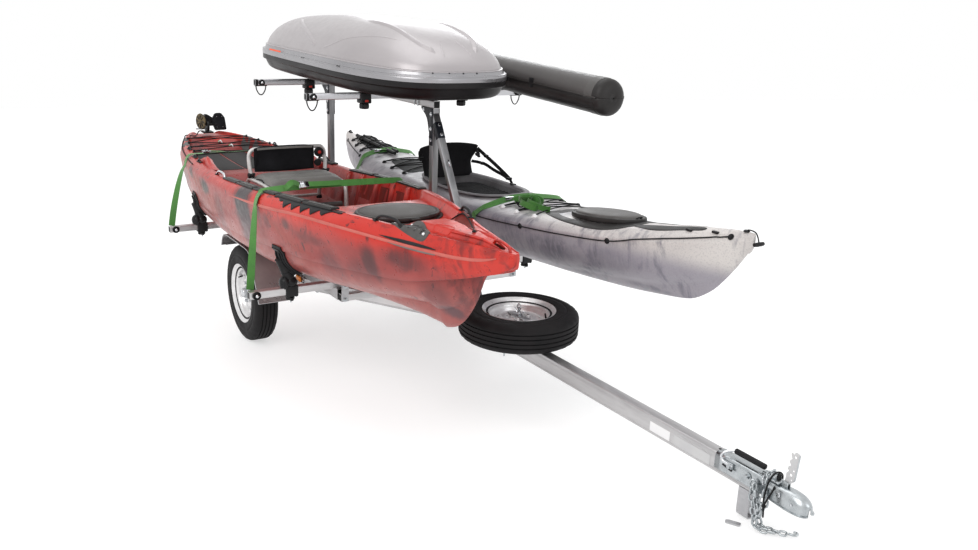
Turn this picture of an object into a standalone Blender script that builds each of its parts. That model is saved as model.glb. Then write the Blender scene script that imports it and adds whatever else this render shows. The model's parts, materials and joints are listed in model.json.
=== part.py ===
# A light kayak trailer on its wheels and tongue foot, loaded with two kayaks,
# a cargo box and a long gear tube.  Metres, +Z up.
# Every piece is laid out in the trailer's own level frame: +X towards the
# coupler, +Y to port, X = 0 at the axle, Z = 0 at the tread of a level trailer.
# One empty then pitches the whole trailer nose-down, so that both tyres and
# the tongue foot stand on Z = 0, and centres its outline on the origin.
import math

import bmesh
import bpy
import numpy as np
from mathutils import Matrix, Vector

# ---------------------------------------------------------------- dimensions
GAP = 0.0003            # clearance between pieces that touch
PITCH = math.radians(4.96)   # nose-down attitude with the foot on the ground

TYRE_R = 0.280
TYRE_HALF = 0.0675
WHEEL_Y = 0.688
AXLE_Z = 0.280
TYRE_SEGS = 24

BAR = 0.0381            # 1.5 inch square tube
BAR_WALL = 0.003
BAR_Z0 = 0.531          # underside of the lower load bars
BAR_HALF = 0.9905
FRONT_BAR_X = 0.85295   # centre of the front load bar
REAR_BAR_X = -0.58905

CROSS_Z0 = 0.470
CROSS_HALF = 0.533
CROSS_FRONT_X = 0.90095
CROSS_REAR_X = -0.63705

RAIL_Y = 0.520
RAIL_W = 0.038
RAIL_H = 0.060

TONGUE_W = 0.0508
TONGUE_H = 0.0762
TONGUE_TOP = 0.4622
TONGUE_X0 = -0.66
TONGUE_X1 = 3.180

POST = 0.035
POST_FRONT_X = 0.8912
POST_REAR_X = -0.424
SPINE_Z0 = 1.4257
SPINE = 0.038
SPINE_X0 = -0.570
SPINE_X1 = 0.912

UBAR = 0.03175          # 1.25 inch square tube
UBAR_Z0 = 1.4642
UBAR_HALF = 0.635
UBAR_XS = (0.0091, 0.7361)

BOX_X, BOX_Y = 0.336, -0.036
BOX_L, BOX_W = 1.834, 0.835
BOX_RIM = 1.572
BOX_SLOPE = 0.014
BOX_PLAN = (3.2, 6.0)    # roundness of the box's front end and of its rear end

TUBE_Y, TUBE_R = 0.490, 0.0873
TUBE_X0, TUBE_X1 = -0.335, 1.704
TUBE_Z, TUBE_REF_X, TUBE_SLOPE = 1.590, 0.75, 0.042

SPARE_X, SPARE_Z0 = 1.722, 0.4705

# Kayak lines: station x, centre y, half beam, keel z, chine fraction, chine z,
# sheer z, gunwale fraction, gunwale z
RED = [(-1.63, -.445, .050, .86, .60, .88, .93, .90, .975),
       (-1.60, -.445, .110, .76, .60, .79, .915, .90, .977),
       (-1.50, -.446, .180, .68, .62, .72, .905, .90, .975),
       (-1.28, -.448, .270, .635, .66, .66, .90, .90, .965),
       (-0.95, -.450, .345, .612, .72, .64, .905, .90, .957),
       (-0.55, -.455, .400, .60, .76, .63, .915, .92, .953),
       (0.00, -.460, .430, .598, .78, .628, .93, .92, .965),
       (0.50, -.465, .430, .600, .74, .63, .955, .92, 1.00),
       (1.00, -.468, .400, .610, .60, .645, .985, .90, 1.035),
       (1.40, -.472, .330, .625, .42, .68, 1.005, .86, 1.055),
       (1.70, -.475, .245, .640, .30, .72, .995, .82, 1.062),
       (1.92, -.478, .170, .652, .22, .75, .985, .80, 1.066),
       (2.05, -.480, .130, .740, .20, .80, .995, .80, 1.07),
       (2.18, -.482, .085, .900, .25, .93, 1.015, .8, 1.075),
       (2.30, -.484, .045, 1.00, .4, 1.01, 1.045, .8, 1.078),
       (2.37, -.485, .012, 1.055, .6, 1.057, 1.068, .8, 1.08)]
WHITE = [(-1.16, .45, .012, .90, .6, .91, .95, .8, .99),
         (-1.08, .45, .045, .82, .5, .84, .93, .8, .985),
         (-0.96, .45, .085, .75, .45, .78, .91, .8, .97),
         (-0.72, .45, .155, .70, .45, .74, .89, .8, .95),
         (-0.40, .45, .225, .665, .50, .705, .875, .78, .93),
         (0.10, .45, .290, .650, .55, .69, .87, .78, .92),
         (0.60, .45, .305, .648, .55, .69, .878, .78, .92),
         (1.10, .45, .285, .655, .50, .70, .90, .76, .935),
         (1.50, .45, .240, .672, .45, .715, .925, .74, .96),
         (1.90, .45, .175, .705, .40, .76, .96, .72, 1.00),
         (2.20, .45, .115, .745, .35, .80, 1.00, .7, 1.04),
         (2.35, .45, .080, .773, .3, .84, 1.03, .7, 1.068),
         (2.46, .45, .055, .835, .3, .88, 1.055, .7, 1.085),
         (2.56, .45, .030, .94, .4, .96, 1.08, .7, 1.1),
         (2.66, .45, .008, 1.08, .6, 1.085, 1.1, .7, 1.108)]
RED_WALL = 0.005
WHITE_WALL = 0.004

# ------------------------------------------------------------------ clean-up
for o in list(bpy.data.objects):
    bpy.data.objects.remove(o, do_unlink=True)

scene = bpy.context.scene
root = bpy.data.objects.new("trailer_frame", None)
scene.collection.objects.link(root)


# ----------------------------------------------------------------- materials
def material(name, colour, rough, metal):
    m = bpy.data.materials.new(name)
    m.use_nodes = True
    b = m.node_tree.nodes["Principled BSDF"]
    b.inputs["Base Color"].default_value = (*colour, 1)
    b.inputs["Roughness"].default_value = rough
    b.inputs["Metallic"].default_value = metal
    m.diffuse_color = (*colour, 1)
    return m


GALV = material("galvanised", (0.55, 0.56, 0.58), 0.45, 0.9)
ALU = material("aluminium", (0.66, 0.66, 0.68), 0.35, 0.9)
ZINC = material("zinc_plate", (0.75, 0.77, 0.80), 0.25, 0.95)
BLACKP = material("black_paint", (0.02, 0.02, 0.025), 0.4, 0.0)
RUBBER = material("tyre_rubber", (0.03, 0.03, 0.032), 0.75, 0.0)
PLASTIC = material("black_plastic", (0.025, 0.025, 0.027), 0.5, 0.0)
SILVER = material("silver_shell", (0.60, 0.59, 0.61), 0.22, 0.3)
GREYP = material("dark_grey_shell", (0.09, 0.085, 0.085), 0.35, 0.0)
REDP = material("red_polyethylene", (0.75, 0.12, 0.08), 0.35, 0.0)
WHITEP = material("white_polyethylene", (0.78, 0.76, 0.77), 0.4, 0.0)
GREYRUB = material("grey_hatch", (0.20, 0.20, 0.20), 0.6, 0.0)
FABRIC = material("seat_fabric", (0.05, 0.05, 0.055), 0.85, 0.0)
WEB = material("green_webbing", (0.10, 0.42, 0.08), 0.7, 0.0)
LENS = material("red_lens", (0.6, 0.03, 0.02), 0.2, 0.0)


# -------------------------------------------------------------- mesh helpers
def finish(name, verts, faces, mat, origin=None, smooth=False):
    """A named object from points in the trailer's level frame, with its own
    material, its origin at a given point and a parent that pitches it."""
    me = bpy.data.meshes.new(name)
    me.from_pydata([tuple(v) for v in verts], [], faces)
    bm = bmesh.new()
    bm.from_mesh(me)
    bmesh.ops.remove_doubles(bm, verts=bm.verts, dist=1e-6)
    bmesh.ops.recalc_face_normals(bm, faces=bm.faces)
    vol = bm.calc_volume(signed=True)
    if vol < 0:
        bmesh.ops.reverse_faces(bm, faces=bm.faces)
    bm.to_mesh(me)
    bm.free()
    return place(name, me, mat, origin, smooth)


def place(name, me, mat, origin=None, smooth=False):
    co = np.array([v.co for v in me.vertices])
    if origin is None:
        origin = (co.min(0) + co.max(0)) / 2
    me.transform(Matrix.Translation(-Vector(origin)))
    ob = bpy.data.objects.new(name, me)
    scene.collection.objects.link(ob)
    ob.parent = root
    ob.location = Vector(origin)
    own = mat.copy()
    own.name = name + "_finish"
    me.materials.clear()
    me.materials.append(own)
    if smooth:
        me.shade_smooth()
        me.set_sharp_from_angle(angle=math.radians(35))
    return ob


def box_pts(lo, hi):
    v = [(x, y, z) for x in (lo[0], hi[0]) for y in (lo[1], hi[1]) for z in (lo[2], hi[2])]
    f = [(0, 1, 3, 2), (4, 6, 7, 5), (0, 4, 5, 1), (2, 3, 7, 6), (0, 2, 6, 4), (1, 5, 7, 3)]
    return v, f


def box(name, lo, hi, mat, origin=None):
    v, f = box_pts(lo, hi)
    return finish(name, v, f, mat, origin)


def rod_pts(points, radius, sides=8, up=(0, 0, 1)):
    """A round bar along a bent line, with flat ends."""
    P = [Vector(p) for p in points]
    n = len(P)
    verts, faces = [], []
    ref = Vector(up)
    for i, p in enumerate(P):
        a = P[min(i + 1, n - 1)] - P[max(i - 1, 0)]
        a.normalize()
        if abs(a.dot(ref)) > 0.93:
            ref = Vector((0, 1, 0)) if abs(a.y) < 0.9 else Vector((1, 0, 0))
        e1 = a.cross(ref).normalized()
        e2 = a.cross(e1).normalized()
        ref = -e2 if ref.dot(e2) < 0 else e2
        # widen the section at a bend so the bar keeps its thickness
        k = 1.0
        if 0 < i < n - 1:
            t0 = (P[i] - P[i - 1]).normalized()
            k = 1 / max(0.5, t0.dot(a))
        for s in range(sides):
            t = 2 * math.pi * s / sides
            verts.append(p + (e1 * math.cos(t) + e2 * math.sin(t)) * radius * (1 if k == 1 else min(k, 1.2)))
    for i in range(n - 1):
        for s in range(sides):
            t = (s + 1) % sides
            faces.append((i * sides + s, i * sides + t, (i + 1) * sides + t, (i + 1) * sides + s))
    faces.append(tuple(range(sides))[::-1])
    faces.append(tuple((n - 1) * sides + s for s in range(sides)))
    return verts, faces


def ring_skin(rings, close=True):
    """Quads between successive rings of equal length."""
    m = len(rings[0])
    verts = [p for r in rings for p in r]
    faces = []
    for i in range(len(rings) - 1):
        for j in range(m if close else m - 1):
            k = (j + 1) % m
            faces.append((i * m + j, i * m + k, (i + 1) * m + k, (i + 1) * m + j))
    return verts, faces


def lathe(name, profile, segs, centre, axis, mat, phase=0.0, origin=None):
    """A closed profile of (radius, offset along the axis) turned round it."""
    c, a = Vector(centre), Vector(axis).normalized()
    e1 = Vector((0, 0, 1)) if abs(a.z) < 0.5 else Vector((1, 0, 0))
    e1 = (e1 - a * e1.dot(a)).normalized()
    e2 = a.cross(e1)
    m = len(profile)
    verts, faces = [], []
    for s in range(segs):
        t = 2 * math.pi * s / segs + phase
        d = e1 * math.cos(t) + e2 * math.sin(t)
        for r, w in profile:
            verts.append(c + d * r + a * w)
    for s in range(segs):
        u = (s + 1) % segs
        for j in range(m):
            k = (j + 1) % m
            faces.append((s * m + j, u * m + j, u * m + k, s * m + k))
    return finish(name, verts, faces, mat, origin or centre, smooth=True)


def square_tube(name, p0, p1, w, h, wall, mat, cut0=None, cut1=None, up=(0, 0, 1), origin=None):
    """An open-ended rectangular tube from p0 to p1.  cut0 and cut1 are the
    normals of its end planes, for a mitred end.  w is across, h is along up."""
    v, f = square_tube_pts(p0, p1, w, h, wall, cut0, cut1, up)
    return finish(name, v, f, mat, origin)


def square_tube_pts(p0, p1, w, h, wall, cut0=None, cut1=None, up=(0, 0, 1)):
    p0, p1 = Vector(p0), Vector(p1)
    a = (p1 - p0).normalized()
    side = a.cross(Vector(up)).normalized()
    top = side.cross(a).normalized()
    verts = []
    for p, cut in ((p0, cut0), (p1, cut1)):
        n = Vector(cut).normalized() if cut else a
        for ww, hh in ((w, h), (w - 2 * wall, h - 2 * wall)):
            for sx, sy in ((-1, -1), (1, -1), (1, 1), (-1, 1)):
                q = p + side * (sx * ww / 2) + top * (sy * hh / 2)
                q = q + a * ((p - q).dot(n) / a.dot(n))
                verts.append(q)
    faces = []
    for j in range(4):
        k = (j + 1) % 4
        faces.append((j, k, 8 + k, 8 + j))              # outside
        faces.append((4 + k, 4 + j, 12 + j, 12 + k))    # inside
        faces.append((k, j, 4 + j, 4 + k))              # first end
        faces.append((8 + j, 8 + k, 12 + k, 12 + j))    # second end
    return verts, faces


def join(name, parts, mat, origin=None, smooth=False, cut=()):
    """One solid: the union of the given (verts, faces), less the cutters."""
    obs = []
    for i, (v, f) in enumerate(list(parts) + list(cut)):
        me = bpy.data.meshes.new(name + "_tool")
        me.from_pydata([tuple(p) for p in v], [], f)
        bm = bmesh.new()
        bm.from_mesh(me)
        bmesh.ops.remove_doubles(bm, verts=bm.verts, dist=1e-6)
        bmesh.ops.recalc_face_normals(bm, faces=bm.faces)
        if bm.calc_volume(signed=True) < 0:
            bmesh.ops.reverse_faces(bm, faces=bm.faces)
        bmesh.ops.triangulate(bm, faces=bm.faces)
        bm.to_mesh(me)
        bm.free()
        ob = bpy.data.objects.new(name + "_tool", me)
        scene.collection.objects.link(ob)
        obs.append(ob)
    base = obs[0]
    for i, ob in enumerate(obs[1:], 1):
        m = base.modifiers.new("bool", "BOOLEAN")
        m.operation = "UNION" if i < len(parts) else "DIFFERENCE"
        m.solver = "EXACT"
        m.object = ob
        deps = bpy.context.evaluated_depsgraph_get()
        me = bpy.data.meshes.new_from_object(base.evaluated_get(deps))
        base.modifiers.clear()
        base.data = me
    me = base.data
    bm = bmesh.new()
    bm.from_mesh(me)
    bmesh.ops.remove_doubles(bm, verts=bm.verts, dist=1e-6)
    bmesh.ops.dissolve_degenerate(bm, dist=1e-6, edges=bm.edges)
    bm.to_mesh(me)
    bm.free()
    for ob in obs:
        bpy.data.objects.remove(ob, do_unlink=True)
    return place(name, me, mat, origin, smooth)


def disc_pts(c, axis, r, half, sides=12):
    c, a = Vector(c), Vector(axis).normalized()
    return rod_pts([c - a * half, c + a * half], r, sides, up=(1, 0, 0) if abs(a.x) < 0.5 else (0, 0, 1))


def plate_pts(profile, y0, y1):
    """A flat outline in X and Z, given as points, between two y values."""
    n = len(profile)
    v = [(x, y0, z) for x, z in profile] + [(x, y1, z) for x, z in profile]
    f = [tuple(range(n)), tuple(range(2 * n - 1, n - 1, -1))]
    f += [(i, i + n, (i + 1) % n + n, (i + 1) % n) for i in range(n)]
    return v, f


def outline(a, b, n, count):
    """A rounded rectangle as a superellipse.  n may be a pair: the front end's
    exponent and the rear end's."""
    out = []
    for i in range(count):
        t = 2 * math.pi * (i + 0.5) / count
        c, s = math.cos(t), math.sin(t)
        k = n if isinstance(n, (int, float)) else n[0] if c > 0 else n[1]
        out.append((math.copysign(abs(c) ** (2 / k), c) * a, math.copysign(abs(s) ** (2 / k), s) * b))
    return out


def cup(name, outer, inner, n, count, zmap, cx, cy, mat, origin):
    """A thin tray or lid: rings from its rim to its closed middle, outside and
    inside, each ring (half length, half width, height)."""
    def ring(a, b, h):
        return [(cx + x, cy + y, zmap(x, y, h)) for x, y in outline(a, b, n, count)]
    rings = [ring(*r) for r in reversed(inner)] + [ring(*r) for r in outer]
    verts, faces = ring_skin(rings)
    m = count
    verts.append((cx, cy, zmap(0, 0, inner[-1][2])))
    verts.append((cx, cy, zmap(0, 0, outer[-1][2])))
    a, b = len(verts) - 2, len(verts) - 1
    last = (len(rings) - 1) * m
    for j in range(m):
        k = (j + 1) % m
        faces.append((a, k, j))
        faces.append((b, last + j, last + k))
    return finish(name, verts, faces, mat, origin, smooth=True)


# --------------------------------------------------------------- kayak lines
def fair(x, xs, ys):
    """A smooth curve through the stations that never overshoots them."""
    n = len(xs)
    h = [xs[i + 1] - xs[i] for i in range(n - 1)]
    d = [(ys[i + 1] - ys[i]) / h[i] for i in range(n - 1)]
    m = [d[0]] + [0 if d[i - 1] * d[i] <= 0 else 2 * d[i - 1] * d[i] / (d[i - 1] + d[i]) for i in range(1, n - 1)] + [d[-1]]
    i = 0
    while i < n - 2 and x > xs[i + 1]:
        i += 1
    t = min(max((x - xs[i]) / h[i], 0), 1)
    return ((2 * t ** 3 - 3 * t ** 2 + 1) * ys[i] + (t ** 3 - 2 * t ** 2 + t) * h[i] * m[i]
            + (-2 * t ** 3 + 3 * t ** 2) * ys[i + 1] + (t ** 3 - t ** 2) * h[i] * m[i + 1])


def lines(table, x):
    xs = [r[0] for r in table]
    return [fair(x, xs, [r[k] for r in table]) for k in range(1, 9)]


def side_curve(table, x):
    """Half a hull section from the keel to the gunwale: (half width, z)."""
    yc, hb, zk, fc, zc, zs, fg, zg = lines(table, x)
    pts = [(0, zk), (.5 * fc * hb, zk + .25 * (zc - zk)), (fc * hb, zc)]
    c0, c1, c2 = (fc * hb, zc), (.97 * hb, zc + .25 * (zs - zc)), (hb, zs)
    for t in (.3, .65, 1.0):
        pts.append(tuple((1 - t) ** 2 * c0[k] + 2 * t * (1 - t) * c1[k] + t * t * c2[k] for k in (0, 1)))
    pts.append((fg * hb, zg))
    return yc, pts


def red_deck(x):
    """Inside of the gunwale, well wall foot, well middle and centre of the
    fishing kayak's deck, as (half width, z)."""
    yc, hb, zk, fc, zc, zs, fg, zg = lines(RED, x)
    g = fg * hb
    xs = [-1.63, -1.46, -1.36, -0.72, -0.60, -0.48, 0.40, 0.62, 0.98, 1.10, 1.60, 1.75, 2.37]
    floor = [.970, .955, .880, .860, .860, .800, .780, .780, .850, 1.010, 1.018, 1.055, 1.083]
    width = [.90, .85, .80, .80, .80, .74, .74, .78, .80, .80, .78, .6, .5]
    zf = fair(x, xs, floor)
    fw = fair(x, xs, width)
    rim = max(g - 0.045, g * 0.88)
    return [(rim, zg + .001), (min(fw * g, rim - .004), zf), (.5 * fw * g, zf), (0, zf)]


def white_deck(x):
    yc, hb, zk, fc, zc, zs, fg, zg = lines(WHITE, x)
    g = fg * hb
    return [(.93 * g, zg + .004), (.84 * g, zg + .008), (.42 * g, zg + .016), (0, zg + .018)]


def offset_loop(loop, d):
    """A closed loop of (y, z) moved inwards by d."""
    n = len(loop)
    out = []
    for i in range(n):
        p, a, b = Vector(loop[i]), Vector(loop[i - 1]), Vector(loop[(i + 1) % n])
        t0, t1 = (p - a).normalized(), (b - p).normalized()
        n0, n1 = Vector((-t0.y, t0.x)), Vector((-t1.y, t1.x))
        m = n0 + n1
        m = m / max(0.35, m.length_squared / 2 if m.length_squared > 0 else 1)
        q = p + m * d
        out.append((q.x, q.y))
    return out


def hull(name, table, deck, xs, holes, wall, mat, origin):
    """A rotomoulded hull as one thin skin, outside and inside, open only at
    the cockpit or hatch mouths.  xs are the stations, holes are (first
    station, last station, first ring point, last ring point)."""
    loops = []
    for x in xs:
        yc, side = side_curve(table, x)
        half = side + deck(x)          # keel ... gunwale ... deck centre
        star = [(yc - a, z) for a, z in half]
        port = [(yc + a, z) for a, z in half[1:-1]]
        loops.append(star + port[::-1])
    m = len(loops[0])
    inner_ids = [i for i, x in enumerate(xs) if lines(table, x)[1] > 0.042]
    verts, faces = [], []
    for x, lp in zip(xs, loops):
        verts += [(x, y, z) for y, z in lp]
    base = len(verts)
    for i in inner_ids:
        yc, hb = lines(table, xs[i])[:2]
        if hb > 0.16:
            inner = offset_loop(loops[i], -wall)
        else:
            # a narrow end shrinks towards its middle instead
            z0, z1 = min(z for _, z in loops[i]), max(z for _, z in loops[i])
            ky, kz, zm = 1 - wall / hb, 1 - 2 * wall / (z1 - z0), (z0 + z1) / 2
            inner = [(yc + (y - yc) * ky, zm + (z - zm) * kz) for y, z in loops[i]]
        verts += [(xs[i], y, z) for y, z in inner]

    def out(i, j):
        return i * m + j % m
    def inn(i, j):
        return base + inner_ids.index(i) * m + j % m
    cut = set()
    holes = [(xs.index(x0), xs.index(x1), j0, j1) for x0, x1, j0, j1 in holes]
    for i0, i1, j0, j1 in holes:
        cut |= {(i, j) for i in range(i0, i1) for j in range(j0, j1)}
    for i in range(len(xs) - 1):
        for j in range(m):
            if (i, j) not in cut:
                faces.append((out(i, j), out(i, j + 1), out(i + 1, j + 1), out(i + 1, j)))
    for i in inner_ids[:-1]:
        for j in range(m):
            if (i, j) not in cut:
                faces.append((inn(i, j), inn(i + 1, j), inn(i + 1, j + 1), inn(i, j + 1)))
    faces.append(tuple(out(0, j) for j in range(m)))
    faces.append(tuple(out(len(xs) - 1, j) for j in range(m))[::-1])
    faces.append(tuple(inn(inner_ids[0], j) for j in range(m))[::-1])
    faces.append(tuple(inn(inner_ids[-1], j) for j in range(m)))
    for i0, i1, j0, j1 in holes:
        for i in range(i0, i1):
            faces.append((out(i, j0), out(i + 1, j0), inn(i + 1, j0), inn(i, j0)))
            faces.append((out(i, j1), inn(i, j1), inn(i + 1, j1), out(i + 1, j1)))
        for j in range(j0, j1):
            faces.append((out(i0, j), inn(i0, j), inn(i0, j + 1), out(i0, j + 1)))
            faces.append((out(i1, j), out(i1, j + 1), inn(i1, j + 1), inn(i1, j)))
    return finish(name, verts, faces, mat, origin, smooth=True)


# ============================================================ lower chassis
tongue = square_tube_pts((TONGUE_X0, 0, TONGUE_TOP - TONGUE_H / 2), (TONGUE_X1, 0, TONGUE_TOP - TONGUE_H / 2),
                         TONGUE_W, TONGUE_H, 0.0032)
pads = [box_pts((x - .03, -.05, TONGUE_TOP - .001), (x + .03, .05, CROSS_Z0 - GAP))
        for x in (CROSS_FRONT_X, CROSS_REAR_X)]
FOOT_X = 3.152


def foot_strap():
    """The bent flat bar under the coupler that the tongue stands on."""
    out_, in_ = [], []
    t = 0.006
    outer = [(-.0254, .3870), (-.0254, .300), (-.0225, .284), (-.014, .2748), (.014, .2748), (.0225, .284), (.0254, .300), (.0254, .3870)]
    inner = [(-.0254 + t, .3870), (-.0254 + t, .301), (-.0225 + t, .290), (-.011, .2748 + t), (.011, .2748 + t), (.0225 - t, .290), (.0254 - t, .301), (.0254 - t, .3870)]
    loop = outer + inner[::-1]
    n = len(loop)
    v = [(FOOT_X - .024, y, z) for y, z in loop] + [(FOOT_X + .024, y, z) for y, z in loop]
    k = len(outer)
    f = []
    for side in (0, 1):
        for i in range(k - 1):
            a, b = i, i + 1
            c, d = n - 1 - i, n - 2 - i
            q = [a, b, d, c]
            f.append(tuple(x + side * n for x in (q if side == 0 else q[::-1])))
    for i in range(n):
        j = (i + 1) % n
        f.append((i, i + n, j + n, j))
    return v, f


join("tongue", [tongue, *pads, foot_strap()], GALV)

# slanting braces from under the rails to the tongue
for side, s in (("starboard", -1), ("port", 1)):
    d = Vector((.862, -s * .507, 0)).normalized()
    nrm = Vector((d.y, -d.x, 0)) if s < 0 else Vector((-d.y, d.x, 0))   # inboard is -nrm
    outer0 = Vector((.526, s * .513, 0))
    mid = outer0 - nrm * 0.019
    t0 = (s * .548 - mid.y) / d.y
    t1 = (s * (TONGUE_W / 2 + GAP) - mid.y) / d.y
    p0, p1 = mid + d * t0, mid + d * t1
    p0.z = p1.z = (.409 + .4694) / 2
    square_tube(f"brace_{side}", p0, p1, .038, .0604, .003, GALV, cut0=(0, s, 0), cut1=(0, s, 0))
    # side rail
    square_tube(f"side_rail_{side}", (CROSS_REAR_X + BAR / 2 + GAP, s * RAIL_Y, CROSS_Z0 - GAP + .0303),
                (CROSS_FRONT_X - BAR / 2 - GAP, s * RAIL_Y, CROSS_Z0 - GAP + .0303), RAIL_W, RAIL_H, .003, GALV)

square_tube("cross_member_front", (CROSS_FRONT_X, -CROSS_HALF, CROSS_Z0 + BAR / 2), (CROSS_FRONT_X, CROSS_HALF, CROSS_Z0 + BAR / 2),
            BAR, BAR, BAR_WALL, GALV)
square_tube("cross_member_rear", (CROSS_REAR_X, -CROSS_HALF, CROSS_Z0 + BAR / 2), (CROSS_REAR_X, CROSS_HALF, CROSS_Z0 + BAR / 2),
            BAR, BAR, BAR_WALL, GALV)


def bracket(x_bar, x_face, sgn, y):
    """A bent plate from over the load bar down the cross member's face."""
    zt = BAR_Z0 + BAR - .0006
    xa, xb = x_bar - sgn * .012, x_face + sgn * GAP
    prof = [(xa, zt), (xb, zt), (xb, CROSS_Z0 + .0006), (xb + sgn * .0042, CROSS_Z0 + .0006),
            (xb + sgn * .0042, zt + .0048), (xa, zt + .0048)]
    return plate_pts(prof, y - .019, y + .019)


for name, xb, xf, sgn in (("load_bar_front", FRONT_BAR_X, CROSS_FRONT_X + BAR / 2, 1),
                          ("load_bar_rear", REAR_BAR_X, CROSS_REAR_X - BAR / 2, -1)):
    bar = square_tube_pts((xb, -BAR_HALF, BAR_Z0 + BAR / 2), (xb, BAR_HALF, BAR_Z0 + BAR / 2), BAR, BAR, BAR_WALL)
    join(name, [bar, bracket(xb, xf, sgn, -.514), bracket(xb, xf, sgn, .514)], GALV)

# axle, springs, wheels, fenders
join("axle", [rod_pts([(0, -.722, AXLE_Z), (0, .722, AXLE_Z)], .0145, 12),
              box_pts((-.0222, -.612, AXLE_Z - .0222), (.0222, .612, AXLE_Z + .0222))], GALV)

for side, s in (("starboard", -1), ("port", 1)):
    y0 = s * RAIL_Y
    z_rail = CROSS_Z0 - GAP
    arc = []
    for i in range(9):
        t = -1 + 2 * i / 8
        arc.append((t * .285, AXLE_Z + .0226 + .105 * t * t))
    prof = arc + [(x, z + .014) for x, z in reversed(arc)]
    leaf = plate_pts(prof, y0 - .0222, y0 + .0222)
    # quads only, so the curved plate has no non-convex cap
    v, _ = leaf
    n = len(arc)
    f = []
    for o_ in (0, 2 * n):
        for i in range(n - 1):
            a, b, c, d_ = o_ + i, o_ + i + 1, o_ + 2 * n - 2 - i, o_ + 2 * n - 1 - i
            f.append((a, b, c, d_) if o_ == 0 else (d_, c, b, a))
    m = 2 * n
    f += [(i, i + m, (i + 1) % m + m, (i + 1) % m) for i in range(m)]
    hang = [box_pts((x - .02, y0 - .027, .395), (x + .02, y0 + .027, z_rail - GAP)) for x in (-.285, .285)]
    ub = box_pts((-.04, y0 - .030, AXLE_Z - .036), (.04, y0 + .030, AXLE_Z - .0226))
    uplates = [box_pts((x - .004, y0 - .030, AXLE_Z - .03), (x + .004, y0 + .030, AXLE_Z + .052)) for x in (-.030, .030)]
    top = box_pts((-.034, y0 - .030, AXLE_Z + .035), (.034, y0 + .030, AXLE_Z + .052))
    join(f"leaf_spring_{side}", [(v, f), *hang, top, *uplates, ub], BLACKP)

RIM_PROFILE = [(.0158, -.030), (.036, -.030), (.036, .010), (.076, .018), (.118, .002), (.1375, .000), (.1375, -.046),
               (.150, -.052), (.1705, -.0665), (.1725, -.0620), (.152, -.0475), (.1432, -.047), (.1432, .047), (.152, .0475),
               (.1725, .0620), (.1705, .0665), (.150, .052), (.1375, .046), (.1375, .008), (.118, .010), (.076, .026),
               (.040, .018), (.036, .048), (.0158, .048)]
# the bead and the flange touch along a cone: the rubber keeps the clearance
TYRE_PROFILE = [(.1438, -.0465), (.1535, -.0470), (.1738, -.0618), (.205, -.0675), (.245, -.0665), (.272, -.056),
                (.2800, -.036), (.2800, .036), (.272, .056), (.245, .0665), (.205, .0675), (.1738, .0618), (.1535, .0470),
                (.1438, .0465), (.1438, .034), (.205, .056), (.262, .046), (.262, -.046), (.205, -.056), (.1438, -.034)]


def wheel(tag, centre, axis, phase):
    lathe(f"tyre_{tag}", TYRE_PROFILE, TYRE_SEGS, centre, axis, RUBBER, phase)
    lathe(f"wheel_{tag}", RIM_PROFILE, TYRE_SEGS, centre, axis, ZINC, phase)


# a tread facet edge points straight down once the trailer is pitched
for side, s in (("starboard", -1), ("port", 1)):
    wheel(side, (0, s * WHEEL_Y, AXLE_Z), (0, s, 0), math.pi + s * (-PITCH))
    # round-cornered fender over the tyre, cut short at the rear
    prof = [(-.268, .510), (-.245, .555), (-.185, .594), (.185, .594), (.245, .555), (.315, .430), (.365, .325)]
    inn = [(-.2652, .5088), (-.2425, .5525), (-.1840, .5910), (.1840, .5910), (.2425, .5525), (.3115, .4285), (.3615, .3235)]
    k = len(prof)
    ya, yb = s * .606, s * .775
    v, f = [], []
    for x, z in prof:
        v += [(x, ya, z), (x, yb, z)]
    for x, z in inn:
        v += [(x, ya, z), (x, yb, z)]
    for i in range(k - 1):
        a = 2 * i
        b = 2 * k + 2 * i
        f += [(a, a + 1, a + 3, a + 2), (b, b + 2, b + 3, b + 1), (a, a + 2, b + 2, b), (a + 1, b + 1, b + 3, a + 3)]
    f += [(0, 2 * k, 2 * k + 1, 1), (2 * k - 2, 2 * k - 1, 4 * k - 1, 4 * k - 2)]
    # brackets reach the side rail
    arms = [box_pts((x - .015, min(s * (RAIL_Y + .0195), s * .612), .486), (x + .015, max(s * (RAIL_Y + .0195), s * .612), .490)) for x in (-.255, .255)]
    arms2 = [box_pts((x - .015, min(s * .606, s * .612), .486), (x + .015, max(s * .606, s * .612), .53)) for x in (-.255, .255)]
    join(f"fender_{side}", [(v, f), *arms, *arms2], GALV)
    box(f"tail_light_{side}", (-.322, min(s * .652, s * .748), .500), (-.272, max(s * .652, s * .748), .562), LENS)

# ======================================================== coupler and spare
CZ = TONGUE_TOP
side_in, side_out = TONGUE_W / 2 + GAP, TONGUE_W / 2 + GAP + .004


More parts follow.
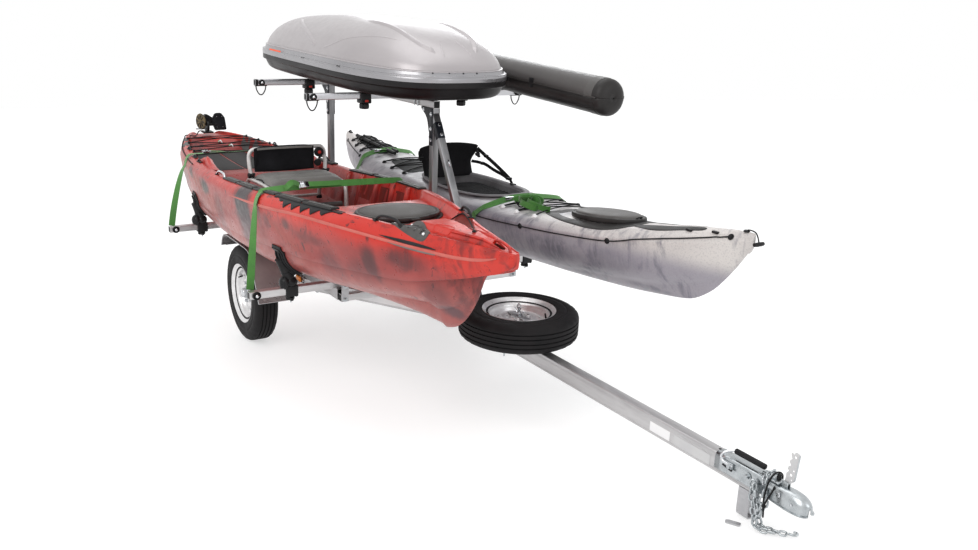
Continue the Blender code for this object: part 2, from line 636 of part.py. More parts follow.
def coupler():
    """A folded steel channel over the tongue's end that closes into the ball
    dome: (x, half width, top z) stations, open below."""
    st = [(3.010, side_out, CZ + GAP + .004), (3.192, side_out, CZ + GAP + .004), (3.235, .0290, .4650),
          (3.290, .0310, .4600), (3.335, .0360, .4650), (3.370, .0355, .4610), (3.395, .0270, .4500), (3.406, .0150, .4380)]
    z0 = .4045
    t = .004
    vo, vi = [], []
    for x, w, zt in st:
        r = min(.012, w * .45)
        vo.append([(x, -w, z0), (x, -w, zt - r), (x, -w + r, zt), (x, w - r, zt), (x, w, zt - r), (x, w, z0)])
    for k, (x, w, zt) in enumerate(st):
        xi = x if k == 0 else x - t * max(0, (k - 4)) / 3
        w2, zt2 = w - t, zt - t
        if k < 2:
            w2, zt2 = side_in, CZ + GAP
            r = .0005
        else:
            r = min(.010, w2 * .45)
        vi.append([(xi, -w2, z0), (xi, -w2, zt2 - r), (xi, -w2 + r, zt2), (xi, w2 - r, zt2), (xi, w2, zt2 - r), (xi, w2, z0)])
    verts = [p for r in vo for p in r] + [p for r in vi for p in r]
    n, b = len(st), len(st) * 6
    f = []
    for i in range(n - 1):
        for j in range(5):
            f.append((i * 6 + j, i * 6 + j + 1, (i + 1) * 6 + j + 1, (i + 1) * 6 + j))
            f.append((b + i * 6 + j, b + (i + 1) * 6 + j, b + (i + 1) * 6 + j + 1, b + i * 6 + j + 1))
        for j in (0, 5):
            q = (i * 6 + j, (i + 1) * 6 + j, b + (i + 1) * 6 + j, b + i * 6 + j)
            f.append(q if j == 0 else q[::-1])
    for j in range(5):
        f.append((j, b + j, b + j + 1, j + 1))
    last, lb = (n - 1) * 6, b + (n - 1) * 6
    f.append(tuple(last + j for j in range(6)))
    f.append(tuple(lb + j for j in range(6))[::-1])
    f.append((last, last + 5, lb + 5, lb))
    return verts, f


ears = [box_pts((3.288, min(s * .0045, s * .0090), .4560), (3.312, max(s * .0045, s * .0090), .4830)) for s in (-1, 1)]
join("coupler", [coupler(), *ears, disc_pts((3.300, 0, .4400), (0, 1, 0), .0065, .0365, 10)], ZINC)

# latch: an upright lever plate that turns between two ears on the coupler
LATCH_PIN = (3.300, 0, .4725)
lp = [(-.0075, .004), (-.0085, -.0005), (-.006, -.0060), (0, -.0085), (.006, -.0060), (.0085, -.0005), (.031, .022), (.038, .1195), (.024, .1245),
      (.006, .1175), (.000, .087), (-.005, .040)]
lp = [(LATCH_PIN[0] + x, LATCH_PIN[2] + z) for x, z in lp]
v = [(x, y, z) for y in (-.0035, .0035) for x, z in lp]
n = len(lp)
caps = [(0, 1, 2), (0, 2, 3), (0, 3, 4), (0, 4, 5), (0, 5, 6), (0, 6, 11), (11, 6, 7), (11, 7, 10), (10, 7, 9), (9, 7, 8)]
f = [t for t in caps] + [tuple(n + i for i in reversed(t)) for t in caps] + [(i, i + n, (i + 1) % n + n, (i + 1) % n) for i in range(n)]
finish("coupler_latch", v, f, ZINC, LATCH_PIN)

# lift handle: a bent round bar lying along the tongue with a rubber grip
hz = .4695
join("lift_handle", [rod_pts([(3.052, -.0360, .450), (3.046, -.0362, .462), (3.046, -.0350, .476), (3.054, -.024, .4850),
                              (3.072, -.008, .4905), (3.110, -.004, .4925), (3.205, -.004, .4925)], .0052, 8),
                     rod_pts([(3.079, -.004, .4925), (3.212, -.004, .4925)], .0105, 10),
                     box_pts((3.040, -.0385, .432), (3.100, -.0300, .4575))], ZINC)

# flat plate lying on the ground beside the foot, on the end of the chain
chain = [(3.202, -.0400, .438), (3.213, -.042, .425), (3.222, -.044, .400), (3.228, -.044, .370), (3.233, -.041, .340),
         (3.240, -.036, .312), (3.250, -.028, .2905), (3.266, -.018, .2900), (3.290, -.006, .2922), (3.315, .006, .2943), (3.335, .014, .2961)]
v, f = rod_pts([Vector(p) for p in chain], .0075, 8)
join("safety_chain", [(v, f), box_pts((3.196, -.049, .432), (3.216, -.0300, .446))], ZINC)

# spare wheel flat on the tongue, on a carrier plate with a threaded stud
wheel("spare", (SPARE_X, 0, SPARE_Z0 + .0675), (0, 0, 1), 0.0)
join("spare_carrier", [box_pts((SPARE_X - .075, -.060, TONGUE_TOP + GAP), (SPARE_X + .075, .060, SPARE_Z0 + .0055)),
                       rod_pts([(SPARE_X, 0, .4655), (SPARE_X, 0, .606)], .0080, 10),
                       box_pts((SPARE_X - .040, -.016, .5872), (SPARE_X + .040, .016, .5932)),
                       rod_pts([(SPARE_X - .055, -.034, .4685), (SPARE_X - .055, -.034, .352)], .0045, 8),
                       box_pts((SPARE_X - .068, -.046, .3800), (SPARE_X - .040, .046, .3857)),
                       rod_pts([(SPARE_X - .055, .034, .4685), (SPARE_X - .055, .034, .372)], .0045, 8)], ZINC)

# ============================================================== upper tier
def knee(x, s):
    """Curved gusset plates from a post up to the spine; s points along X."""
    h = POST / 2
    prof = [(x + s * (h + .001), SPINE_Z0 - .0004), (x + s * .105, SPINE_Z0 - .0004), (x + s * .100, SPINE_Z0 - .016),
            (x + s * .060, SPINE_Z0 - .034), (x + s * .034, SPINE_Z0 - .070), (x + s * (h - .001), SPINE_Z0 - .125)]
    prof[0] = (x + s * (h - .001), SPINE_Z0 - .0004)
    return prof


def knee_solid(x, s):
    prof = knee(x, s)
    # split along the curve so each face is convex
    top = [prof[0], prof[0], prof[0], prof[0]]
    y0, y1 = -POST / 2 - .003, POST / 2 + .003
    a, b, c, d, e, g = prof
    v = [(p[0], y, p[1]) for y in (y0, y1) for p in prof]
    n = 6
    f = []
    for i in range(1, 5):
        f.append((0, i, i + 1))
        f.append((n, n + i + 1, n + i))
    for i in range(n):
        j = (i + 1) % n
        f.append((i, i + n, j + n, j))
    return v, f


def post(name, x, z0, s):
    tube_ = square_tube_pts((x, 0, z0), (x, 0, SPINE_Z0 - GAP), POST, POST, .0028, up=(1, 0, 0))
    base = box_pts((x - POST / 2 - .002, -POST / 2 - .014, z0), (x + POST / 2 + .0, POST / 2 + .014, z0 + .005))
    join(name, [tube_, base, knee_solid(x, s)], GALV)


post("post_front", POST_FRONT_X, CROSS_Z0 + BAR + GAP, -1)
post("post_rear", POST_REAR_X, TONGUE_TOP + GAP, -1)

square_tube("spine", (SPINE_X0, 0, SPINE_Z0 + SPINE / 2), (SPINE_X1, 0, SPINE_Z0 + SPINE / 2), SPINE, SPINE, .003, GALV)

# front brace from the post down to the tongue
bx = lambda z: 0.905 + (1.408 - z) * 0.5605       # front edge
drop = math.atan(0.5605)
thick = 0.030
half_dx = thick / 2 / math.cos(drop)
x_face = POST_FRONT_X + POST / 2 + GAP
zc = 1.408 - (x_face + half_dx - 0.905) / 0.5605
p0 = (x_face, 0, zc)
z_low = TONGUE_TOP + GAP
p1 = (bx(z_low) - half_dx, 0, z_low)
square_tube("front_brace", p0, p1, .038, thick, .0028, GALV, cut0=(1, 0, 0), cut1=(0, 0, 1), up=(1, 0, .5))

def cradle(ux):
    """The saddle on an upper bar that the gear tube lies in."""
    zt = TUBE_Z - TUBE_SLOPE * (ux - TUBE_REF_X)
    seat = []
    for k in range(9):
        t = math.radians(-150 + 120 * k / 8)
        seat.append((TUBE_Y + (TUBE_R + .0012) * math.cos(t), zt + (TUBE_R + .0012) * math.sin(t)))
    zb = UBAR_Z0 + UBAR - .001
    v, f = [], []
    n = len(seat)
    for x in (ux - .018, ux + .018):
        dz = -TUBE_SLOPE * (x - ux)
        v += [(x, y, z + dz - .0004) for y, z in seat] + [(x, y, zb) for y, z in seat]
    for o2 in (0, 2 * n):
        for i in range(n - 1):
            q = (o2 + i, o2 + i + 1, o2 + n + i + 1, o2 + n + i)
            f.append(q if o2 == 0 else q[::-1])
    for i in range(n - 1):
        f.append((i, 2 * n + i, 2 * n + i + 1, i + 1))
        f.append((n + i + 1, 3 * n + i + 1, 3 * n + i, n + i))
    f.append((0, n, 3 * n, 2 * n))
    f.append((n - 1, 3 * n - 1, 4 * n - 1, 2 * n - 1))
    return v, f


for i, (name, ux) in enumerate((("upper_bar_rear", UBAR_XS[0]), ("upper_bar_front", UBAR_XS[1]))):
    bar = square_tube_pts((ux, -UBAR_HALF, UBAR_Z0 + UBAR / 2), (ux, UBAR_HALF, UBAR_Z0 + UBAR / 2), UBAR, UBAR, .0025)
    loops = []
    for s in (-1, 1):
        y = s * .600
        path = [(ux, y - .028, UBAR_Z0 + .001), (ux, y - .028, UBAR_Z0 - .010), (ux, y - .022, UBAR_Z0 - .034), (ux, y - .010, UBAR_Z0 - .052),
                (ux, y + .010, UBAR_Z0 - .052), (ux, y + .022, UBAR_Z0 - .034), (ux, y + .028, UBAR_Z0 - .010), (ux, y + .028, UBAR_Z0 + .001)]
        loops.append(rod_pts(path, .0032, 6, up=(1, 0, 0)))
    claws = []
    for s in (-1, 1):
        # clamp that holds the cargo box: a knobbed claw round the bar
        y = BOX_Y + s * .285
        claws += [box_pts((ux - .030, y - .028, UBAR_Z0 - .022), (ux + .030, y + .028, UBAR_Z0 + .001)),
                  box_pts((ux - .030, y - .0275, UBAR_Z0 - .020), (ux - UBAR / 2 + .001, y + .0275, UBAR_Z0 + UBAR - .0006)),
                  box_pts((ux + UBAR / 2 - .001, y - .0275, UBAR_Z0 - .020), (ux + .030, y + .0275, UBAR_Z0 + UBAR - .0006)),
                  rod_pts([(ux, y, UBAR_Z0 - .021), (ux, y, UBAR_Z0 - .050)], .024, 12)]
    join(name, [bar, *loops, *claws, cradle(ux)], ALU)

# ============================================================== cargo box
def box_z(x, y, h):
    return BOX_RIM + h - BOX_SLOPE * x


A, B = BOX_L / 2, BOX_W / 2
floor = UBAR_Z0 + UBAR + GAP - BOX_RIM         # lowest at the bars
base_outer = [(A, B, .026), (A, B, .000), (A - .012, B - .012, -.001), (A - .020, B - .018, -.020), (A - .035, B - .030, -.045),
              (A - .075, B - .062, -.060), (A - .14, B - .11, -.0645), (A * .4, B * .4, -.0645)]
base_inner = [(A - .0040, B - .0040, .026), (A - .0040, B - .0040, .003), (A - .0155, B - .0155, .003), (A - .0235, B - .0215, -.0185), (A - .0385, B - .0335, -.0425),
              (A - .0785, B - .0655, -.0570), (A - .14, B - .1135, -.0612), (A * .4, B * .4, -.0612)]
cup("cargo_box_base", base_outer, base_inner, BOX_PLAN, 28, box_z, BOX_X, BOX_Y, PLASTIC, (BOX_X, BOX_Y, BOX_RIM))


def lid_z(x, y, h):
    """The lid is tall in the middle, a little lower astern, and falls to the bow."""
    u = x / A
    drop_ = .925 - .11 * max(0.0, -u) ** 1.3 - .36 * max(0.0, (u - .4) / .6) ** 1.5
    rise = max(0.0, h - .060)
    return BOX_RIM + min(h, .060) + rise * drop_ - BOX_SLOPE * x


lid_outer = [(A, B, .0263), (A, B, .055), (A - .010, B - .010, .060), (A - .030, B - .026, .105), (A - .062, B - .055, .165), (A - .115, B - .100, .220),
             (A - .20, B - .165, .262), (A - .36, B - .255, .288), (A * .30, B * .20, .298)]
lid_inner = [(A - .0035, B - .0035, .0263), (A - .0035, B - .0035, .053), (A - .0135, B - .0135, .0585), (A - .0335, B - .0295, .103), (A - .066, B - .059, .1625),
             (A - .119, B - .104, .2170), (A - .204, B - .169, .2590), (A - .364, B - .259, .2848), (A * .30, B * .20, .2948)]
HINGE = (BOX_X, BOX_Y + B + .003, BOX_RIM + .0262)
cup("cargo_box_lid", lid_outer, lid_inner, BOX_PLAN, 28, lid_z, BOX_X, BOX_Y, SILVER, HINGE)

# ============================================================== gear tube
TCX = (TUBE_X0 + TUBE_X1) / 2
TL = (TUBE_X1 - TUBE_X0) / 2


def tube_z(x, y, h):
    return TUBE_Z - TUBE_SLOPE * (x + TCX - TUBE_REF_X) + h


def half(sign, gap):
    r, w = TUBE_R, .003
    out_, in_ = [], []
    for k in range(6):
        t = k / 6 * math.pi / 2
        e = .030 * (1 - math.cos(t))
        out_.append((TL - e, r * math.cos(t), sign * (gap + (r - gap) * math.sin(t))))
        in_.append((TL - e - w, (r - w) * math.cos(t), sign * (gap + (r - w - gap) * math.sin(t))))
    out_.append((TL - .045, r * .10, sign * r))
    in_.append((TL - .045 - w, r * .10, sign * (r - w)))
    return out_, in_


o_, i_ = half(-1, 0.0)
cup("gear_tube_base", o_, i_, 16, 20, tube_z, TCX, TUBE_Y, PLASTIC, (TCX, TUBE_Y, TUBE_Z))
o_, i_ = half(1, GAP)
TUBE_HINGE = (TCX, TUBE_Y + TUBE_R + .002, tube_z(0, 0, 0))
cup("gear_tube_lid", o_, i_, 16, 20, tube_z, TCX, TUBE_Y, GREYP, TUBE_HINGE)
# =========================================================== the two kayaks
RX = [-1.63, -1.60, -1.50, -1.40, -1.28, -1.05, -0.80, -0.64, -0.54, -0.30, 0.00, 0.35, 0.64, 0.80, 0.905, 1.05, 1.28, 1.49, 1.62, 1.76, 1.92, 2.05, 2.18, 2.30, 2.37]
hull("red_hull", RED, red_deck, RX, [(1.28, 1.49, 9, 11)], RED_WALL, REDP, (0.4, -.46, .62))
WX = [-1.16, -1.08, -0.96, -0.80, -0.64, -0.54, -0.30, 0.00, 0.14, 0.34, 0.60, 0.80, 0.905, 1.00, 1.25, 1.50, 1.64, 1.90, 2.05, 2.20, 2.35, 2.46, 2.56, 2.66]
hull("white_hull", WHITE, white_deck, WX, [(.14, 1.00, 8, 12), (1.64, 1.90, 9, 11)], WHITE_WALL, WHITEP, (0.7, .45, .66))


def deck_height(table, deck, x, y):
    yc, side = side_curve(table, x)
    pts = sorted(deck(x) + [side[-1]])
    a = abs(y - yc)
    for (a0, z0), (a1, z1) in zip(pts, pts[1:]):
        if a0 <= a <= a1:
            return z0 + (z1 - z0) * (a - a0) / max(a1 - a0, 1e-9)
    return pts[-1][1]


def oval_lid(name, table, deck, cx, cy, a, b, thick_, crown, mat, origin, tab=None, lift=.004):
    """A hatch lid that lies on the deck and follows it."""
    N = 20
    rings = []
    for k, (fr, top) in enumerate(((.55, 0), (1.0, 0), (1.0, 1), (.9, 1.0), (.5, 1.0))):
        r = []
        for i in range(N):
            t = 2 * math.pi * i / N
            x, y = cx + a * fr * math.cos(t), cy + b * fr * math.sin(t)
            z = deck_height(table, deck, x, y) + lift
            if top:
                z += thick_ + crown * (1 - fr ** 2)
            r.append((x, y, z))
        rings.append(r)
    verts, faces = ring_skin(rings)
    z = deck_height(table, deck, cx, cy) + lift
    verts += [(cx, cy, z), (cx, cy, z + thick_ + crown)]
    c0, c1 = len(verts) - 2, len(verts) - 1
    last = (len(rings) - 1) * N
    for j in range(N):
        k = (j + 1) % N
        faces.append((c0, k, j))
        faces.append((c1, last + j, last + k))
    return finish(name, verts, faces, mat, origin, smooth=True)


HATCH = (1.385, -.462)
oval_lid("red_bow_hatch", RED, red_deck, HATCH[0], HATCH[1], .165, .200, .020, .004, GREYRUB, (HATCH[0] - .17, HATCH[1], 1.024))
oval_lid("white_bow_hatch", WHITE, white_deck, 1.775, .45, .235, .118, .022, .006, GREYRUB, (1.775, .45, 1.0))

# fishing seat: aluminium frame with a fabric base, and a folding back
join("red_seat", [rod_pts([(.36, -.705, .800), (.355, -.705, .90), (.33, -.70, .945), (.28, -.70, .958), (.10, -.70, .958), (.03, -.70, .940), (-.02, -.70, .89), (-.03, -.70, .800)], .011, 8),
                  rod_pts([(.36, -.235, .800), (.355, -.235, .90), (.33, -.24, .945), (.28, -.24, .958), (.10, -.24, .958), (.03, -.24, .940), (-.02, -.24, .89), (-.03, -.24, .800)], .011, 8),
                  rod_pts([(.15, -.70, .955), (.15, -.24, .955)], .010, 8), rod_pts([(.31, -.70, .955), (.31, -.24, .955)], .010, 8),
                  box_pts((.10, -.692, .930), (.335, -.248, .985)),
                  rod_pts([(.36, -.705, .8175), (.36, -.235, .8175)], .0085, 8), rod_pts([(-.03, -.70, .8175), (-.03, -.24, .8175)], .0085, 8)], FABRIC)
BACK_PIN = (.062, -.470, 1.006)
back = [(.052, .993), (.040, 1.03), (.036, 1.08), (.040, 1.125), (.060, 1.128), (.068, 1.08), (.076, 1.03), (.080, .995)]
n = len(back)
v = [(x, -.700, z) for x, z in back] + [(x, -.240, z) for x, z in back]
f = []
for o2 in (0, n):
    for i in range(3):
        q = (o2 + i, o2 + i + 1, o2 + n - 2 - i, o2 + n - 1 - i)
        f.append(q if o2 == 0 else q[::-1])
f += [(i, i + n, (i + 1) % n + n, (i + 1) % n) for i in range(n)]
finish("red_seat_back", v, f, FABRIC, BACK_PIN)

# stern drive parked on the fishing kayak's tail: a bracket, a round guard
# disc, a paddle-shaped plate and a thin shaft
DRIVE_PIN = (-1.545, -.455, 1.0)
box("drive_mount", (-1.575, -.490, .9815), (-1.505, -.420, .9930), PLASTIC)
v = [(x, y, z) for y in (-.4625, -.4475) for x, z in ((-1.578, .9985), (-1.568, .9965), (-1.520, .9965), (-1.505, 1.020), (-1.515, 1.062), (-1.565, 1.068))]
n = 6
f = [(0, 1, 2), (0, 2, 3), (0, 3, 4), (0, 4, 5), (6, 8, 7), (6, 9, 8), (6, 10, 9), (6, 11, 10)] + [(i, i + n, (i + 1) % n + n, (i + 1) % n) for i in range(n)]
blade = ([(x, y, z) for x in (-1.532, -1.517) for y, z in ((-.425, 1.060), (-.402, 1.117), (-.362, 1.120), (-.335, 1.085), (-.325, 1.002), (-.405, 1.000))],
         [(0, 1, 2), (0, 2, 3), (0, 3, 4), (0, 4, 5), (6, 8, 7), (6, 9, 8), (6, 10, 9), (6, 11, 10)] + [(i, i + 6, (i + 1) % 6 + 6, (i + 1) % 6) for i in range(6)])
join("stern_drive", [(v, f), disc_pts((-1.566, -.490, 1.058), (.30, -.954, 0), .056, .010, 16), rod_pts([(-1.564, -.487, 1.052), (-1.548, -.450, 1.045)], .012, 8), blade,
                     rod_pts([(-1.535, -.456, 1.036), (-1.5245, -.395, 1.040)], .010, 8), rod_pts([(-1.550, -.458, 1.008), (-1.550, -.532, 1.010)], .004, 6)], PLASTIC, origin=DRIVE_PIN)

# touring kayak: backrest and seat pad standing in the cockpit
wb = [(.268, .925), (.240, .985), (.232, 1.06), (.246, 1.115), (.262, 1.116), (.250, 1.06), (.258, .985), (.288, .930)]
n = len(wb)
v, f = [], []
cols = [(.262, .020), (.33, .004), (.45, 0), (.57, .004), (.638, .020)]
for y, dx in cols:
    drop_ = .012 if dx > .01 else 0
    v += [(x + dx, y, z - (drop_ if z > 1.0 else 0)) for x, z in wb]
for c in range(len(cols) - 1):
    for i in range(n):
        j = (i + 1) % n
        f.append((c * n + i, (c + 1) * n + i, (c + 1) * n + j, c * n + j))
for o2 in (0, (len(cols) - 1) * n):
    for i in range(3):
        q = (o2 + i, o2 + i + 1, o2 + n - 2 - i, o2 + n - 1 - i)
        f.append(q if o2 else q[::-1])
finish("white_backrest", v, f, FABRIC, (.275, .45, .925), smooth=True)
SEATP = []
cs = [(.300, .16, .855, .905), (.40, .175, .850, .900), (.60, .175, .850, .905), (.74, .150, .855, .915), (.80, .10, .865, .915)]
v, f = [], []
for x, w, za, zb in cs:
    v += [(x, .45 - w, za + .012), (x, .45 - w + .03, za), (x, .45 + w - .03, za), (x, .45 + w, za + .012), (x, .45 + w, zb - .015), (x, .45 + w - .03, zb), (x, .45 - w + .03, zb), (x, .45 - w, zb - .015)]
for c in range(len(cs) - 1):
    for i in range(8):
        j = (i + 1) % 8
        f.append((c * 8 + i, c * 8 + j, (c + 1) * 8 + j, (c + 1) * 8 + i))
f.append(tuple(range(8))[::-1])
f.append(tuple((len(cs) - 1) * 8 + i for i in range(8)))
finish("white_seat", v, f, FABRIC, smooth=True)


# ================================================================= saddles
def skin(table, x):
    """Half a section of the hull as its panels really run between two
    stations: (centre y, half beam, [(half width, z)])."""
    xs = RX if table is RED else WX
    i = max(k for k in range(len(xs) - 1) if xs[k] <= x)
    t = (x - xs[i]) / (xs[i + 1] - xs[i])
    (ya, pa), (yb, pb) = side_curve(table, xs[i]), side_curve(table, xs[i + 1])
    pts = [((1 - t) * p[0] + t * q[0], (1 - t) * p[1] + t * q[1]) for p, q in zip(pa, pb)]
    return (1 - t) * ya + t * yb, pts


def section_run(table, x, s, params, off):
    """Points of one side of a hull section at ring positions (1.5 is halfway
    between ring points 1 and 2), pushed outwards by off: s is -1 for
    starboard."""
    yc, pts = skin(table, x)
    out_ = []
    for a in params:
        i = min(int(a), len(pts) - 2)
        t = a - i
        p = Vector((pts[i][0] + (pts[i + 1][0] - pts[i][0]) * t, pts[i][1] + (pts[i + 1][1] - pts[i][1]) * t))
        d = (Vector(pts[i + 1]) - Vector(pts[i])).normalized()
        nrm = Vector((d.y, -d.x))
        if t < 1e-9 and i > 0:
            e = (Vector(pts[i]) - Vector(pts[i - 1])).normalized()
            nrm = nrm + Vector((e.y, -e.x))
            nrm = nrm / (nrm.length_squared / 2)
        q = p + nrm * off
        out_.append((yc + s * q.x, q.y))
    return out_


def saddle(name, table, xb, s, params, half_w=(-.046, .046), thick_=.018):
    """A curved pad against the hull on a stem that clamps round the bar."""
    v, f = [], []
    k = len(params)
    for dx in half_w:
        inner = section_run(table, xb + dx, s, params, .0032)
        outer = section_run(table, xb + dx, s, params, .0032 + thick_)
        v += [(xb + dx, y, z) for y, z in inner + outer[::-1]]
    n = 2 * k
    for side_ in (0, 1):
        for i in range(k - 1):
            q = tuple(side_ * n + x for x in (i, i + 1, n - 2 - i, n - 1 - i))
            f.append(q if side_ == 0 else q[::-1])
    f += [(i, i + n, (i + 1) % n + n, (i + 1) % n) for i in range(n)]
    # a stem from the clamp up into the middle of the pad
    run = section_run(table, xb, s, (2.15, 2.85), .0032 + thick_ * .55)
    (ya, za), (yb, zb) = sorted(run)
    my = (ya + yb) / 2
    if .45 < my < .577:
        my = .577            # the clamp has to pass outside the side rail
    hw = min(-half_w[0], half_w[1], .026) * .8
    zt = BAR_Z0 + BAR + .004
    stem = ([(x, y, z) for x in (xb - hw, xb + hw) for y, z in ((my - .030, zt), (my + .030, zt), (yb, zb), (ya, za))],
            [(0, 1, 2, 3), (7, 6, 5, 4), (0, 4, 5, 1), (1, 5, 6, 2), (2, 6, 7, 3), (3, 7, 4, 0)])
    clamp = box_pts((xb - BAR / 2 - .006, my - .034, BAR_Z0 - .012), (xb + BAR / 2 + .006, my + .034, BAR_Z0 + BAR + .008))
    hole = box_pts((xb - BAR / 2 - GAP, my - .08, BAR_Z0 - GAP), (xb + BAR / 2 + GAP, my + .08, BAR_Z0 + BAR + GAP))
    knob = rod_pts([(xb, my, BAR_Z0 - .010), (xb, my, BAR_Z0 - .046)], .020, 10)
    join(name, [clamp, stem, (v, f), knob], PLASTIC, cut=[hole])


for bar_tag, xb in (("front", FRONT_BAR_X), ("rear", REAR_BAR_X)):
    front = bar_tag == "front"
    saddle(f"saddle_red_{bar_tag}_starboard", RED, xb, -1, (2.0, 3.0, 3.7 if front else 3.85), thick_=.026)
    # the inner front pad is narrow: it has to pass beside the post
    saddle(f"saddle_red_{bar_tag}_port", RED, xb, 1, (2.0, 3.0, 3.3), (-.046, .0165) if front else (-.046, .046))
    saddle(f"saddle_white_{bar_tag}_starboard", WHITE, xb, -1, (1.5, 2.0, 3.0, 3.2))
    saddle(f"saddle_white_{bar_tag}_port", WHITE, xb, 1, (1.5, 2.0, 3.0, 3.2))


# ================================================================== straps
def strap(name, pts, width=.025, thick_=.0020):
    """Flat webbing along a bent line; its width lies along X."""
    P = [Vector(p) for p in pts]
    n = len(P)
    v = []
    for i, p in enumerate(P):
        a = P[max(i - 1, 0)]
        b = P[min(i + 1, n - 1)]
        d = (b - a)
        d.x = 0
        d.normalize()
        nr = Vector((0, -d.z, d.y))
        k = 1.0
        if 0 < i < n - 1:
            t0 = P[i] - P[i - 1]
            t0.x = 0
            k = 1 / max(.45, t0.normalized().dot(d))
        for sx, sn in ((-1, -1), (1, -1), (1, 1), (-1, 1)):
            v.append(p + Vector((sx * width / 2, 0, 0)) + nr * (sn * thick_ / 2 * k))
    f = []
    for i in range(n - 1):
        for j in range(4):
            k = (j + 1) % 4
            f.append((i * 4 + j, i * 4 + k, (i + 1) * 4 + k, (i + 1) * 4 + j))
    f.append((3, 2, 1, 0))
    f.append(tuple((n - 1) * 4 + j for j in range(4)))
    return finish(name, v, f, WEB)


def girth(table, x, s, off):
    """Sheer and gunwale points of one side, pushed outwards by off."""
    yc, pts = skin(table, x)
    return ((yc + s * (pts[-2][0] + off), pts[-2][1]), (yc + s * (pts[-1][0] + off * .8), pts[-1][1] + off))


def lash(name, table, x_bar, x_top, y_lo, y_hi, crown, off=.0085, z_lo=BAR_Z0 + BAR + .0015):
    (ys, zs), (yg, zg) = girth(table, x_top, -1, off)
    (yp, zp), (yq, zq) = girth(table, x_top, 1, off)
    xm = x_bar + (x_top - x_bar) * .85
    over = [(x_top, (yg + yq) / 2, (zg + zq) / 2 + crown)] if crown else []
    strap(name, [(x_bar, y_lo, z_lo), (xm, ys, zs), (x_top, yg, zg), *over, (x_top, yq, zq), (xm, yp, zp), (x_bar, y_hi, z_lo)])


lash("strap_red_front", RED, FRONT_BAR_X - .02, .70, -.975, -.024, 0)
lash("strap_red_rear", RED, REAR_BAR_X, -.78, -.975, -.035, 0)
lash("strap_white_front", WHITE, FRONT_BAR_X, 1.10, .085, .815, .022)
lash("strap_white_rear", WHITE, REAR_BAR_X, -.50, .085, .815, .022)

# =========================================================== pitch and centre
root.rotation_euler = (0, PITCH, 0)
bpy.context.view_layer.update()
lo, hi = np.full(3, 1e9), np.full(3, -1e9)
for ob in scene.objects:
    if ob.type == "MESH":
        M = np.array(ob.matrix_world)
        co = np.array([v.co for v in ob.data.vertices]) @ M[:3, :3].T + M[:3, 3]
        lo, hi = np.minimum(lo, co.min(0)), np.maximum(hi, co.max(0))
root.location = Vector((-(lo[0] + hi[0]) / 2, -(lo[1] + hi[1]) / 2, -lo[2]))
bpy.context.view_layer.update()
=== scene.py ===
import json
import math

import bmesh
import bpy
import numpy as np
from mathutils import Matrix, Vector

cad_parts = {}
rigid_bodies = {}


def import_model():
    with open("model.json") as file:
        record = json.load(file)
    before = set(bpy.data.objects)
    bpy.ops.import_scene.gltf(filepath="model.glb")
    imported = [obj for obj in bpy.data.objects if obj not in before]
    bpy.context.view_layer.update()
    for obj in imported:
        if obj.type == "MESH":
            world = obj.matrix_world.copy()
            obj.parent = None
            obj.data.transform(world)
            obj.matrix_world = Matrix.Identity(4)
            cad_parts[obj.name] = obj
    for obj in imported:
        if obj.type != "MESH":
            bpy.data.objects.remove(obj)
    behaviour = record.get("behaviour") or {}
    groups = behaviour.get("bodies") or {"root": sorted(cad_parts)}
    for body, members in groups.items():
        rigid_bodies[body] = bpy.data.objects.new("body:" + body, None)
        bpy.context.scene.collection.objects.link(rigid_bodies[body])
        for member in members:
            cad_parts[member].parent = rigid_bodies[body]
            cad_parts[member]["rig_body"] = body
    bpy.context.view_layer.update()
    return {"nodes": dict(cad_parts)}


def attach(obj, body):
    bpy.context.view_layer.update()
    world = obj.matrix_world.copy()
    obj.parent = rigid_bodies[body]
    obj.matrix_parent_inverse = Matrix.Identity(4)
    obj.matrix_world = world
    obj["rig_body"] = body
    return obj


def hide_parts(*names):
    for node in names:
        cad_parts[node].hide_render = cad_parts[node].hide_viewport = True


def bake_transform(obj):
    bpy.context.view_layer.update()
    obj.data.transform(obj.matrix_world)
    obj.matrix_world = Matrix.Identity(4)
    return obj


for o in list(bpy.data.objects):
    bpy.data.objects.remove(o, do_unlink=True)
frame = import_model()
NODE = frame["nodes"]

TILT = math.radians(4.96)
SHIFT = (-.9407874, 0, .0010485)
TM = Matrix.Translation(SHIFT) @ Matrix.Rotation(TILT, 4, "Y")

# ------------------------------------------------------------------- camera
yaw, pitch, roll = (math.radians(q) for q in (56.5878, 16.6834, 2.3572))
back = Vector((math.sin(yaw) * math.cos(pitch), -math.cos(yaw) * math.cos(pitch), math.sin(pitch)))
right = Vector((math.cos(yaw), math.sin(yaw), 0))
up = back.cross(right)
rr = right * math.cos(roll) + up * math.sin(roll)
uu = -right * math.sin(roll) + up * math.cos(roll)
cam = bpy.data.cameras.new("camera")
cam.lens = 34.199
cam.sensor_width = 36
cam.clip_end = 200
cam_ob = bpy.data.objects.new("camera", cam)
bpy.context.scene.collection.objects.link(cam_ob)
M = Matrix(((rr.x, uu.x, back.x, 5.0512), (rr.y, uu.y, back.y, -2.3711), (rr.z, uu.z, back.z, 1.9823), (0, 0, 0, 1)))
cam_ob.matrix_world = TM @ M
bpy.context.scene.camera = cam_ob

# =============================================================== materials


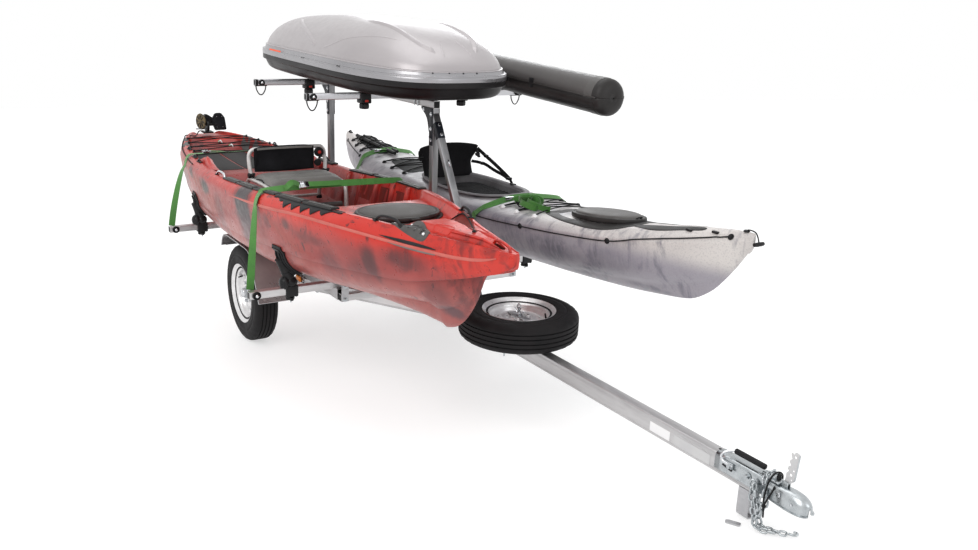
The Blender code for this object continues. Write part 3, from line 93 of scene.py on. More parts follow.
class Mat:
    """A procedural material, its textures laid in the trailer's level frame."""

    def __init__(self, name, colour=(.5, .5, .5), rough=.5, metal=0.0, **sockets):
        self.m = bpy.data.materials.new(name)
        self.m.use_nodes = True
        self.t = self.m.node_tree
        self.b = self.t.nodes["Principled BSDF"]
        self.set("Base Color", (*colour, 1))
        self.set("Roughness", rough)
        self.set("Metallic", metal)
        for k, v in sockets.items():
            self.set(k.replace("_", " "), v)
        self.m.diffuse_color = (*colour, 1)
        tc = self.t.nodes.new("ShaderNodeTexCoord")
        mp = self.t.nodes.new("ShaderNodeMapping")
        mp.vector_type = "TEXTURE"
        mp.inputs["Location"].default_value = SHIFT
        mp.inputs["Rotation"].default_value = (0, TILT, 0)
        self.t.links.new(tc.outputs["Object"], mp.inputs["Vector"])
        self.co = mp.outputs["Vector"]

    def set(self, socket, value):
        self.b.inputs[socket].default_value = value

    def put(self, out, socket):
        self.t.links.new(out, self.b.inputs[socket])

    def wire(self, value, socket):
        if isinstance(value, (int, float)):
            socket.default_value = value
        elif isinstance(value, tuple):
            socket.default_value = (*value, 1) if len(socket.default_value) == 4 and len(value) == 3 else value
        else:
            self.t.links.new(value, socket)

    def scaled(self, s, loc=(0, 0, 0), rot=(0, 0, 0), vec=None):
        mp = self.t.nodes.new("ShaderNodeMapping")
        mp.inputs["Scale"].default_value = s if isinstance(s, tuple) else (s, s, s)
        mp.inputs["Location"].default_value = loc
        mp.inputs["Rotation"].default_value = rot
        self.t.links.new(vec or self.co, mp.inputs["Vector"])
        return mp.outputs["Vector"]

    def noise(self, scale, detail=3.0, rough=.5, dist=0.0, vec=None):
        n = self.t.nodes.new("ShaderNodeTexNoise")
        self.t.links.new(self.scaled(scale, vec=vec), n.inputs["Vector"])
        n.inputs["Scale"].default_value = 1.0
        n.inputs["Detail"].default_value = detail
        n.inputs["Roughness"].default_value = rough
        n.inputs["Distortion"].default_value = dist
        return n.outputs[0]

    def cells(self, scale, kind="F1", rand=1.0, vec=None):
        n = self.t.nodes.new("ShaderNodeTexVoronoi")
        n.feature = kind
        self.t.links.new(self.scaled(scale, vec=vec), n.inputs["Vector"])
        n.inputs["Scale"].default_value = 1.0
        n.inputs["Randomness"].default_value = rand
        return n

    def wave(self, scale, dist=0.0, direction="X", vec=None, profile="SIN"):
        n = self.t.nodes.new("ShaderNodeTexWave")
        n.bands_direction = direction
        n.wave_profile = profile
        self.t.links.new(self.scaled(scale, vec=vec), n.inputs["Vector"])
        n.inputs["Scale"].default_value = 1.0
        n.inputs["Distortion"].default_value = dist
        return n.outputs[0] if n.outputs[0].type == "VALUE" else n.outputs[1]

    def ramp(self, fac, stops, interp="LINEAR"):
        n = self.t.nodes.new("ShaderNodeValToRGB")
        n.color_ramp.interpolation = interp
        el = n.color_ramp.elements
        while len(el) < len(stops):
            el.new(.5)
        for e_, (pos, col) in zip(el, stops):
            e_.position = pos
            e_.color = (*col, 1) if isinstance(col, tuple) else (col, col, col, 1)
        self.t.links.new(fac, n.inputs[0])
        return n.outputs[0]

    def math(self, op, a, b=0.0, clamp=False):
        n = self.t.nodes.new("ShaderNodeMath")
        n.operation = op
        n.use_clamp = clamp
        self.wire(a, n.inputs[0])
        self.wire(b, n.inputs[1])
        return n.outputs[0]

    def mix(self, fac, a, b, blend="MIX"):
        n = self.t.nodes.new("ShaderNodeMix")
        n.data_type = "RGBA"
        n.blend_type = blend
        self.wire(fac, n.inputs[0])
        self.wire(a, n.inputs[6])
        self.wire(b, n.inputs[7])
        return n.outputs[2]

    def axis(self, k, vec=None):
        n = self.t.nodes.new("ShaderNodeSeparateXYZ")
        self.t.links.new(vec or self.co, n.inputs[0])
        return n.outputs[k]

    def span(self, v, a, b, c=0.0, d=1.0, smooth=True):
        n = self.t.nodes.new("ShaderNodeMapRange")
        n.interpolation_type = "SMOOTHSTEP" if smooth else "LINEAR"
        self.wire(v, n.inputs[0])
        for i, q in enumerate((a, b, c, d)):
            n.inputs[1 + i].default_value = q
        return n.outputs[0]

    def spot(self, centre, radii, warp=0.0):
        """1 inside a soft ellipsoid, 0 outside it, its edge broken by noise."""
        sub = self.t.nodes.new("ShaderNodeVectorMath")
        sub.operation = "SUBTRACT"
        self.t.links.new(self.co, sub.inputs[0])
        sub.inputs[1].default_value = centre
        div = self.t.nodes.new("ShaderNodeVectorMath")
        div.operation = "DIVIDE"
        self.t.links.new(sub.outputs[0], div.inputs[0])
        div.inputs[1].default_value = radii
        ln = self.t.nodes.new("ShaderNodeVectorMath")
        ln.operation = "LENGTH"
        self.t.links.new(div.outputs[0], ln.inputs[0])
        d = ln.outputs["Value"]
        if warp:
            d = self.math("ADD", d, self.math("MULTIPLY", self.math("SUBTRACT", self.soft, .5), warp))
        return self.span(d, 1.15, .35)

    def bump(self, height, strength=.3, distance=.001, normal=None):
        n = self.t.nodes.new("ShaderNodeBump")
        n.inputs["Strength"].default_value = strength
        n.inputs["Distance"].default_value = distance
        self.t.links.new(height, n.inputs["Height"])
        if normal is not None:
            self.t.links.new(normal, n.inputs["Normal"])
        self.put(n.outputs[0], "Normal")
        return n.outputs[0]

    def rough(self, fac, lo, hi):
        self.put(self.span(fac, .25, .75, lo, hi), "Roughness")


def tinted(m, fac, lo, hi, at=(.3, .7)):
    m.put(m.ramp(fac, [(at[0], lo), (at[1], hi)]), "Base Color")


def metal(name, lo, hi, r0, r1, stretch=(9, 9, 9), grain=(300, 300, 300), bump=.08, metallic=1.0, spangle=0.0, **kw):
    """Bare or plated metal: patchy tone, drawn or rolled grain, uneven gloss."""
    m = Mat(name, lo, r0, metallic, **kw)
    patch = m.noise(stretch, 4, .6, .4)
    col = m.ramp(patch, [(.32, lo), (.68, hi)])
    if spangle:
        c = m.cells(60, rand=1.0)
        col = m.mix(spangle, col, m.ramp(c.outputs["Color"], [(0, lo), (1, hi)]))
    m.put(col, "Base Color")
    g = m.noise(grain, 2, .5)
    m.rough(m.math("ADD", m.math("MULTIPLY", patch, .6), m.math("MULTIPLY", g, .4)), r0, r1)
    m.bump(g, bump, .0006)
    return m.m


GALV_X = metal("galvanised_x", (.44, .435, .44), (.58, .575, .58), .30, .46, (3, 22, 22), (8, 420, 420), .12, .85)
GALV_Y = metal("galvanised_y", (.52, .515, .52), (.68, .675, .68), .28, .44, (22, 3, 22), (420, 8, 420), .12, .85)
# galvanised_z_shaded is a darker copy of this steel: painted shade on the upright posts and the front brace
GALV_Z_SHADED = metal("galvanised_z_shaded", (.28, .28, .29), (.43, .43, .44), .28, .44, (22, 22, 3), (420, 420, 8), .12, .9)
GALV = metal("galvanised_sheet", (.42, .42, .435), (.56, .56, .57), .28, .42, (10, 10, 10), (160, 160, 160), .10, .9, spangle=.35)
ALU = metal("drawn_aluminium", (.50, .50, .52), (.62, .62, .64), .24, .36, (22, 4, 22), (420, 10, 420), .08, .95)
ZINC = metal("zinc_plate", (.40, .425, .44), (.56, .585, .60), .22, .36, (24, 24, 24), (260, 260, 260), .10, 1.0)
CHROME = metal("bright_plate", (.58, .59, .61), (.72, .73, .75), .10, .20, (30, 30, 30), (300, 300, 300), .03, 1.0)
RIMM = metal("rim_metal", (.68, .675, .68), (.80, .795, .80), .26, .38, (30, 30, 30), (200, 200, 200), .08, .60, spangle=.15)


def plastic(name, lo, hi, r0=.38, r1=.55, grain=900, bump=.25, scale=7, **kw):
    """Moulded plastic or rubber: fine pitted skin, dusty patches."""
    m = Mat(name, lo, r0, 0.0, **kw)
    m.set("Specular IOR Level", .30)
    p = m.noise(scale, 4, .6, .3)
    tinted(m, p, lo, hi)
    m.rough(p, r0, r1)
    g = m.noise(grain, 2, .5)
    m.bump(g, bump, .0005)
    return m.m


BLACK = plastic("black_moulding", (.011, .011, .012), (.026, .026, .028), .34, .52)
BLACK_GLOSS = plastic("black_gloss", (.008, .008, .009), (.02, .02, .022), .16, .28, 500, .10)
BLACKP = plastic("black_paint", (.010, .011, .014), (.024, .026, .032), .26, .42, 260, .15)
GREYRUB = plastic("grey_hatch", (.080, .076, .074), (.125, .120, .116), .36, .52, 700, .35, 9)
GREYRUB2 = plastic("grey_hatch_dark", (.028, .027, .027), (.050, .048, .047), .36, .52, 700, .35, 9)
RUBRED = plastic("red_plug", (.55, .04, .03), (.65, .06, .045), .35, .5)
DRIVE_M = plastic("drive_camo", (.016, .014, .012), (.22, .17, .09), .35, .55, 500, .2, 45)
LABEL = plastic("plain_label", (.74, .74, .75), (.80, .80, .80), .30, .42, 400, .05)
LABEL2 = plastic("plain_label_grey", (.50, .50, .51), (.56, .56, .56), .30, .42, 400, .05)


def tyre_rubber():
    m = Mat("tyre_rubber", (.022, .022, .023), .62)
    m.set("Specular IOR Level", .28)
    p = m.noise(14, 4, .6)
    tinted(m, p, (.008, .008, .009), (.022, .020, .021))
    m.rough(p, .55, .78)
    m.bump(m.noise(500, 3, .6), .35, .0008)
    return m.m


TYRE = tyre_rubber()


def shell(name, lo, hi, r, metallic, coat, flake=1100, **kw):
    m = Mat(name, lo, r, metallic, **kw)
    m.set("Coat Weight", coat)
    m.set("Coat Roughness", .22)
    p = m.noise(2.2, 3, .5, .2)
    f = m.noise(flake, 2, .6)
    col = m.ramp(p, [(.3, lo), (.7, hi)])
    m.put(m.mix(.05, col, m.ramp(f, [(.35, tuple(c * .7 for c in lo)), (.65, tuple(min(1, c * 1.25) for c in hi))])), "Base Color")
    m.rough(m.noise(30, 3, .5), r, r + .10)
    m.bump(m.noise(7, 2, .4), .03, .002)
    return m.m


SILVER = shell("silver_shell", (.370, .347, .355), (.435, .412, .420), .30, .40, .30)
SATIN = shell("satin_band", (.33, .326, .34), (.42, .415, .43), .26, .80, .10)
GREYSH = shell("grey_shell", (.060, .056, .055), (.085, .079, .077), .30, .15, .10)
BOXBLACK = plastic("box_base", (.010, .009, .010), (.022, .020, .021), .30, .46, 420, .35, 5)
TUBEBLACK = plastic("tube_base", (.020, .0185, .0185), (.038, .0355, .035), .30, .44, 420, .30, 5)


def red_marble():
    """Rotomoulded polyethylene: tomato red with smoky dark swirls."""
    m = Mat("red_marble", (.66, .09, .06), .34)
    m.soft = m.noise(9.0, 5, .6, .6)
    big = m.noise((1.5, 2.4, 2.0), 6, .58, 1.1)
    fine = m.noise((9, 14, 5), 6, .62, 1.6)
    field = m.math("ADD", m.math("MULTIPLY", big, .62), m.math("MULTIPLY", fine, .38))
    smoke = m.span(field, .515, .63)
    z, x = m.axis(2), m.axis(0)
    # places where the dark colour gathered in the mould
    spots = [((.49, -.88, .90), (.135, .14, .34), 1.25), ((.46, -.88, .74), (.10, .16, .12), .8), ((-.20, -.88, .88), (.12, .1, .05), .95), ((1.98, -.52, .74), (.10, .12, .035), 1.0), ((1.62, -.70, .88), (.07, .1, .12), .75), ((.80, -.86, .90), (.05, .06, .05), .6), ((1.02, -.85, .93), (.05, .06, .04), .7), ((-.55, -.86, .90), (.08, .06, .05), .8), ((1.35, -.80, .78), (.12, .1, .12), .55), ((1.84, -.66, .95), (.18, .09, .06), .75),
             ((1.25, -.83, .90), (.20, .05, .035), .45), ((1.55, -.73, .82), (.13, .09, .10), .45), ((1.95, -.60, .80), (.10, .12, .09), .45),
             ((.05, -.88, .78), (.10, .10, .14), .5), ((-.85, -.80, .82), (.16, .16, .05), .5), ((2.0, -.45, 1.06), (.05, .09, .02), .3)]
    dark = smoke
    dark = m.math("MULTIPLY", smoke, .62)
    for c, r_, w in spots:
        dark = m.math("MAXIMUM", dark, m.math("MULTIPLY", m.spot(c, r_, 1.1), w))
    streak = m.noise((16, 16, 3.2), 5, .65, .8)
    dark = m.math("MULTIPLY", dark, m.span(streak, .22, .55, .62, 1.0))
    fleck = m.span(m.noise((22, 24, 13), 4, .7, 1.2), .60, .68)
    dark = m.math("MAXIMUM", dark, m.math("MULTIPLY", fleck, .80))
    red = m.ramp(m.noise(3.0, 4, .6, .5), [(.25, (.43, .016, .009)), (.52, (.52, .027, .015)), (.80, (.58, .048, .030))])
    # painted reflection and bounce light from the pale floor: the bottom of the hull is paler
    painted_light_tone = m.ramp(m.noise((5, 5, 2.5), 5, .6, 1.0), [(.3, (.30, .074, .066)), (.7, (.40, .125, .110))])
    # painted shade: below the sheer the topsides turn a duller, darker red, as if lit from above
    side = m.span(m.math("ADD", z, m.math("MULTIPLY", m.soft, -.06)), .965, .875)
    side_shade_colour = m.ramp(m.noise((4, 4, 3), 5, .6, .9), [(.3, (.24, .028, .026)), (.7, (.34, .052, .045))])
    red = m.mix(m.math("MULTIPLY", side, .92), red, side_shade_colour)
    # painted floor reflection mask: low on the hull, reaching higher towards the bow
    low = m.span(m.math("ADD", z, m.math("MULTIPLY", m.soft, -.05)), .815, .70)
    bow_reflection_mask = m.span(m.math("SUBTRACT", z, m.math("MULTIPLY", m.span(x, .9, 2.2, 0, 1, False), .15)), .79, .69)
    base = m.mix(m.math("MULTIPLY", m.math("MAXIMUM", low, bow_reflection_mask), .75), red, painted_light_tone)
    tone = m.ramp(m.span(z, .72, .90), [(0, (.13, .050, .058)), (1, (.022, .009, .013))])
    m.put(m.mix(dark, base, tone), "Base Color")
    m.rough(m.noise(26, 4, .6), .26, .42)
    h = m.noise(240, 3, .6)
    n = m.bump(h, .16, .0009)
    m.bump(m.noise(6.0, 2, .4), .10, .004, n)
    m.set("Coat Weight", .18)
    m.set("Coat Roughness", .22)
    return m.m


def white_marble():
    """Off-white polyethylene with mauve-grey swirls."""
    m = Mat("white_marble", (.70, .68, .69), .38)
    m.soft = m.noise(9.0, 5, .6, .6)
    big = m.noise((3.4, 2.6, 1.4), 6, .62, 1.5)
    streak = m.noise((14, 8, 3.0), 6, .66, 1.4)
    field = m.math("ADD", m.math("MULTIPLY", big, .6), m.math("MULTIPLY", streak, .4))
    z, y = m.axis(2), m.axis(1)
    spots = [((1.60, .22, .82), (.20, .10, .10), 1.1), ((1.28, .16, .90), (.16, .08, .07), .9), ((1.05, .17, .93), (.14, .08, .06), .8), ((1.86, .33, .775), (.13, .07, .022), 1.0), ((2.12, .42, .76), (.22, .05, .020), .7),
             ((1.95, .32, .86), (.16, .10, .10), .35), ((1.42, .19, .84), (.10, .06, .07), .55), ((1.48, .40, .985), (.12, .12, .03), 1.1),
             ((2.10, .34, 1.05), (.20, .04, .02), .6), ((-.55, .36, .92), (.25, .20, .05), .8), ((.0, .22, .86), (.3, .08, .05), .5)]
    dark = m.math("MULTIPLY", m.span(field, .485, .61), .80)
    for c, r_, w in spots:
        dark = m.math("MAXIMUM", dark, m.math("MULTIPLY", m.spot(c, r_, 1.2), w))
    dark = m.math("MULTIPLY", dark, m.span(m.noise((26, 12, 6), 5, .7, 1.0), .28, .60, .25, 1.0))
    white = m.ramp(m.noise(2.6, 4, .6, .6), [(.3, (.50, .475, .465)), (.7, (.60, .575, .555))])
    grey = m.ramp(m.noise(6, 4, .6), [(.3, (.10, .10, .13)), (.7, (.24, .235, .27))])
    # painted shade: bluish grey below the sheer, warmer on deck
    side = m.span(z, .99, .90)
    white = m.mix(m.math("MULTIPLY", side, .85), white, (.30, .285, .33))
    speck = m.span(m.noise((150, 150, 150), 2, .5), .50, .66)
    white = m.mix(m.math("MULTIPLY", speck, .22), white, (.22, .215, .24))
    m.put(m.mix(dark, white, grey), "Base Color")
    m.rough(m.noise(26, 4, .6), .32, .48)
    n = m.bump(m.noise(260, 3, .6), .18, .0009)
    m.bump(m.noise(6.0, 2, .4), .08, .004, n)
    m.set("Coat Weight", .10)
    m.set("Coat Roughness", .25)
    return m.m


RED_M = red_marble()
WHITE_M = white_marble()


def cloth(name, lo, hi, pitch=1400, r=.85, bump=.5, sheen=.05, scale=9):
    """Woven fabric: two crossed sets of yarns, a soft nap, uneven dye."""
    m = Mat(name, lo, r)
    m.set("Specular IOR Level", .16)
    a = m.wave((pitch, pitch * .35, pitch * .35), 0, "X")
    b = m.wave((pitch * .35, pitch, pitch), 0, "Y")
    weave = m.math("MULTIPLY", a, b)
    p = m.noise(scale, 5, .6)
    tinted(m, m.math("ADD", m.math("MULTIPLY", p, .8), m.math("MULTIPLY", weave, .2)), lo, hi)
    m.set("Sheen Weight", sheen)
    m.set("Sheen Roughness", .5)
    m.rough(p, r - .08, min(1, r + .08))
    m.bump(m.math("ADD", m.math("MULTIPLY", weave, .7), m.math("MULTIPLY", m.noise(60, 3, .5), .6)), bump, .0010)
    return m.m


CORDURA = cloth("black_cordura", (.010, .010, .012), (.022, .021, .023), 1300, .82)
CUSHION = cloth("grey_satin_fabric", (.195, .189, .182), (.270, .262, .250), 1700, .50, .35, .12, 7)
MESHB = cloth("seat_mesh", (.010, .010, .012), (.026, .026, .030), 700, .8, .8)
CORDM = cloth("cord_sheath", (.010, .010, .011), (.024, .024, .025), 2600, .7, .5, .1)
CORDM_R = cloth("cord_red", (.34, .02, .015), (.42, .03, .02), 2600, .7, .5, .1)


def webbing():
    m = Mat("green_webbing", (.08, .33, .05), .62)
    a = m.wave((900, 260, 260), 0, "X")
    b = m.wave((60, 700, 700), 0, "Y")
    p = m.noise(18, 4, .6)
    col = m.ramp(p, [(.3, (.034, .150, .020)), (.7, (.068, .235, .040))])
    z = m.axis(2)
    # painted light and shade: the strap is lighter high up on the decks and darker low down by the bars
    painted_light_tone = m.mix(m.span(z, .98, .62), (.100, .29, .065), (.058, .205, .036))
    m.put(m.mix(.45, col, painted_light_tone), "Base Color")
    m.set("Sheen Weight", .3)
    m.rough(p, .5, .68)
    m.bump(m.math("MULTIPLY", a, b), .5, .0006)
    return m.m


WEB = webbing()


def eva():
    """Closed-cell deck foam with a fine brushed top."""
    m = Mat("grey_foam", (.14, .14, .14), .7)
    p = m.noise(12, 4, .6)
    tinted(m, p, (.105, .107, .107), (.165, .168, .168))
    m.rough(p, .62, .78)
    c = m.wave((260, 260, 260), .4, "DIAGONAL")
    m.bump(m.math("ADD", m.math("MULTIPLY", c, .5), m.noise(600, 3, .6)), .35, .0008)
    return m.m


EVA = eva()
EVAD = plastic("dark_mat", (.045, .046, .047), (.075, .077, .078), .6, .75, 500, .5, 12)


def lens(name, colour, deep):
    m = Mat(name, colour, .12)
    tinted(m, m.noise(40, 3, .5), deep, colour)
    m.set("Coat Weight", .5)
    m.set("Subsurface Weight", .15)
    m.set("Subsurface Radius", (.01, .004, .002))
    m.bump(m.wave((500, 500, 500), 0, "Z"), .3, .0008)
    return m.m


RED_LENS = lens("red_lens", (.62, .03, .02), (.40, .012, .010))
AMBER = lens("amber_lens", (.80, .28, .02), (.62, .17, .01))
GREY_CASE = plastic("lamp_case", (.28, .28, .29), (.36, .36, .37), .35, .5)


def fender_metal():
    """Inside of a fender, grey metal with a galvanised rolled edge; its brown-red first colour is a painted reflection
    of the red hull.
    """
    m = Mat("fender_skin", (.2, .1, .09), .30, .55)
    p = m.noise(7, 4, .6, .5)
    tinted(m, p, (.30, .285, .29), (.42, .40, .40))
    m.rough(p, .22, .36)
    m.bump(m.noise(180, 3, .5), .1, .0006)
    return m.m


FENDER = fender_metal()


# ============================================================ mesh helpers
def piece(name, parts, body="trailer", smooth=True, angle=35, bevel=0.0, segs=2, over=(), subsurf=0, level=True):
    """One named object from (verts, faces, material) parts, laid out in the
    level frame, riding on a body."""
    verts, faces, mats, ids = [], [], [], []
    for v, f, mt in parts:
        n = len(verts)
        verts += [tuple(p) for p in v]
        if mt not in mats:
            mats.append(mt)
        k = mats.index(mt)
        for q in f:
            faces.append(tuple(i + n for i in q))
            ids.append(k)
    me = bpy.data.meshes.new(name)
    me.from_pydata(verts, [], faces)
    me.polygons.foreach_set("material_index", ids)
    bm = bmesh.new()
    bm.from_mesh(me)
    bmesh.ops.recalc_face_normals(bm, faces=bm.faces)
    bm.to_mesh(me)
    bm.free()
    for mt in mats:
        me.materials.append(mt)
    if level:
        me.transform(TM)
    ob = bpy.data.objects.new(name, me)
    bpy.context.scene.collection.objects.link(ob)
    if smooth:
        me.shade_smooth()
        if not bevel:
            me.set_sharp_from_angle(angle=math.radians(angle))
    if bevel:
        m = ob.modifiers.new("edge", "BEVEL")
        m.width = bevel
        m.segments = segs
        m.limit_method = "ANGLE"
        m.angle_limit = math.radians(38)
        m.harden_normals = True
    if subsurf:
        m = ob.modifiers.new("round", "SUBSURF")
        m.levels = m.render_levels = subsurf
    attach(ob, body)
    if over:
        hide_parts(*over)
    return ob


def box_pts(lo, hi):
    v = [(x, y, z) for x in (lo[0], hi[0]) for y in (lo[1], hi[1]) for z in (lo[2], hi[2])]
    return v, [(0, 1, 3, 2), (4, 6, 7, 5), (0, 4, 5, 1), (2, 3, 7, 6), (0, 2, 6, 4), (1, 5, 7, 3)]


def rbox(lo, hi, r, n=2):
    """A box with rounded edges along all sides."""
    bm = bmesh.new()
    v, f = box_pts(lo, hi)
    vs = [bm.verts.new(p) for p in v]
    for q in f:
        bm.faces.new([vs[i] for i in q])
    bmesh.ops.bevel(bm, geom=bm.edges[:] + bm.verts[:], offset=r, segments=n, profile=.5, affect="EDGES")
    bm.verts.index_update()
    out = [tuple(p.co) for p in bm.verts], [tuple(p.index for p in q.verts) for q in bm.faces]
    bm.free()
    return out


def curve_pts(points, n=6):
    """A smooth line through the points."""
    P = [Vector(p) for p in points]
    P = [P[0] * 2 - P[1]] + P + [P[-1] * 2 - P[-2]]
    out = []
    for i in range(1, len(P) - 2):
        a, b, c, d = P[i - 1:i + 3]
        for k in range(n):
            t = k / n
            out.append(.5 * ((2 * b) + (c - a) * t + (2 * a - 5 * b + 4 * c - d) * t * t + (3 * b - a - 3 * c + d) * t ** 3))
    return out + [P[-2]]


def frames(P, ref=(0, 0, 1)):
    """Section axes carried along a line without twisting."""
    n = len(P)
    T = [(P[min(i + 1, n - 1)] - P[max(i - 1, 0)]).normalized() for i in range(n)]
    r = Vector(ref)
    if abs(T[0].dot(r)) > .9:
        r = Vector((0, 1, 0)) if abs(T[0].y) < .9 else Vector((1, 0, 0))
    out = []
    for t in T:
        r = (r - t * r.dot(t)).normalized()
        out.append((t, r, t.cross(r)))
    return out


def rod(points, radius, sides=12, ref=(0, 0, 1), caps=True, flat=1.0):
    """A round bar along a line; radius may be a function of 0..1."""
    P = [Vector(p) for p in points]
    F = frames(P, ref)
    n = len(P)
    v, f = [], []
    for i, p in enumerate(P):
        r = radius(i / (n - 1)) if callable(radius) else radius
        _, a, b = F[i]
        for s in range(sides):
            t = 2 * math.pi * s / sides
            v.append(p + a * math.cos(t) * r * flat + b * math.sin(t) * r)
    for i in range(n - 1):
        for s in range(sides):
            t = (s + 1) % sides
            f.append((i * sides + s, i * sides + t, (i + 1) * sides + t, (i + 1) * sides + s))
    if caps:
        f.append(tuple(range(sides))[::-1])
        f.append(tuple((n - 1) * sides + s for s in range(sides)))
    return v, f


def turn(profile, centre, axis, segs=32, phase=0.0, closed=False):
    """(radius, offset) points turned round an axis.  Open profiles end in
    discs unless their radius is nothing there."""
    c, a = Vector(centre), Vector(axis).normalized()
    e1 = Vector((0, 0, 1)) if abs(a.z) < .9 else Vector((1, 0, 0))
    e1 = (e1 - a * e1.dot(a)).normalized()
    e2 = a.cross(e1)
    m = len(profile)
    v, f = [], []
    for s in range(segs):
        t = 2 * math.pi * s / segs + phase
        d = e1 * math.cos(t) + e2 * math.sin(t)
        v += [c + d * r + a * w for r, w in profile]
    for s in range(segs):
        u = (s + 1) % segs
        for j in range(m if closed else m - 1):
            k = (j + 1) % m
            f.append((s * m + j, u * m + j, u * m + k, s * m + k))
    if not closed:
        for j in (0, m - 1):
            if profile[j][0] > 1e-6:
                f.append(tuple(s * m + j for s in range(segs)))
    return v, f


def ball(c, r, axis=(0, 0, 1), squash=1.0, segs=20, rings=8):
    prof = [(max(1e-5, r * math.sin(math.pi * k / rings)), -r * squash * math.cos(math.pi * k / rings)) for k in range(rings + 1)]
    return turn(prof, c, axis, segs)


def loft(rings, close=True, cap0=True, cap1=True):
    m = len(rings[0])
    v = [p for r in rings for p in r]
    f = []
    for i in range(len(rings) - 1):
        for j in range(m if close else m - 1):
            k = (j + 1) % m
            f.append((i * m + j, i * m + k, (i + 1) * m + k, (i + 1) * m + j))
    if cap0:
        f.append(tuple(range(m))[::-1])
    if cap1:
        f.append(tuple((len(rings) - 1) * m + j for j in range(m)))
    return v, f


def prism(outline, frame_, h):
    """An outline (a, b) in a plane given by (origin, a axis, b axis), thick h
    along their cross product."""
    o_, a, b = (Vector(q) for q in frame_)
    nrm = a.cross(b).normalized()
    low = [o_ + a * p + b * q for p, q in outline]
    n = len(low)
    v = low + [p + nrm * h for p in low]
    return v, [tuple(range(n))[::-1], tuple(range(n, 2 * n))] + [(i, (i + 1) % n, (i + 1) % n + n, i + n) for i in range(n)]


def plate(outer, holes, frame_, h):
    """A flat plate with holes cut through it."""
    o_, a, b = (Vector(q) for q in frame_)
    nrm = a.cross(b).normalized()
    bm = bmesh.new()
    loops = []
    for lp in [outer] + list(holes):
        vs = [bm.verts.new(o_ + a * p + b * q) for p, q in lp]
        loops.append([bm.edges.new((vs[i], vs[(i + 1) % len(vs)])) for i in range(len(vs))])
    bmesh.ops.triangle_fill(bm, use_beauty=True, edges=[e_ for l_ in loops for e_ in l_], normal=nrm)
    ex = bmesh.ops.extrude_face_region(bm, geom=bm.faces[:])
    for q in ex["geom"]:
        if isinstance(q, bmesh.types.BMVert):
            q.co += nrm * h
    bm.verts.index_update()
    out = [tuple(p.co) for p in bm.verts], [tuple(p.index for p in q.verts) for q in bm.faces]
    bm.free()
    return out


def circle(cx, cy, r, n=14, ry=None):
    return [(cx + r * math.cos(2 * math.pi * k / n), cy + (ry or r) * math.sin(2 * math.pi * k / n)) for k in range(n)]


def rrect(w, h, r, n=4):
    """A rounded rectangle's corner points, centred."""
    out = []
    for cx, cy, t0 in ((w / 2 - r, h / 2 - r, 0), (-w / 2 + r, h / 2 - r, 90), (-w / 2 + r, -h / 2 + r, 180), (w / 2 - r, -h / 2 + r, 270)):
        for k in range(n + 1):
            t = math.radians(t0 + 90 * k / n)
            out.append((cx + r * math.cos(t), cy + r * math.sin(t)))
    return out


def tube(p0, p1, w, h, wall, r=.004, cut0=None, cut1=None, ref=(0, 0, 1)):
    """A rectangular tube with rounded corners, open at both ends."""
    p0, p1 = Vector(p0), Vector(p1)
    a = (p1 - p0).normalized()
    side = a.cross(Vector(ref)).normalized()
    top = side.cross(a).normalized()
    rings = []
    for p, cut, inner in ((p0, cut0, True), (p0, cut0, False), (p1, cut1, False), (p1, cut1, True)):
        n = Vector(cut).normalized() if cut else a
        q = rrect(w - 2 * wall, h - 2 * wall, max(.0008, r - wall)) if inner else rrect(w, h, r)
        ring = []
        for x, y in q:
            s = p + side * x + top * y
            ring.append(s + a * ((p - s).dot(n) / a.dot(n)))
        rings.append(ring)
    return loft(rings + [rings[0]], cap0=False, cap1=False)


def hexhead(p, axis, af=.016, h=.008, washer=True, thread=0.0):
    """A hexagon head on a washer, standing along its axis."""
    p, a = Vector(p), Vector(axis).normalized()
    v, f = [], []
    def add(q):
        n = len(v)
        v.extend(q[0])
        f.extend(tuple(i + n for i in g) for g in q[1])
    if washer:
        add(turn([(af * .86, 0), (af * .86, .0016), (af * .55, .0018)], p, a, 20))
    add(turn([(af * .577, .0015), (af * .577, h * .8), (af * .50, h), (.0001, h)], p, a, 6))
    if thread:
        add(turn([(af * .30, h * .9), (af * .30, h + thread), (af * .24, h + thread + .001), (.0001, h + thread + .001)], p, a, 12))
    return v, f


def strip(points, width, thick, across, camber=0.0, taper=None):
    """Flat webbing along a line, its width along a given direction."""
    P = [Vector(p) for p in points]
    n = len(P)
    rings = []
    for i, p in enumerate(P):
        t = (P[min(i + 1, n - 1)] - P[max(i - 1, 0)]).normalized()
        ac = Vector(across(i / (n - 1)) if callable(across) else across).normalized()
        w = (ac - t * ac.dot(t)).normalized()
        nr = t.cross(w)
        hw = width / 2 * (taper(i / (n - 1)) if taper else 1)
        ring = []
        for x, y in ((-1, -.5), (-.5, -.5), (0, -.5), (.5, -.5), (1, -.5), (1, .5), (.5, .5), (0, .5), (-.5, .5), (-1, .5)):
            ring.append(p + w * x * hw + nr * (y * thick + camber * (1 - x * x)))
        rings.append(ring)
    return loft(rings)


def with_mat(q, mt):
    return q[0], q[1], mt


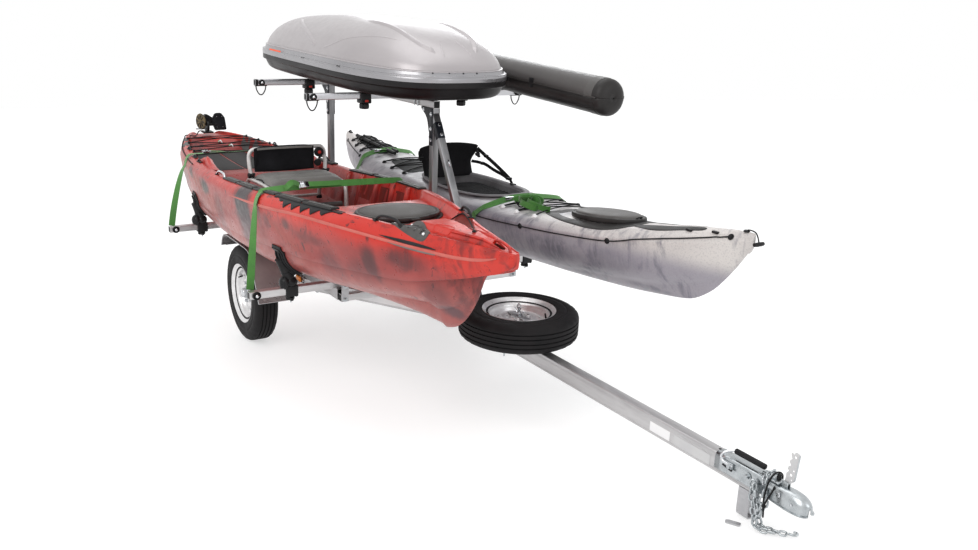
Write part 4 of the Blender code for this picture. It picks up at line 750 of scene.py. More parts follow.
# =============================================================== the hulls
RED = [(-1.63, -.445, .050, .86, .60, .88, .93, .90, .975), (-1.60, -.445, .110, .76, .60, .79, .915, .90, .977),
       (-1.50, -.446, .180, .68, .62, .72, .905, .90, .975), (-1.28, -.448, .270, .635, .66, .66, .90, .90, .965),
       (-0.95, -.450, .345, .612, .72, .64, .905, .90, .957), (-0.55, -.455, .400, .60, .76, .63, .915, .92, .953),
       (0.00, -.460, .430, .598, .78, .628, .93, .92, .965), (0.50, -.465, .430, .600, .74, .63, .955, .92, 1.00),
       (1.00, -.468, .400, .610, .60, .645, .985, .90, 1.035), (1.40, -.472, .330, .625, .42, .68, 1.005, .86, 1.055),
       (1.70, -.475, .245, .640, .30, .72, .995, .82, 1.062), (1.92, -.478, .170, .652, .22, .75, .985, .80, 1.066),
       (2.05, -.480, .130, .740, .20, .80, .995, .80, 1.07), (2.18, -.482, .085, .900, .25, .93, 1.015, .8, 1.075),
       (2.30, -.484, .045, 1.00, .4, 1.01, 1.045, .8, 1.078), (2.37, -.485, .012, 1.055, .6, 1.057, 1.068, .8, 1.08)]
WHITE = [(-1.16, .45, .012, .90, .6, .91, .95, .8, .99), (-1.08, .45, .045, .82, .5, .84, .93, .8, .985),
         (-0.96, .45, .085, .75, .45, .78, .91, .8, .97), (-0.72, .45, .155, .70, .45, .74, .89, .8, .95),
         (-0.40, .45, .225, .665, .50, .705, .875, .78, .93), (0.10, .45, .290, .650, .55, .69, .87, .78, .92),
         (0.60, .45, .305, .648, .55, .69, .878, .78, .92), (1.10, .45, .285, .655, .50, .70, .90, .76, .935),
         (1.50, .45, .240, .672, .45, .715, .925, .74, .96), (1.90, .45, .175, .705, .40, .76, .96, .72, 1.00),
         (2.20, .45, .115, .745, .35, .80, 1.00, .7, 1.04), (2.35, .45, .080, .773, .3, .84, 1.03, .7, 1.068),
         (2.46, .45, .055, .835, .3, .88, 1.055, .7, 1.085), (2.56, .45, .030, .94, .4, .96, 1.08, .7, 1.1),
         (2.66, .45, .008, 1.08, .6, 1.085, 1.1, .7, 1.108)]


def fair(x, xs, ys):
    n = len(xs)
    h = [xs[i + 1] - xs[i] for i in range(n - 1)]
    d = [(ys[i + 1] - ys[i]) / h[i] for i in range(n - 1)]
    m = [d[0]] + [0 if d[i - 1] * d[i] <= 0 else 2 * d[i - 1] * d[i] / (d[i - 1] + d[i]) for i in range(1, n - 1)] + [d[-1]]
    i = 0
    while i < n - 2 and x > xs[i + 1]:
        i += 1
    t = min(max((x - xs[i]) / h[i], 0), 1)
    return ((2 * t ** 3 - 3 * t ** 2 + 1) * ys[i] + (t ** 3 - 2 * t ** 2 + t) * h[i] * m[i]
            + (-2 * t ** 3 + 3 * t ** 2) * ys[i + 1] + (t ** 3 - t ** 2) * h[i] * m[i + 1])


def lines(table, x):
    xs = [r[0] for r in table]
    return [fair(x, xs, [r[k] for r in table]) for k in range(1, 9)]


def bez(a, b, c, t):
    return tuple((1 - t) ** 2 * p + 2 * t * (1 - t) * q + t * t * r for p, q, r in zip(a, b, c))


def mixf(a, b, t):
    t = min(1, max(0, t))
    return a + (b - a) * t


def sstep(x, a, b):
    t = min(1, max(0, (x - a) / (b - a)))
    return t * t * (3 - 2 * t)


def tabf(x, pairs):
    return fair(x, [p[0] for p in pairs], [p[1] for p in pairs])


STEP = [(-1.63, .90), (-1.50, .80), (-1.2, .745), (-.6, .715), (0, .705), (.312, .713), (.707, .754), (1.118, .779), (1.44, .810), (1.804, .847),
        (2.017, .902), (2.165, .945), (2.229, .968), (2.321, 1.001), (2.36, 1.04), (2.37, 1.056)]
INSET = [(-1.63, .0), (-.5, .0), (.0, .004), (.4, .009), (.9, .013), (1.5, .017), (1.8, .021), (2.0, .036), (2.08, .048), (2.13, .058), (2.37, .06)]
STEM = [(1.883, .640), (1.950, .664), (2.010, .704), (2.068, .768), (2.112, .838), (2.146, .906), (2.165, .944)]


def red_wide(x, z):
    """Half width of the fishing hull's topsides at a height."""
    yc, hb, zk, fc, zc, zs, fg, zg = lines(RED, x)
    c0, c1, c2 = (fc * hb, zc), (.97 * hb, zc + .25 * (zs - zc)), (hb, zs)
    if z <= zc:
        return fc * hb
    lo, hi = 0, 1
    for _ in range(26):
        t = (lo + hi) / 2
        if bez(c0, c1, c2, t)[1] < z:
            lo = t
        else:
            hi = t
    return bez(c0, c1, c2, lo)[0]


FLOOR_X = [-1.63, -1.46, -1.36, -0.72, -0.60, -0.48, 0.40, 0.62, 0.98, 1.10, 1.60, 1.75, 2.37]
FLOOR_Z = [.970, .955, .880, .860, .860, .800, .780, .780, .850, 1.010, 1.018, 1.055, 1.083]
FLOOR_W = [.90, .85, .80, .80, .80, .74, .74, .78, .80, .80, .78, .6, .5]


def red_top(x, a, side=1):
    """Height of the fishing kayak's bow and stern decks at a fraction a of
    the rim's half width (side -1 starboard, 1 port), added to the floor."""
    z = 0.0
    if x > 1.02:
        k = sstep(x, 1.56, 1.72) * (1 - sstep(x, 2.16, 2.30))
        z += k * .020 * (1 - sstep(a, .42, .60))           # raised middle of the bow deck
        g = sstep(x, 1.50, 1.60) * (1 - sstep(x, 1.98, 2.12))
        z -= g * .012 * math.exp(-((a - .74) / .13) ** 2)     # gutters beside it
    if side > 0 and 1.62 < x < 1.96:
        # triangular recess on the port bow
        w = (x - 1.62) / .34
        z -= .026 * sstep(a, .18 + .50 * w, .26 + .50 * w) * (1 - sstep(a, .80, .88)) * sstep(x, 1.62, 1.66) * (1 - sstep(x, 1.90, 1.96))
    return z


def rib(x):
    """Upright ribs in the cockpit's side walls."""
    if not -.46 < x < .98:
        return 0.0
    p = (x + .46) / .125 % 1.0
    return sstep(p, .08, .24) * (1 - sstep(p, .62, .78)) * sstep(x, -.46, -.40) * (1 - sstep(x, .92, .98))


def red_half(x, side):
    yc, hb, zk, fc, zc, zs, fg, zg = lines(RED, x)
    zst = tabf(x, STEP)
    if x > 1.86:
        zk = min(zst - .001, tabf(x, STEM) if x < 2.165 else zst - .001)
        zk = max(zk, lines(RED, x)[2] - .03)
    zst = max(zst, zk + .001)
    zc = min(max(zc, zk + .001), zst - .0005) if x > 1.86 else min(zc, zst - .01)
    w2 = min(red_wide(x, zst) if zst > zc else fc * hb, hb - .004 * min(1, hb / .05))
    if x > 1.9:
        w2 = min(max(w2, .86 * hb), hb * .97)
    ins = min(tabf(x, INSET), .9 * w2)
    w1 = w2 - ins
    if x > 2.0:
        w1 = mixf(w1, .010, sstep(x, 2.03, 2.165))
        w1 = min(w1, w2 * .95)
    cw = min(fc * hb, w1 * .96)
    if x > 1.86:
        cw = min(cw, w1 * mixf(.9, .75, (x - 1.86) / .3))
        zc = zk + (zst - zk) * .38
    p = []
    for t in (0, .18, .36, .54, .72, .88):
        p.append(bez((0, zk), (.62 * cw, zk + .06 * (zc - zk)), (cw, zc), t))
    for t in (0, .15, .3, .45, .6, .75, .9, 1.0):
        p.append(bez((cw, zc), (mixf(cw, w1, .9), zc + .32 * (zst - zc)), (w1, zst - .004 * min(1, (zst - zk) / .02)), t))
    p.append((w1 + .35 * (w2 - w1), zst - .002 * min(1, (zst - zk) / .02)))
    p.append((w2 - .002 * min(1, w2 / .02), zst))
    p.append((w2, zst + .003))
    bow = sstep(x, 1.2, 1.9)
    for t in (.22, .45, .68, .88, 1.0):
        q = bez((w2, zst + .003), (mixf(w2, hb, .75), zst + .45 * (zs - zst)), (hb, zs), t)
        p.append(q)
    g = fg * hb
    # rolled edge over the widest line, then the shoulder up to the gunwale
    p.append((hb - .0030 * min(1, hb / .05), zs + .008 * min(1, (zg - zs) / .03)))
    for t in (.3, .6, .85):
        w = mixf(hb - .003, g, t)
        z = mixf(zs + .008, zg, t)
        p.append((w + .0045 * math.sin(math.pi * t) * min(1, hb / .06), z + .003 * math.sin(math.pi * t)))
    rim = max(g - .045, g * .88)
    p.append((g, zg))
    p.append((g - .15 * (g - rim), zg + .0045))
    p.append((rim + .2 * (g - rim), zg + .0045))
    zf = fair(x, FLOOR_X, FLOOR_Z)
    fw = fair(x, FLOOR_X, FLOOR_W)
    foot = min(fw * g, rim - .004)
    d = zg - zf
    rb = rib(x) * .012 * min(1, d / .1)
    p.append((rim, zg + .001))
    p.append((rim - .15 * (rim - foot) - .2 * rb, zg + .001 - .14 * d))
    p.append((rim - .55 * (rim - foot) - rb, zg - .55 * d))
    p.append((foot + .10 * (rim - foot) - rb * .8, zf + .16 * d))
    p.append((foot - .006 * min(1, foot / .1), zf + .02 * d))
    for a in (.86, .74, .62, .50, .38, .26, .13, 0):
        p.append((foot * a, zf + red_top(x, a * foot / rim if rim > 0 else a, side)))
    return yc, p


def hull_mesh(name, half, xs, mt):
    loops = []
    for x in xs:
        yc, s = half(x, -1)
        _, q = half(x, 1)
        loops.append([(x, yc - a, z) for a, z in s] + [(x, yc + a, z) for a, z in q[1:-1]][::-1])
    v, f = loft(loops)
    me = bpy.data.meshes.new(name)
    me.from_pydata([tuple(p) for p in v], [], f)
    bm = bmesh.new()
    bm.from_mesh(me)
    bmesh.ops.remove_doubles(bm, verts=bm.verts, dist=2e-5)
    bmesh.ops.dissolve_degenerate(bm, dist=2e-5, edges=bm.edges)
    bmesh.ops.recalc_face_normals(bm, faces=bm.faces)
    bm.to_mesh(me)
    bm.free()
    me.materials.append(mt)
    ob = bpy.data.objects.new(name, me)
    bpy.context.scene.collection.objects.link(ob)
    return ob


def carve(ob, tools, mt):
    """Cuts solids out of an object; the cut walls take a second material."""
    for v, f in tools:
        me = bpy.data.meshes.new("tool")
        me.from_pydata([tuple(p) for p in v], [], f)
        bm = bmesh.new()
        bm.from_mesh(me)
        bmesh.ops.recalc_face_normals(bm, faces=bm.faces)
        bmesh.ops.triangulate(bm, faces=bm.faces)
        bm.to_mesh(me)
        bm.free()
        me.materials.append(mt)
        t = bpy.data.objects.new("tool", me)
        bpy.context.scene.collection.objects.link(t)
        md = ob.modifiers.new("cut", "BOOLEAN")
        md.operation = "DIFFERENCE"
        md.solver = "EXACT"
        md.material_mode = "TRANSFER"
        md.object = t
        dg = bpy.context.evaluated_depsgraph_get()
        new = bpy.data.meshes.new_from_object(ob.evaluated_get(dg), depsgraph=dg)
        ob.modifiers.clear()
        ob.data = new
        bpy.data.objects.remove(t, do_unlink=True)


def well(cx, cy, a, b, z_top, z_bottom, n=2.2, count=40, taper=.82):
    rings = []
    for z, k in ((z_bottom, taper), (mixf(z_bottom, z_top, .3), mixf(taper, 1, .55)), (mixf(z_bottom, z_top, .75), .985), (z_top, 1.0)):
        ring = []
        for i in range(count):
            t = 2 * math.pi * i / count
            c, s = math.cos(t), math.sin(t)
            ring.append((cx + math.copysign(abs(c) ** (2 / n), c) * a * k, cy + math.copysign(abs(s) ** (2 / n), s) * b * k, z))
        rings.append(ring)
    return loft(rings)


def settle(ob, body, over, angle=38):
    """Finishes a hull: pitches it, shades it and hangs it on its body."""
    ob.data.transform(TM)
    ob.data.shade_smooth()
    ob.data.set_sharp_from_angle(angle=math.radians(angle))
    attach(ob, body)
    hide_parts(*over)


xs = [-1.63, -1.6255, -1.617, -1.606, -1.59] + [round(-1.57 + .0245 * i, 4) for i in range(152)]
xs = [x for x in xs if x < 2.02] + [2.035 + .012 * i for i in range(20)] + [2.275, 2.29, 2.305, 2.32, 2.335, 2.348, 2.358, 2.365, 2.37]


def red_half_end(x, side):
    """Rounds the very ends in."""
    yc, p = red_half(max(x, -1.60) if x < -1.60 else x, side)
    if x < -1.60:
        t = (-1.60 - x) / .03
        k = math.sqrt(max(0, 1 - (t * .97) ** 2))
        zm = .90
        p = [(a * mixf(.25, 1, k), zm + (z - zm) * mixf(.55, 1, k)) for a, z in p]
    if x > 2.335:
        t = (x - 2.335) / .035
        k = math.sqrt(max(0, 1 - (t * .95) ** 2))
        yc2, q = red_half(2.335, side)
        zt = max(z for _, z in q)
        p = [(a * mixf(.10, 1, k), zt + (z - zt) * mixf(.35, 1, k) + .001) for a, z in q]
    return yc, p


red = hull_mesh("fishing_kayak_hull", red_half_end, xs, RED_M)
DARKIN = plastic("hull_inside", (.10, .02, .016), (.16, .035, .028), .5, .7, 300, .3)
HATCH = (1.385, -.462)
carve(red, [well(HATCH[0], HATCH[1], .100, .150, 1.20, .78, 2.3), well(2.255, -.484, .034, .012, 1.2, 1.058, 3, 20, .9)], DARKIN)
settle(red, "trailer", ("red_hull",))


def white_half(x, side):
    yc, hb, zk, fc, zc, zs, fg, zg = lines(WHITE, x)
    p = []
    cw = fc * hb
    for t in (0, .2, .4, .6, .8, .95):
        p.append(bez((0, zk), (.45 * cw, zk + .22 * (zc - zk)), (cw, zc), t))
    p.append((cw + .004 * min(1, hb / .1), zc + .004))
    for t in (.12, .25, .38, .5, .62, .74, .86, .95, 1.0):
        p.append(bez((cw + .004 * min(1, hb / .1), zc + .004), (.97 * hb, zc + .25 * (zs - zc)), (hb, zs), t))
    g = fg * hb
    p.append((hb - .003 * min(1, hb / .05), zs + .006 * min(1, hb / .05)))
    for t in (.25, .5, .75):
        p.append((mixf(hb - .003, g, t) + .004 * math.sin(math.pi * t) * min(1, hb / .1), mixf(zs + .006, zg, t) + .003 * math.sin(math.pi * t)))
    p.append((g, zg))
    # the bow deck rises to a soft keel ahead of the hatch
    k = sstep(x, 1.95, 2.2)
    for a, dz in ((.93, .004), (.84, .008), (.70, .0105), (.56, .0135), (.42, .016), (.30, .0168), (.16, .0176), (0, .018)):
        zz = zg + dz + k * .008 * (1 - a) ** 1.5
        if 1.18 < x < 1.52:
            # hollow in the deck behind the bow hatch
            e_ = sstep(x, 1.18, 1.26) * (1 - sstep(x, 1.46, 1.52))
            zz -= .010 * e_ * (1 - sstep(a, .45, .75))
        p.append((g * a, zz))
    return yc, p


def white_half_end(x, side):
    yc, p = white_half(min(max(x, -1.135), 2.635), side)
    if x < -1.135:
        t = (-1.135 - x) / .025
        k = math.sqrt(max(0, 1 - (t * .96) ** 2))
        zt = max(z for _, z in p)
        p = [(a * mixf(.2, 1, k), zt + (z - zt) * mixf(.7, 1, k)) for a, z in p]
    if x > 2.635:
        t = (x - 2.635) / .025
        k = math.sqrt(max(0, 1 - (t * .96) ** 2))
        zt = max(z for _, z in p)
        p = [(a * mixf(.2, 1, k), zt + (z - zt) * mixf(.4, 1, k)) for a, z in p]
    return yc, p


ws = [-1.16, -1.157, -1.15, -1.142, -1.135] + [round(-1.12 + .025 * i, 4) for i in range(149)]
ws = [x for x in ws if x < 2.58] + [2.585, 2.60, 2.612, 2.624, 2.635, 2.644, 2.652, 2.657, 2.66]
white = hull_mesh("touring_kayak_hull", white_half_end, ws, WHITE_M)
INWHITE = plastic("hull_inside_grey", (.22, .215, .225), (.34, .33, .345), .5, .7, 300, .3)
COCK = (.575, .45, .405, .185)
carve(white, [well(COCK[0], COCK[1], COCK[2], COCK[3], 1.2, .715, 2.5, 64, .86), well(1.775, .45, .135, .072, 1.25, .80, 2.2)], INWHITE)
settle(white, "trailer", ("white_hull",))


def red_deck_z(x, y):
    """Height of the fishing kayak's top surface at a point."""
    side = -1 if y < lines(RED, x)[0] else 1
    yc, p = red_half(x, side)
    a = abs(y - yc)
    q = [(w, z) for w, z in p[p.index(max(p, key=lambda s: s[0])):]]
    best = q[-1][1]
    for (w0, z0), (w1, z1) in zip(q, q[1:]):
        lo, hi = sorted((w0, w1))
        if lo <= a <= hi and hi > lo:
            best = z0 + (z1 - z0) * (a - w0) / (w1 - w0)
    return best


def white_deck_z(x, y):
    yc, p = white_half(x, 1)
    a = abs(y - yc)
    i = max(range(len(p)), key=lambda k: p[k][0])
    q = p[i:]
    for (w0, z0), (w1, z1) in zip(q, q[1:]):
        if w1 <= a <= w0:
            return z0 + (z1 - z0) * (a - w0) / (w1 - w0 - 1e-9)
    return q[-1][1]

# ====================================================== chassis in tube steel
GAP = .0003
BAR, BAR_Z0, BAR_HALF = .0381, .531, .9905
FRONT_BAR_X, REAR_BAR_X = .85295, -.58905
CROSS_Z0, CROSS_FRONT_X, CROSS_REAR_X = .470, .90095, -.63705
TTOP, FOOT_X = .4622, 3.152
SIDES = (("starboard", -1), ("port", 1))

parts = [with_mat(tube((-.66, 0, TTOP - .0381), (3.180, 0, TTOP - .0381), .0508, .0762, .0032, .0055), GALV_X)]
for s in (-1, 1):
    for z, h in ((.4445, .0022), (.3945, .0022), (.4410, .0008)):
        lo, hi = sorted((s * .0253, s * (.0253 + (.0012 if h > .001 else .0006))))
        parts.append(with_mat(rbox((-.655, lo, z), (3.176, hi, z + h), .0003, 1), GALV_X))
for x in (CROSS_FRONT_X, CROSS_REAR_X):
    parts.append(with_mat(rbox((x - .03, -.05, TTOP), (x + .03, .05, CROSS_Z0 - GAP), .0015), GALV))
path = [(-.0224, .3870), (-.0224, .345), (-.0224, .300), (-.0216, .2915), (-.0185, .2836), (-.0130, .2785), (0, .2779),
        (.0130, .2785), (.0185, .2836), (.0216, .2915), (.0224, .300), (.0224, .345), (.0224, .3870)]
parts.append(with_mat(strip([(FOOT_X, y, z) for y, z in path], .048, .006, (1, 0, 0)), GALV))
for s in (-1, 1):
    parts.append(with_mat(rbox((FOOT_X - .024, min(s * .0256, s * .0212), .360), (FOOT_X + .024, max(s * .0256, s * .0212), .3868), .0012), GALV))
piece("tongue_profile", parts, over=("tongue",), angle=40)

# bare label panels and a drilled hole on the tongue
parts = [with_mat(rbox((2.668, -.0263, .4000), (2.778, -.0253, .4385), .0004, 1), LABEL),
         with_mat(rbox((2.800, -.0263, .3985), (2.985, -.0253, .4385), .0004, 1), LABEL2),
         with_mat(turn([(.0062, 0), (.0062, .0007), (.0045, .0008), (.0001, .0008)], (3.000, .006, TTOP - .0002), (0, 0, 1), 20), BLACK)]
piece("tongue_labels", parts)

for side, s in SIDES:
    d = Vector((.862, -s * .507, 0)).normalized()
    nrm = Vector((d.y, -d.x, 0)) if s < 0 else Vector((-d.y, d.x, 0))
    mid = Vector((.526, s * .513, 0)) - nrm * .019
    t0, t1 = (s * .548 - mid.y) / d.y, (s * (.0254 + GAP) - mid.y) / d.y
    p0, p1 = mid + d * t0, mid + d * t1
    p0.z = p1.z = (.409 + .4694) / 2
    parts = [with_mat(tube(p0, p1, .038, .0604, .003, .004, cut0=(0, s, 0), cut1=(0, s, 0)), GALV_X)]
    # bare white strip on the outer face, and the bolts through the rail
    a, b = mid + d * (t0 + (t1 - t0) * .36) + nrm * .0192, mid + d * (t0 + (t1 - t0) * .70) + nrm * .0192
    a.z = b.z = .4392
    parts.append(with_mat(strip([a, a.lerp(b, .33), a.lerp(b, .67), b], .036, .0006, (0, 0, 1)), LABEL))
    for t in (.045, .10):
        q = mid + d * (t0 + (t1 - t0) * t)
        parts.append(with_mat(hexhead((q.x, q.y, .409), (0, 0, -1), .017, .008), ZINC))
    piece(f"brace_tube_{side}", parts, over=(f"brace_{side}",))
    z0 = CROSS_Z0 - GAP
    parts = [with_mat(tube((CROSS_REAR_X + BAR / 2 + GAP, s * .520, z0 + .0303), (CROSS_FRONT_X - BAR / 2 - GAP, s * .520, z0 + .0303),
                           .038, .060, .003, .004), GALV_X)]
    piece(f"rail_tube_{side}", parts, over=(f"side_rail_{side}",))

for tag, x in (("front", CROSS_FRONT_X), ("rear", CROSS_REAR_X)):
    parts = [with_mat(tube((x, -.533, CROSS_Z0 + BAR / 2), (x, .533, CROSS_Z0 + BAR / 2), BAR, BAR, .003, .0035), GALV_Y)]
    for s in (-1, 1):
        lo, hi = sorted((s * .5295, s * .5326))
        parts.append(with_mat(rbox((x - .0158, lo, CROSS_Z0 + .0034), (x + .0158, hi, CROSS_Z0 + BAR - .0034), .001), BLACK))
    piece(f"cross_tube_{tag}", parts, over=(f"cross_member_{tag}",))

for tag, xb, xf, g in (("front", FRONT_BAR_X, CROSS_FRONT_X + BAR / 2, 1), ("rear", REAR_BAR_X, CROSS_REAR_X - BAR / 2, -1)):
    parts = [with_mat(tube((xb, -BAR_HALF, BAR_Z0 + BAR / 2), (xb, BAR_HALF, BAR_Z0 + BAR / 2), BAR, BAR, .003, .0038), GALV_Y)]
    for s in (-1, 1):
        lo, hi = sorted((s * (BAR_HALF - .006), s * (BAR_HALF - .0002)))
        parts.append(with_mat(rbox((xb - .0159, lo, BAR_Z0 + .0032), (xb + .0159, hi, BAR_Z0 + BAR - .0032), .0012), BLACK))
        # corner bracket: a bent strap over the bar and down the member
        y = s * .514
        zt = BAR_Z0 + BAR + .0024
        path = [(xb - g * .012, zt), (xb + g * .01, zt), (xf - g * .008, zt), (xf - g * .002, zt - .0006), (xf + g * .0012, zt - .0030),
                (xf + g * .0024, zt - .0075), (xf + g * .0024, .52), (xf + g * .0024, CROSS_Z0 + .001)]
        parts.append(with_mat(strip([(px_, y, pz) for px_, pz in path], .038, .0042, (0, 1, 0)), GALV))
        for z in (.484, .5505):
            parts.append(with_mat(hexhead((xf + g * .0045, y, z), (g, 0, 0), .0145, .0062, thread=.004), ZINC))
        parts.append(with_mat(hexhead((xb + g * .004, y, zt + .0022), (0, 0, 1), .0145, .0062), ZINC))
        # tie-off anchor: a black ring with a bright ball, on the bar's face
        for yy in (s * .9565,):
            xo = xb + BAR / 2
            parts.append(with_mat(turn([(.0001, .001), (.020, .001), (.0215, .004), (.0205, .009), (.0165, .011), (.0145, .008), (.012, .005), (.0001, .005)],
                                       (xo, yy, BAR_Z0 + BAR / 2), (1, 0, 0), 24), BLACK_GLOSS))
            parts.append(with_mat(ball((xo + .0098, yy, BAR_Z0 + BAR / 2), .0098), CHROME))
    piece(f"load_bar_tube_{tag}", parts, over=(f"load_bar_{tag}",), angle=40)

m = NODE["axle"].modifiers.new("edge", "BEVEL")
m.width, m.segments = .0025, 2
NODE["axle"].data.materials[0] = GALV_Y

# ------------------------------------------------------------ leaf springs
for side, s in SIDES:
    y0 = s * .520
    parts = []
    for half_l, dz in ((.285, .0118), (.235, .0068), (.175, .0018), (.115, -.0032)):
        pts = []
        n = 24
        for i in range(n + 1):
            t = -1 + 2 * i / n
            x = t * half_l
            pts.append((x, y0, .280 + .0226 + .105 * (x / .285) ** 2 + dz + .0008))
        if dz < 0:
            continue
        parts.append(with_mat(strip(pts, .0440, .0046, (0, 1, 0)), BLACKP))
    for x in (-.285, .285):
        parts.append(with_mat(rod([(x, y0 - .0225, .4195), (x, y0 + .0225, .4195)], .0115, 16), BLACKP))
        for q in (-1, 1):
            lo, hi = sorted((y0 + q * .0232, y0 + q * .0268))
            parts.append(with_mat(rbox((x - .018, lo, .398), (x + .018, hi, .469), .0012), BLACKP))
            parts.append(with_mat(hexhead((x, y0 + q * .0268, .4195), (0, q, 0), .017, .0075), ZINC))
        parts.append(with_mat(rbox((x - .020, y0 - .0268, .4655), (x + .020, y0 + .0268, .4694), .001), BLACKP))
    for q in (-1, 1):
        for x in (-.0275, .0275):
            parts.append(with_mat(rod([(x, y0 + q * .0262, .247), (x, y0 + q * .0262, .334)], .0040, 10), ZINC))
            parts.append(with_mat(hexhead((x, y0 + q * .0262, .2455), (0, 0, -1), .0135, .007, washer=False), ZINC))
    for x in (-.0275, .0275):
        parts.append(with_mat(rod(curve_pts([(x, y0 - .0262, .330), (x, y0 - .0225, .3368), (x, y0, .3380), (x, y0 + .0225, .3368), (x, y0 + .0262, .330)], 4), .0040, 10), ZINC))
    parts.append(with_mat(rbox((-.036, y0 - .0295, .2455), (.036, y0 + .0295, .2515), .0015), BLACKP))
    piece(f"leaf_spring_stack_{side}", parts, over=(f"leaf_spring_{side}",))

# ----------------------------------------------------------------- fenders
for side, s in SIDES:
    out_ = [(-.2668, .5095), (-.2570, .5310), (-.246, .5535), (-.222, .578), (-.185, .5905), (-.10, .5925), (0, .5930),
            (.10, .5925), (.185, .5905), (.222, .578), (.246, .5535), (.279, .500), (.312, .436), (.3375, .385), (.3635, .3260)]
    line = curve_pts([(x, s * .6905, z) for x, z in out_], 3)
    parts = [with_mat(strip(line, .1670, .0022, (0, 1, 0)), FENDER)]
    for yy in (.6082, .7728):
        parts.append(with_mat(rod([(p.x, s * yy, p.z - .0006) for p in line], .0036, 8), GALV))
    for p, q in ((line[0], line[1]), (line[-1], line[-2])):
        parts.append(with_mat(rod([(p.x, s * .608, p.z), (p.x, s * .773, p.z)], .0034, 8), GALV))
    for x in (-.255, .255):
        lo, hi = sorted((s * .5398, s * .6095))
        parts.append(with_mat(rbox((x - .015, lo, .4862), (x + .015, hi, .4902), .0012), GALV))
        lo, hi = sorted((s * .6065, s * .6110))
        parts.append(with_mat(rbox((x - .015, lo, .4862), (x + .015, hi, .529), .0012), GALV))
        parts.append(with_mat(hexhead((x, s * .575, .4902), (0, 0, 1), .014, .006), ZINC))
    piece(f"fender_sheet_{side}", parts, over=(f"fender_{side}",), angle=50)
    lo, hi = sorted((s * .652, s * .748))
    parts = [with_mat(rbox((-.295, lo, .5005), (-.2725, hi, .5615), .005, 3), GREY_CASE),
             with_mat(rbox((-.3215, lo + .004, .5045), (-.2945, hi - .004, .5575), .006, 3), RED_LENS)]
    piece(f"tail_lamp_{side}", parts, over=(f"tail_light_{side}",))

parts = [with_mat(rbox((.338, -.5412, .4300), (.436, -.5395, .5000), .0006, 1), GALV),
         with_mat(rbox((.352, -.5560, .4360), (.412, -.5410, .4640), .0045, 3), AMBER),
         with_mat(rbox((.348, -.5450, .4325), (.416, -.5410, .4675), .0018, 2), BLACK)]
for z in (.444, .486):
    parts.append(with_mat(hexhead((.426, -.5412, z), (0, -1, 0), .0125, .005), CHROME))
piece("side_marker", parts)


# ------------------------------------------------------------------ wheels
def tyre(tag, c, axis, body):
    c, a = Vector(c), Vector(axis).normalized()
    half_p = [(.1438, .0470), (.1500, .0474), (.1560, .0500), (.1640, .0560), (.1738, .0618), (.1745, .0630), (.1765, .0632), (.1775, .0640), (.190, .0664), (.205, .0676),
              (.2200, .0680), (.2208, .0672), (.2225, .0672), (.2233, .0680), (.236, .0676), (.247, .0664), (.257, .0630), (.266, .0585), (.2735, .0520), (.2780, .0440),
              (.2792, .0375), (.2795, .0345), (.2740, .0338), (.2738, .0290), (.2799, .0282), (.2800, .0140), (.2742, .0132), (.2742, .0086), (.2800, .0078)]
    prof = half_p + [(r, -w) for r, w in reversed(half_p)] + [(.1438, -.034), (.205, -.056), (.262, -.046), (.262, .046), (.205, .056), (.1438, .034)]
    segs = 96
    e1 = Vector((0, 0, 1)) if abs(a.z) < .9 else Vector((1, 0, 0))
    e1 = (e1 - a * e1.dot(a)).normalized()
    e2 = a.cross(e1)
    m = len(prof)
    v, f = [], []
    for s in range(segs):
        t = 2 * math.pi * s / segs
        d = e1 * math.cos(t) + e2 * math.sin(t)
        for r, w in prof:
            if abs(w) > .0425 and .262 < r < .2785 and s % 3 == 0:
                r -= .0032           # cuts across the shoulder
            if r > .2794 and .028 < abs(w) < .0355 and s % 3 == 1:
                r -= .0016
            v.append(c + d * r + a * w)
    for s in range(segs):
        u = (s + 1) % segs
        for j in range(m):
            k = (j + 1) % m
            f.append((s * m + j, u * m + j, u * m + k, s * m + k))
    piece(f"tyre_rubber_{tag}", [(v, f, TYRE)], body, angle=48, over=(f"tyre_{tag}",))


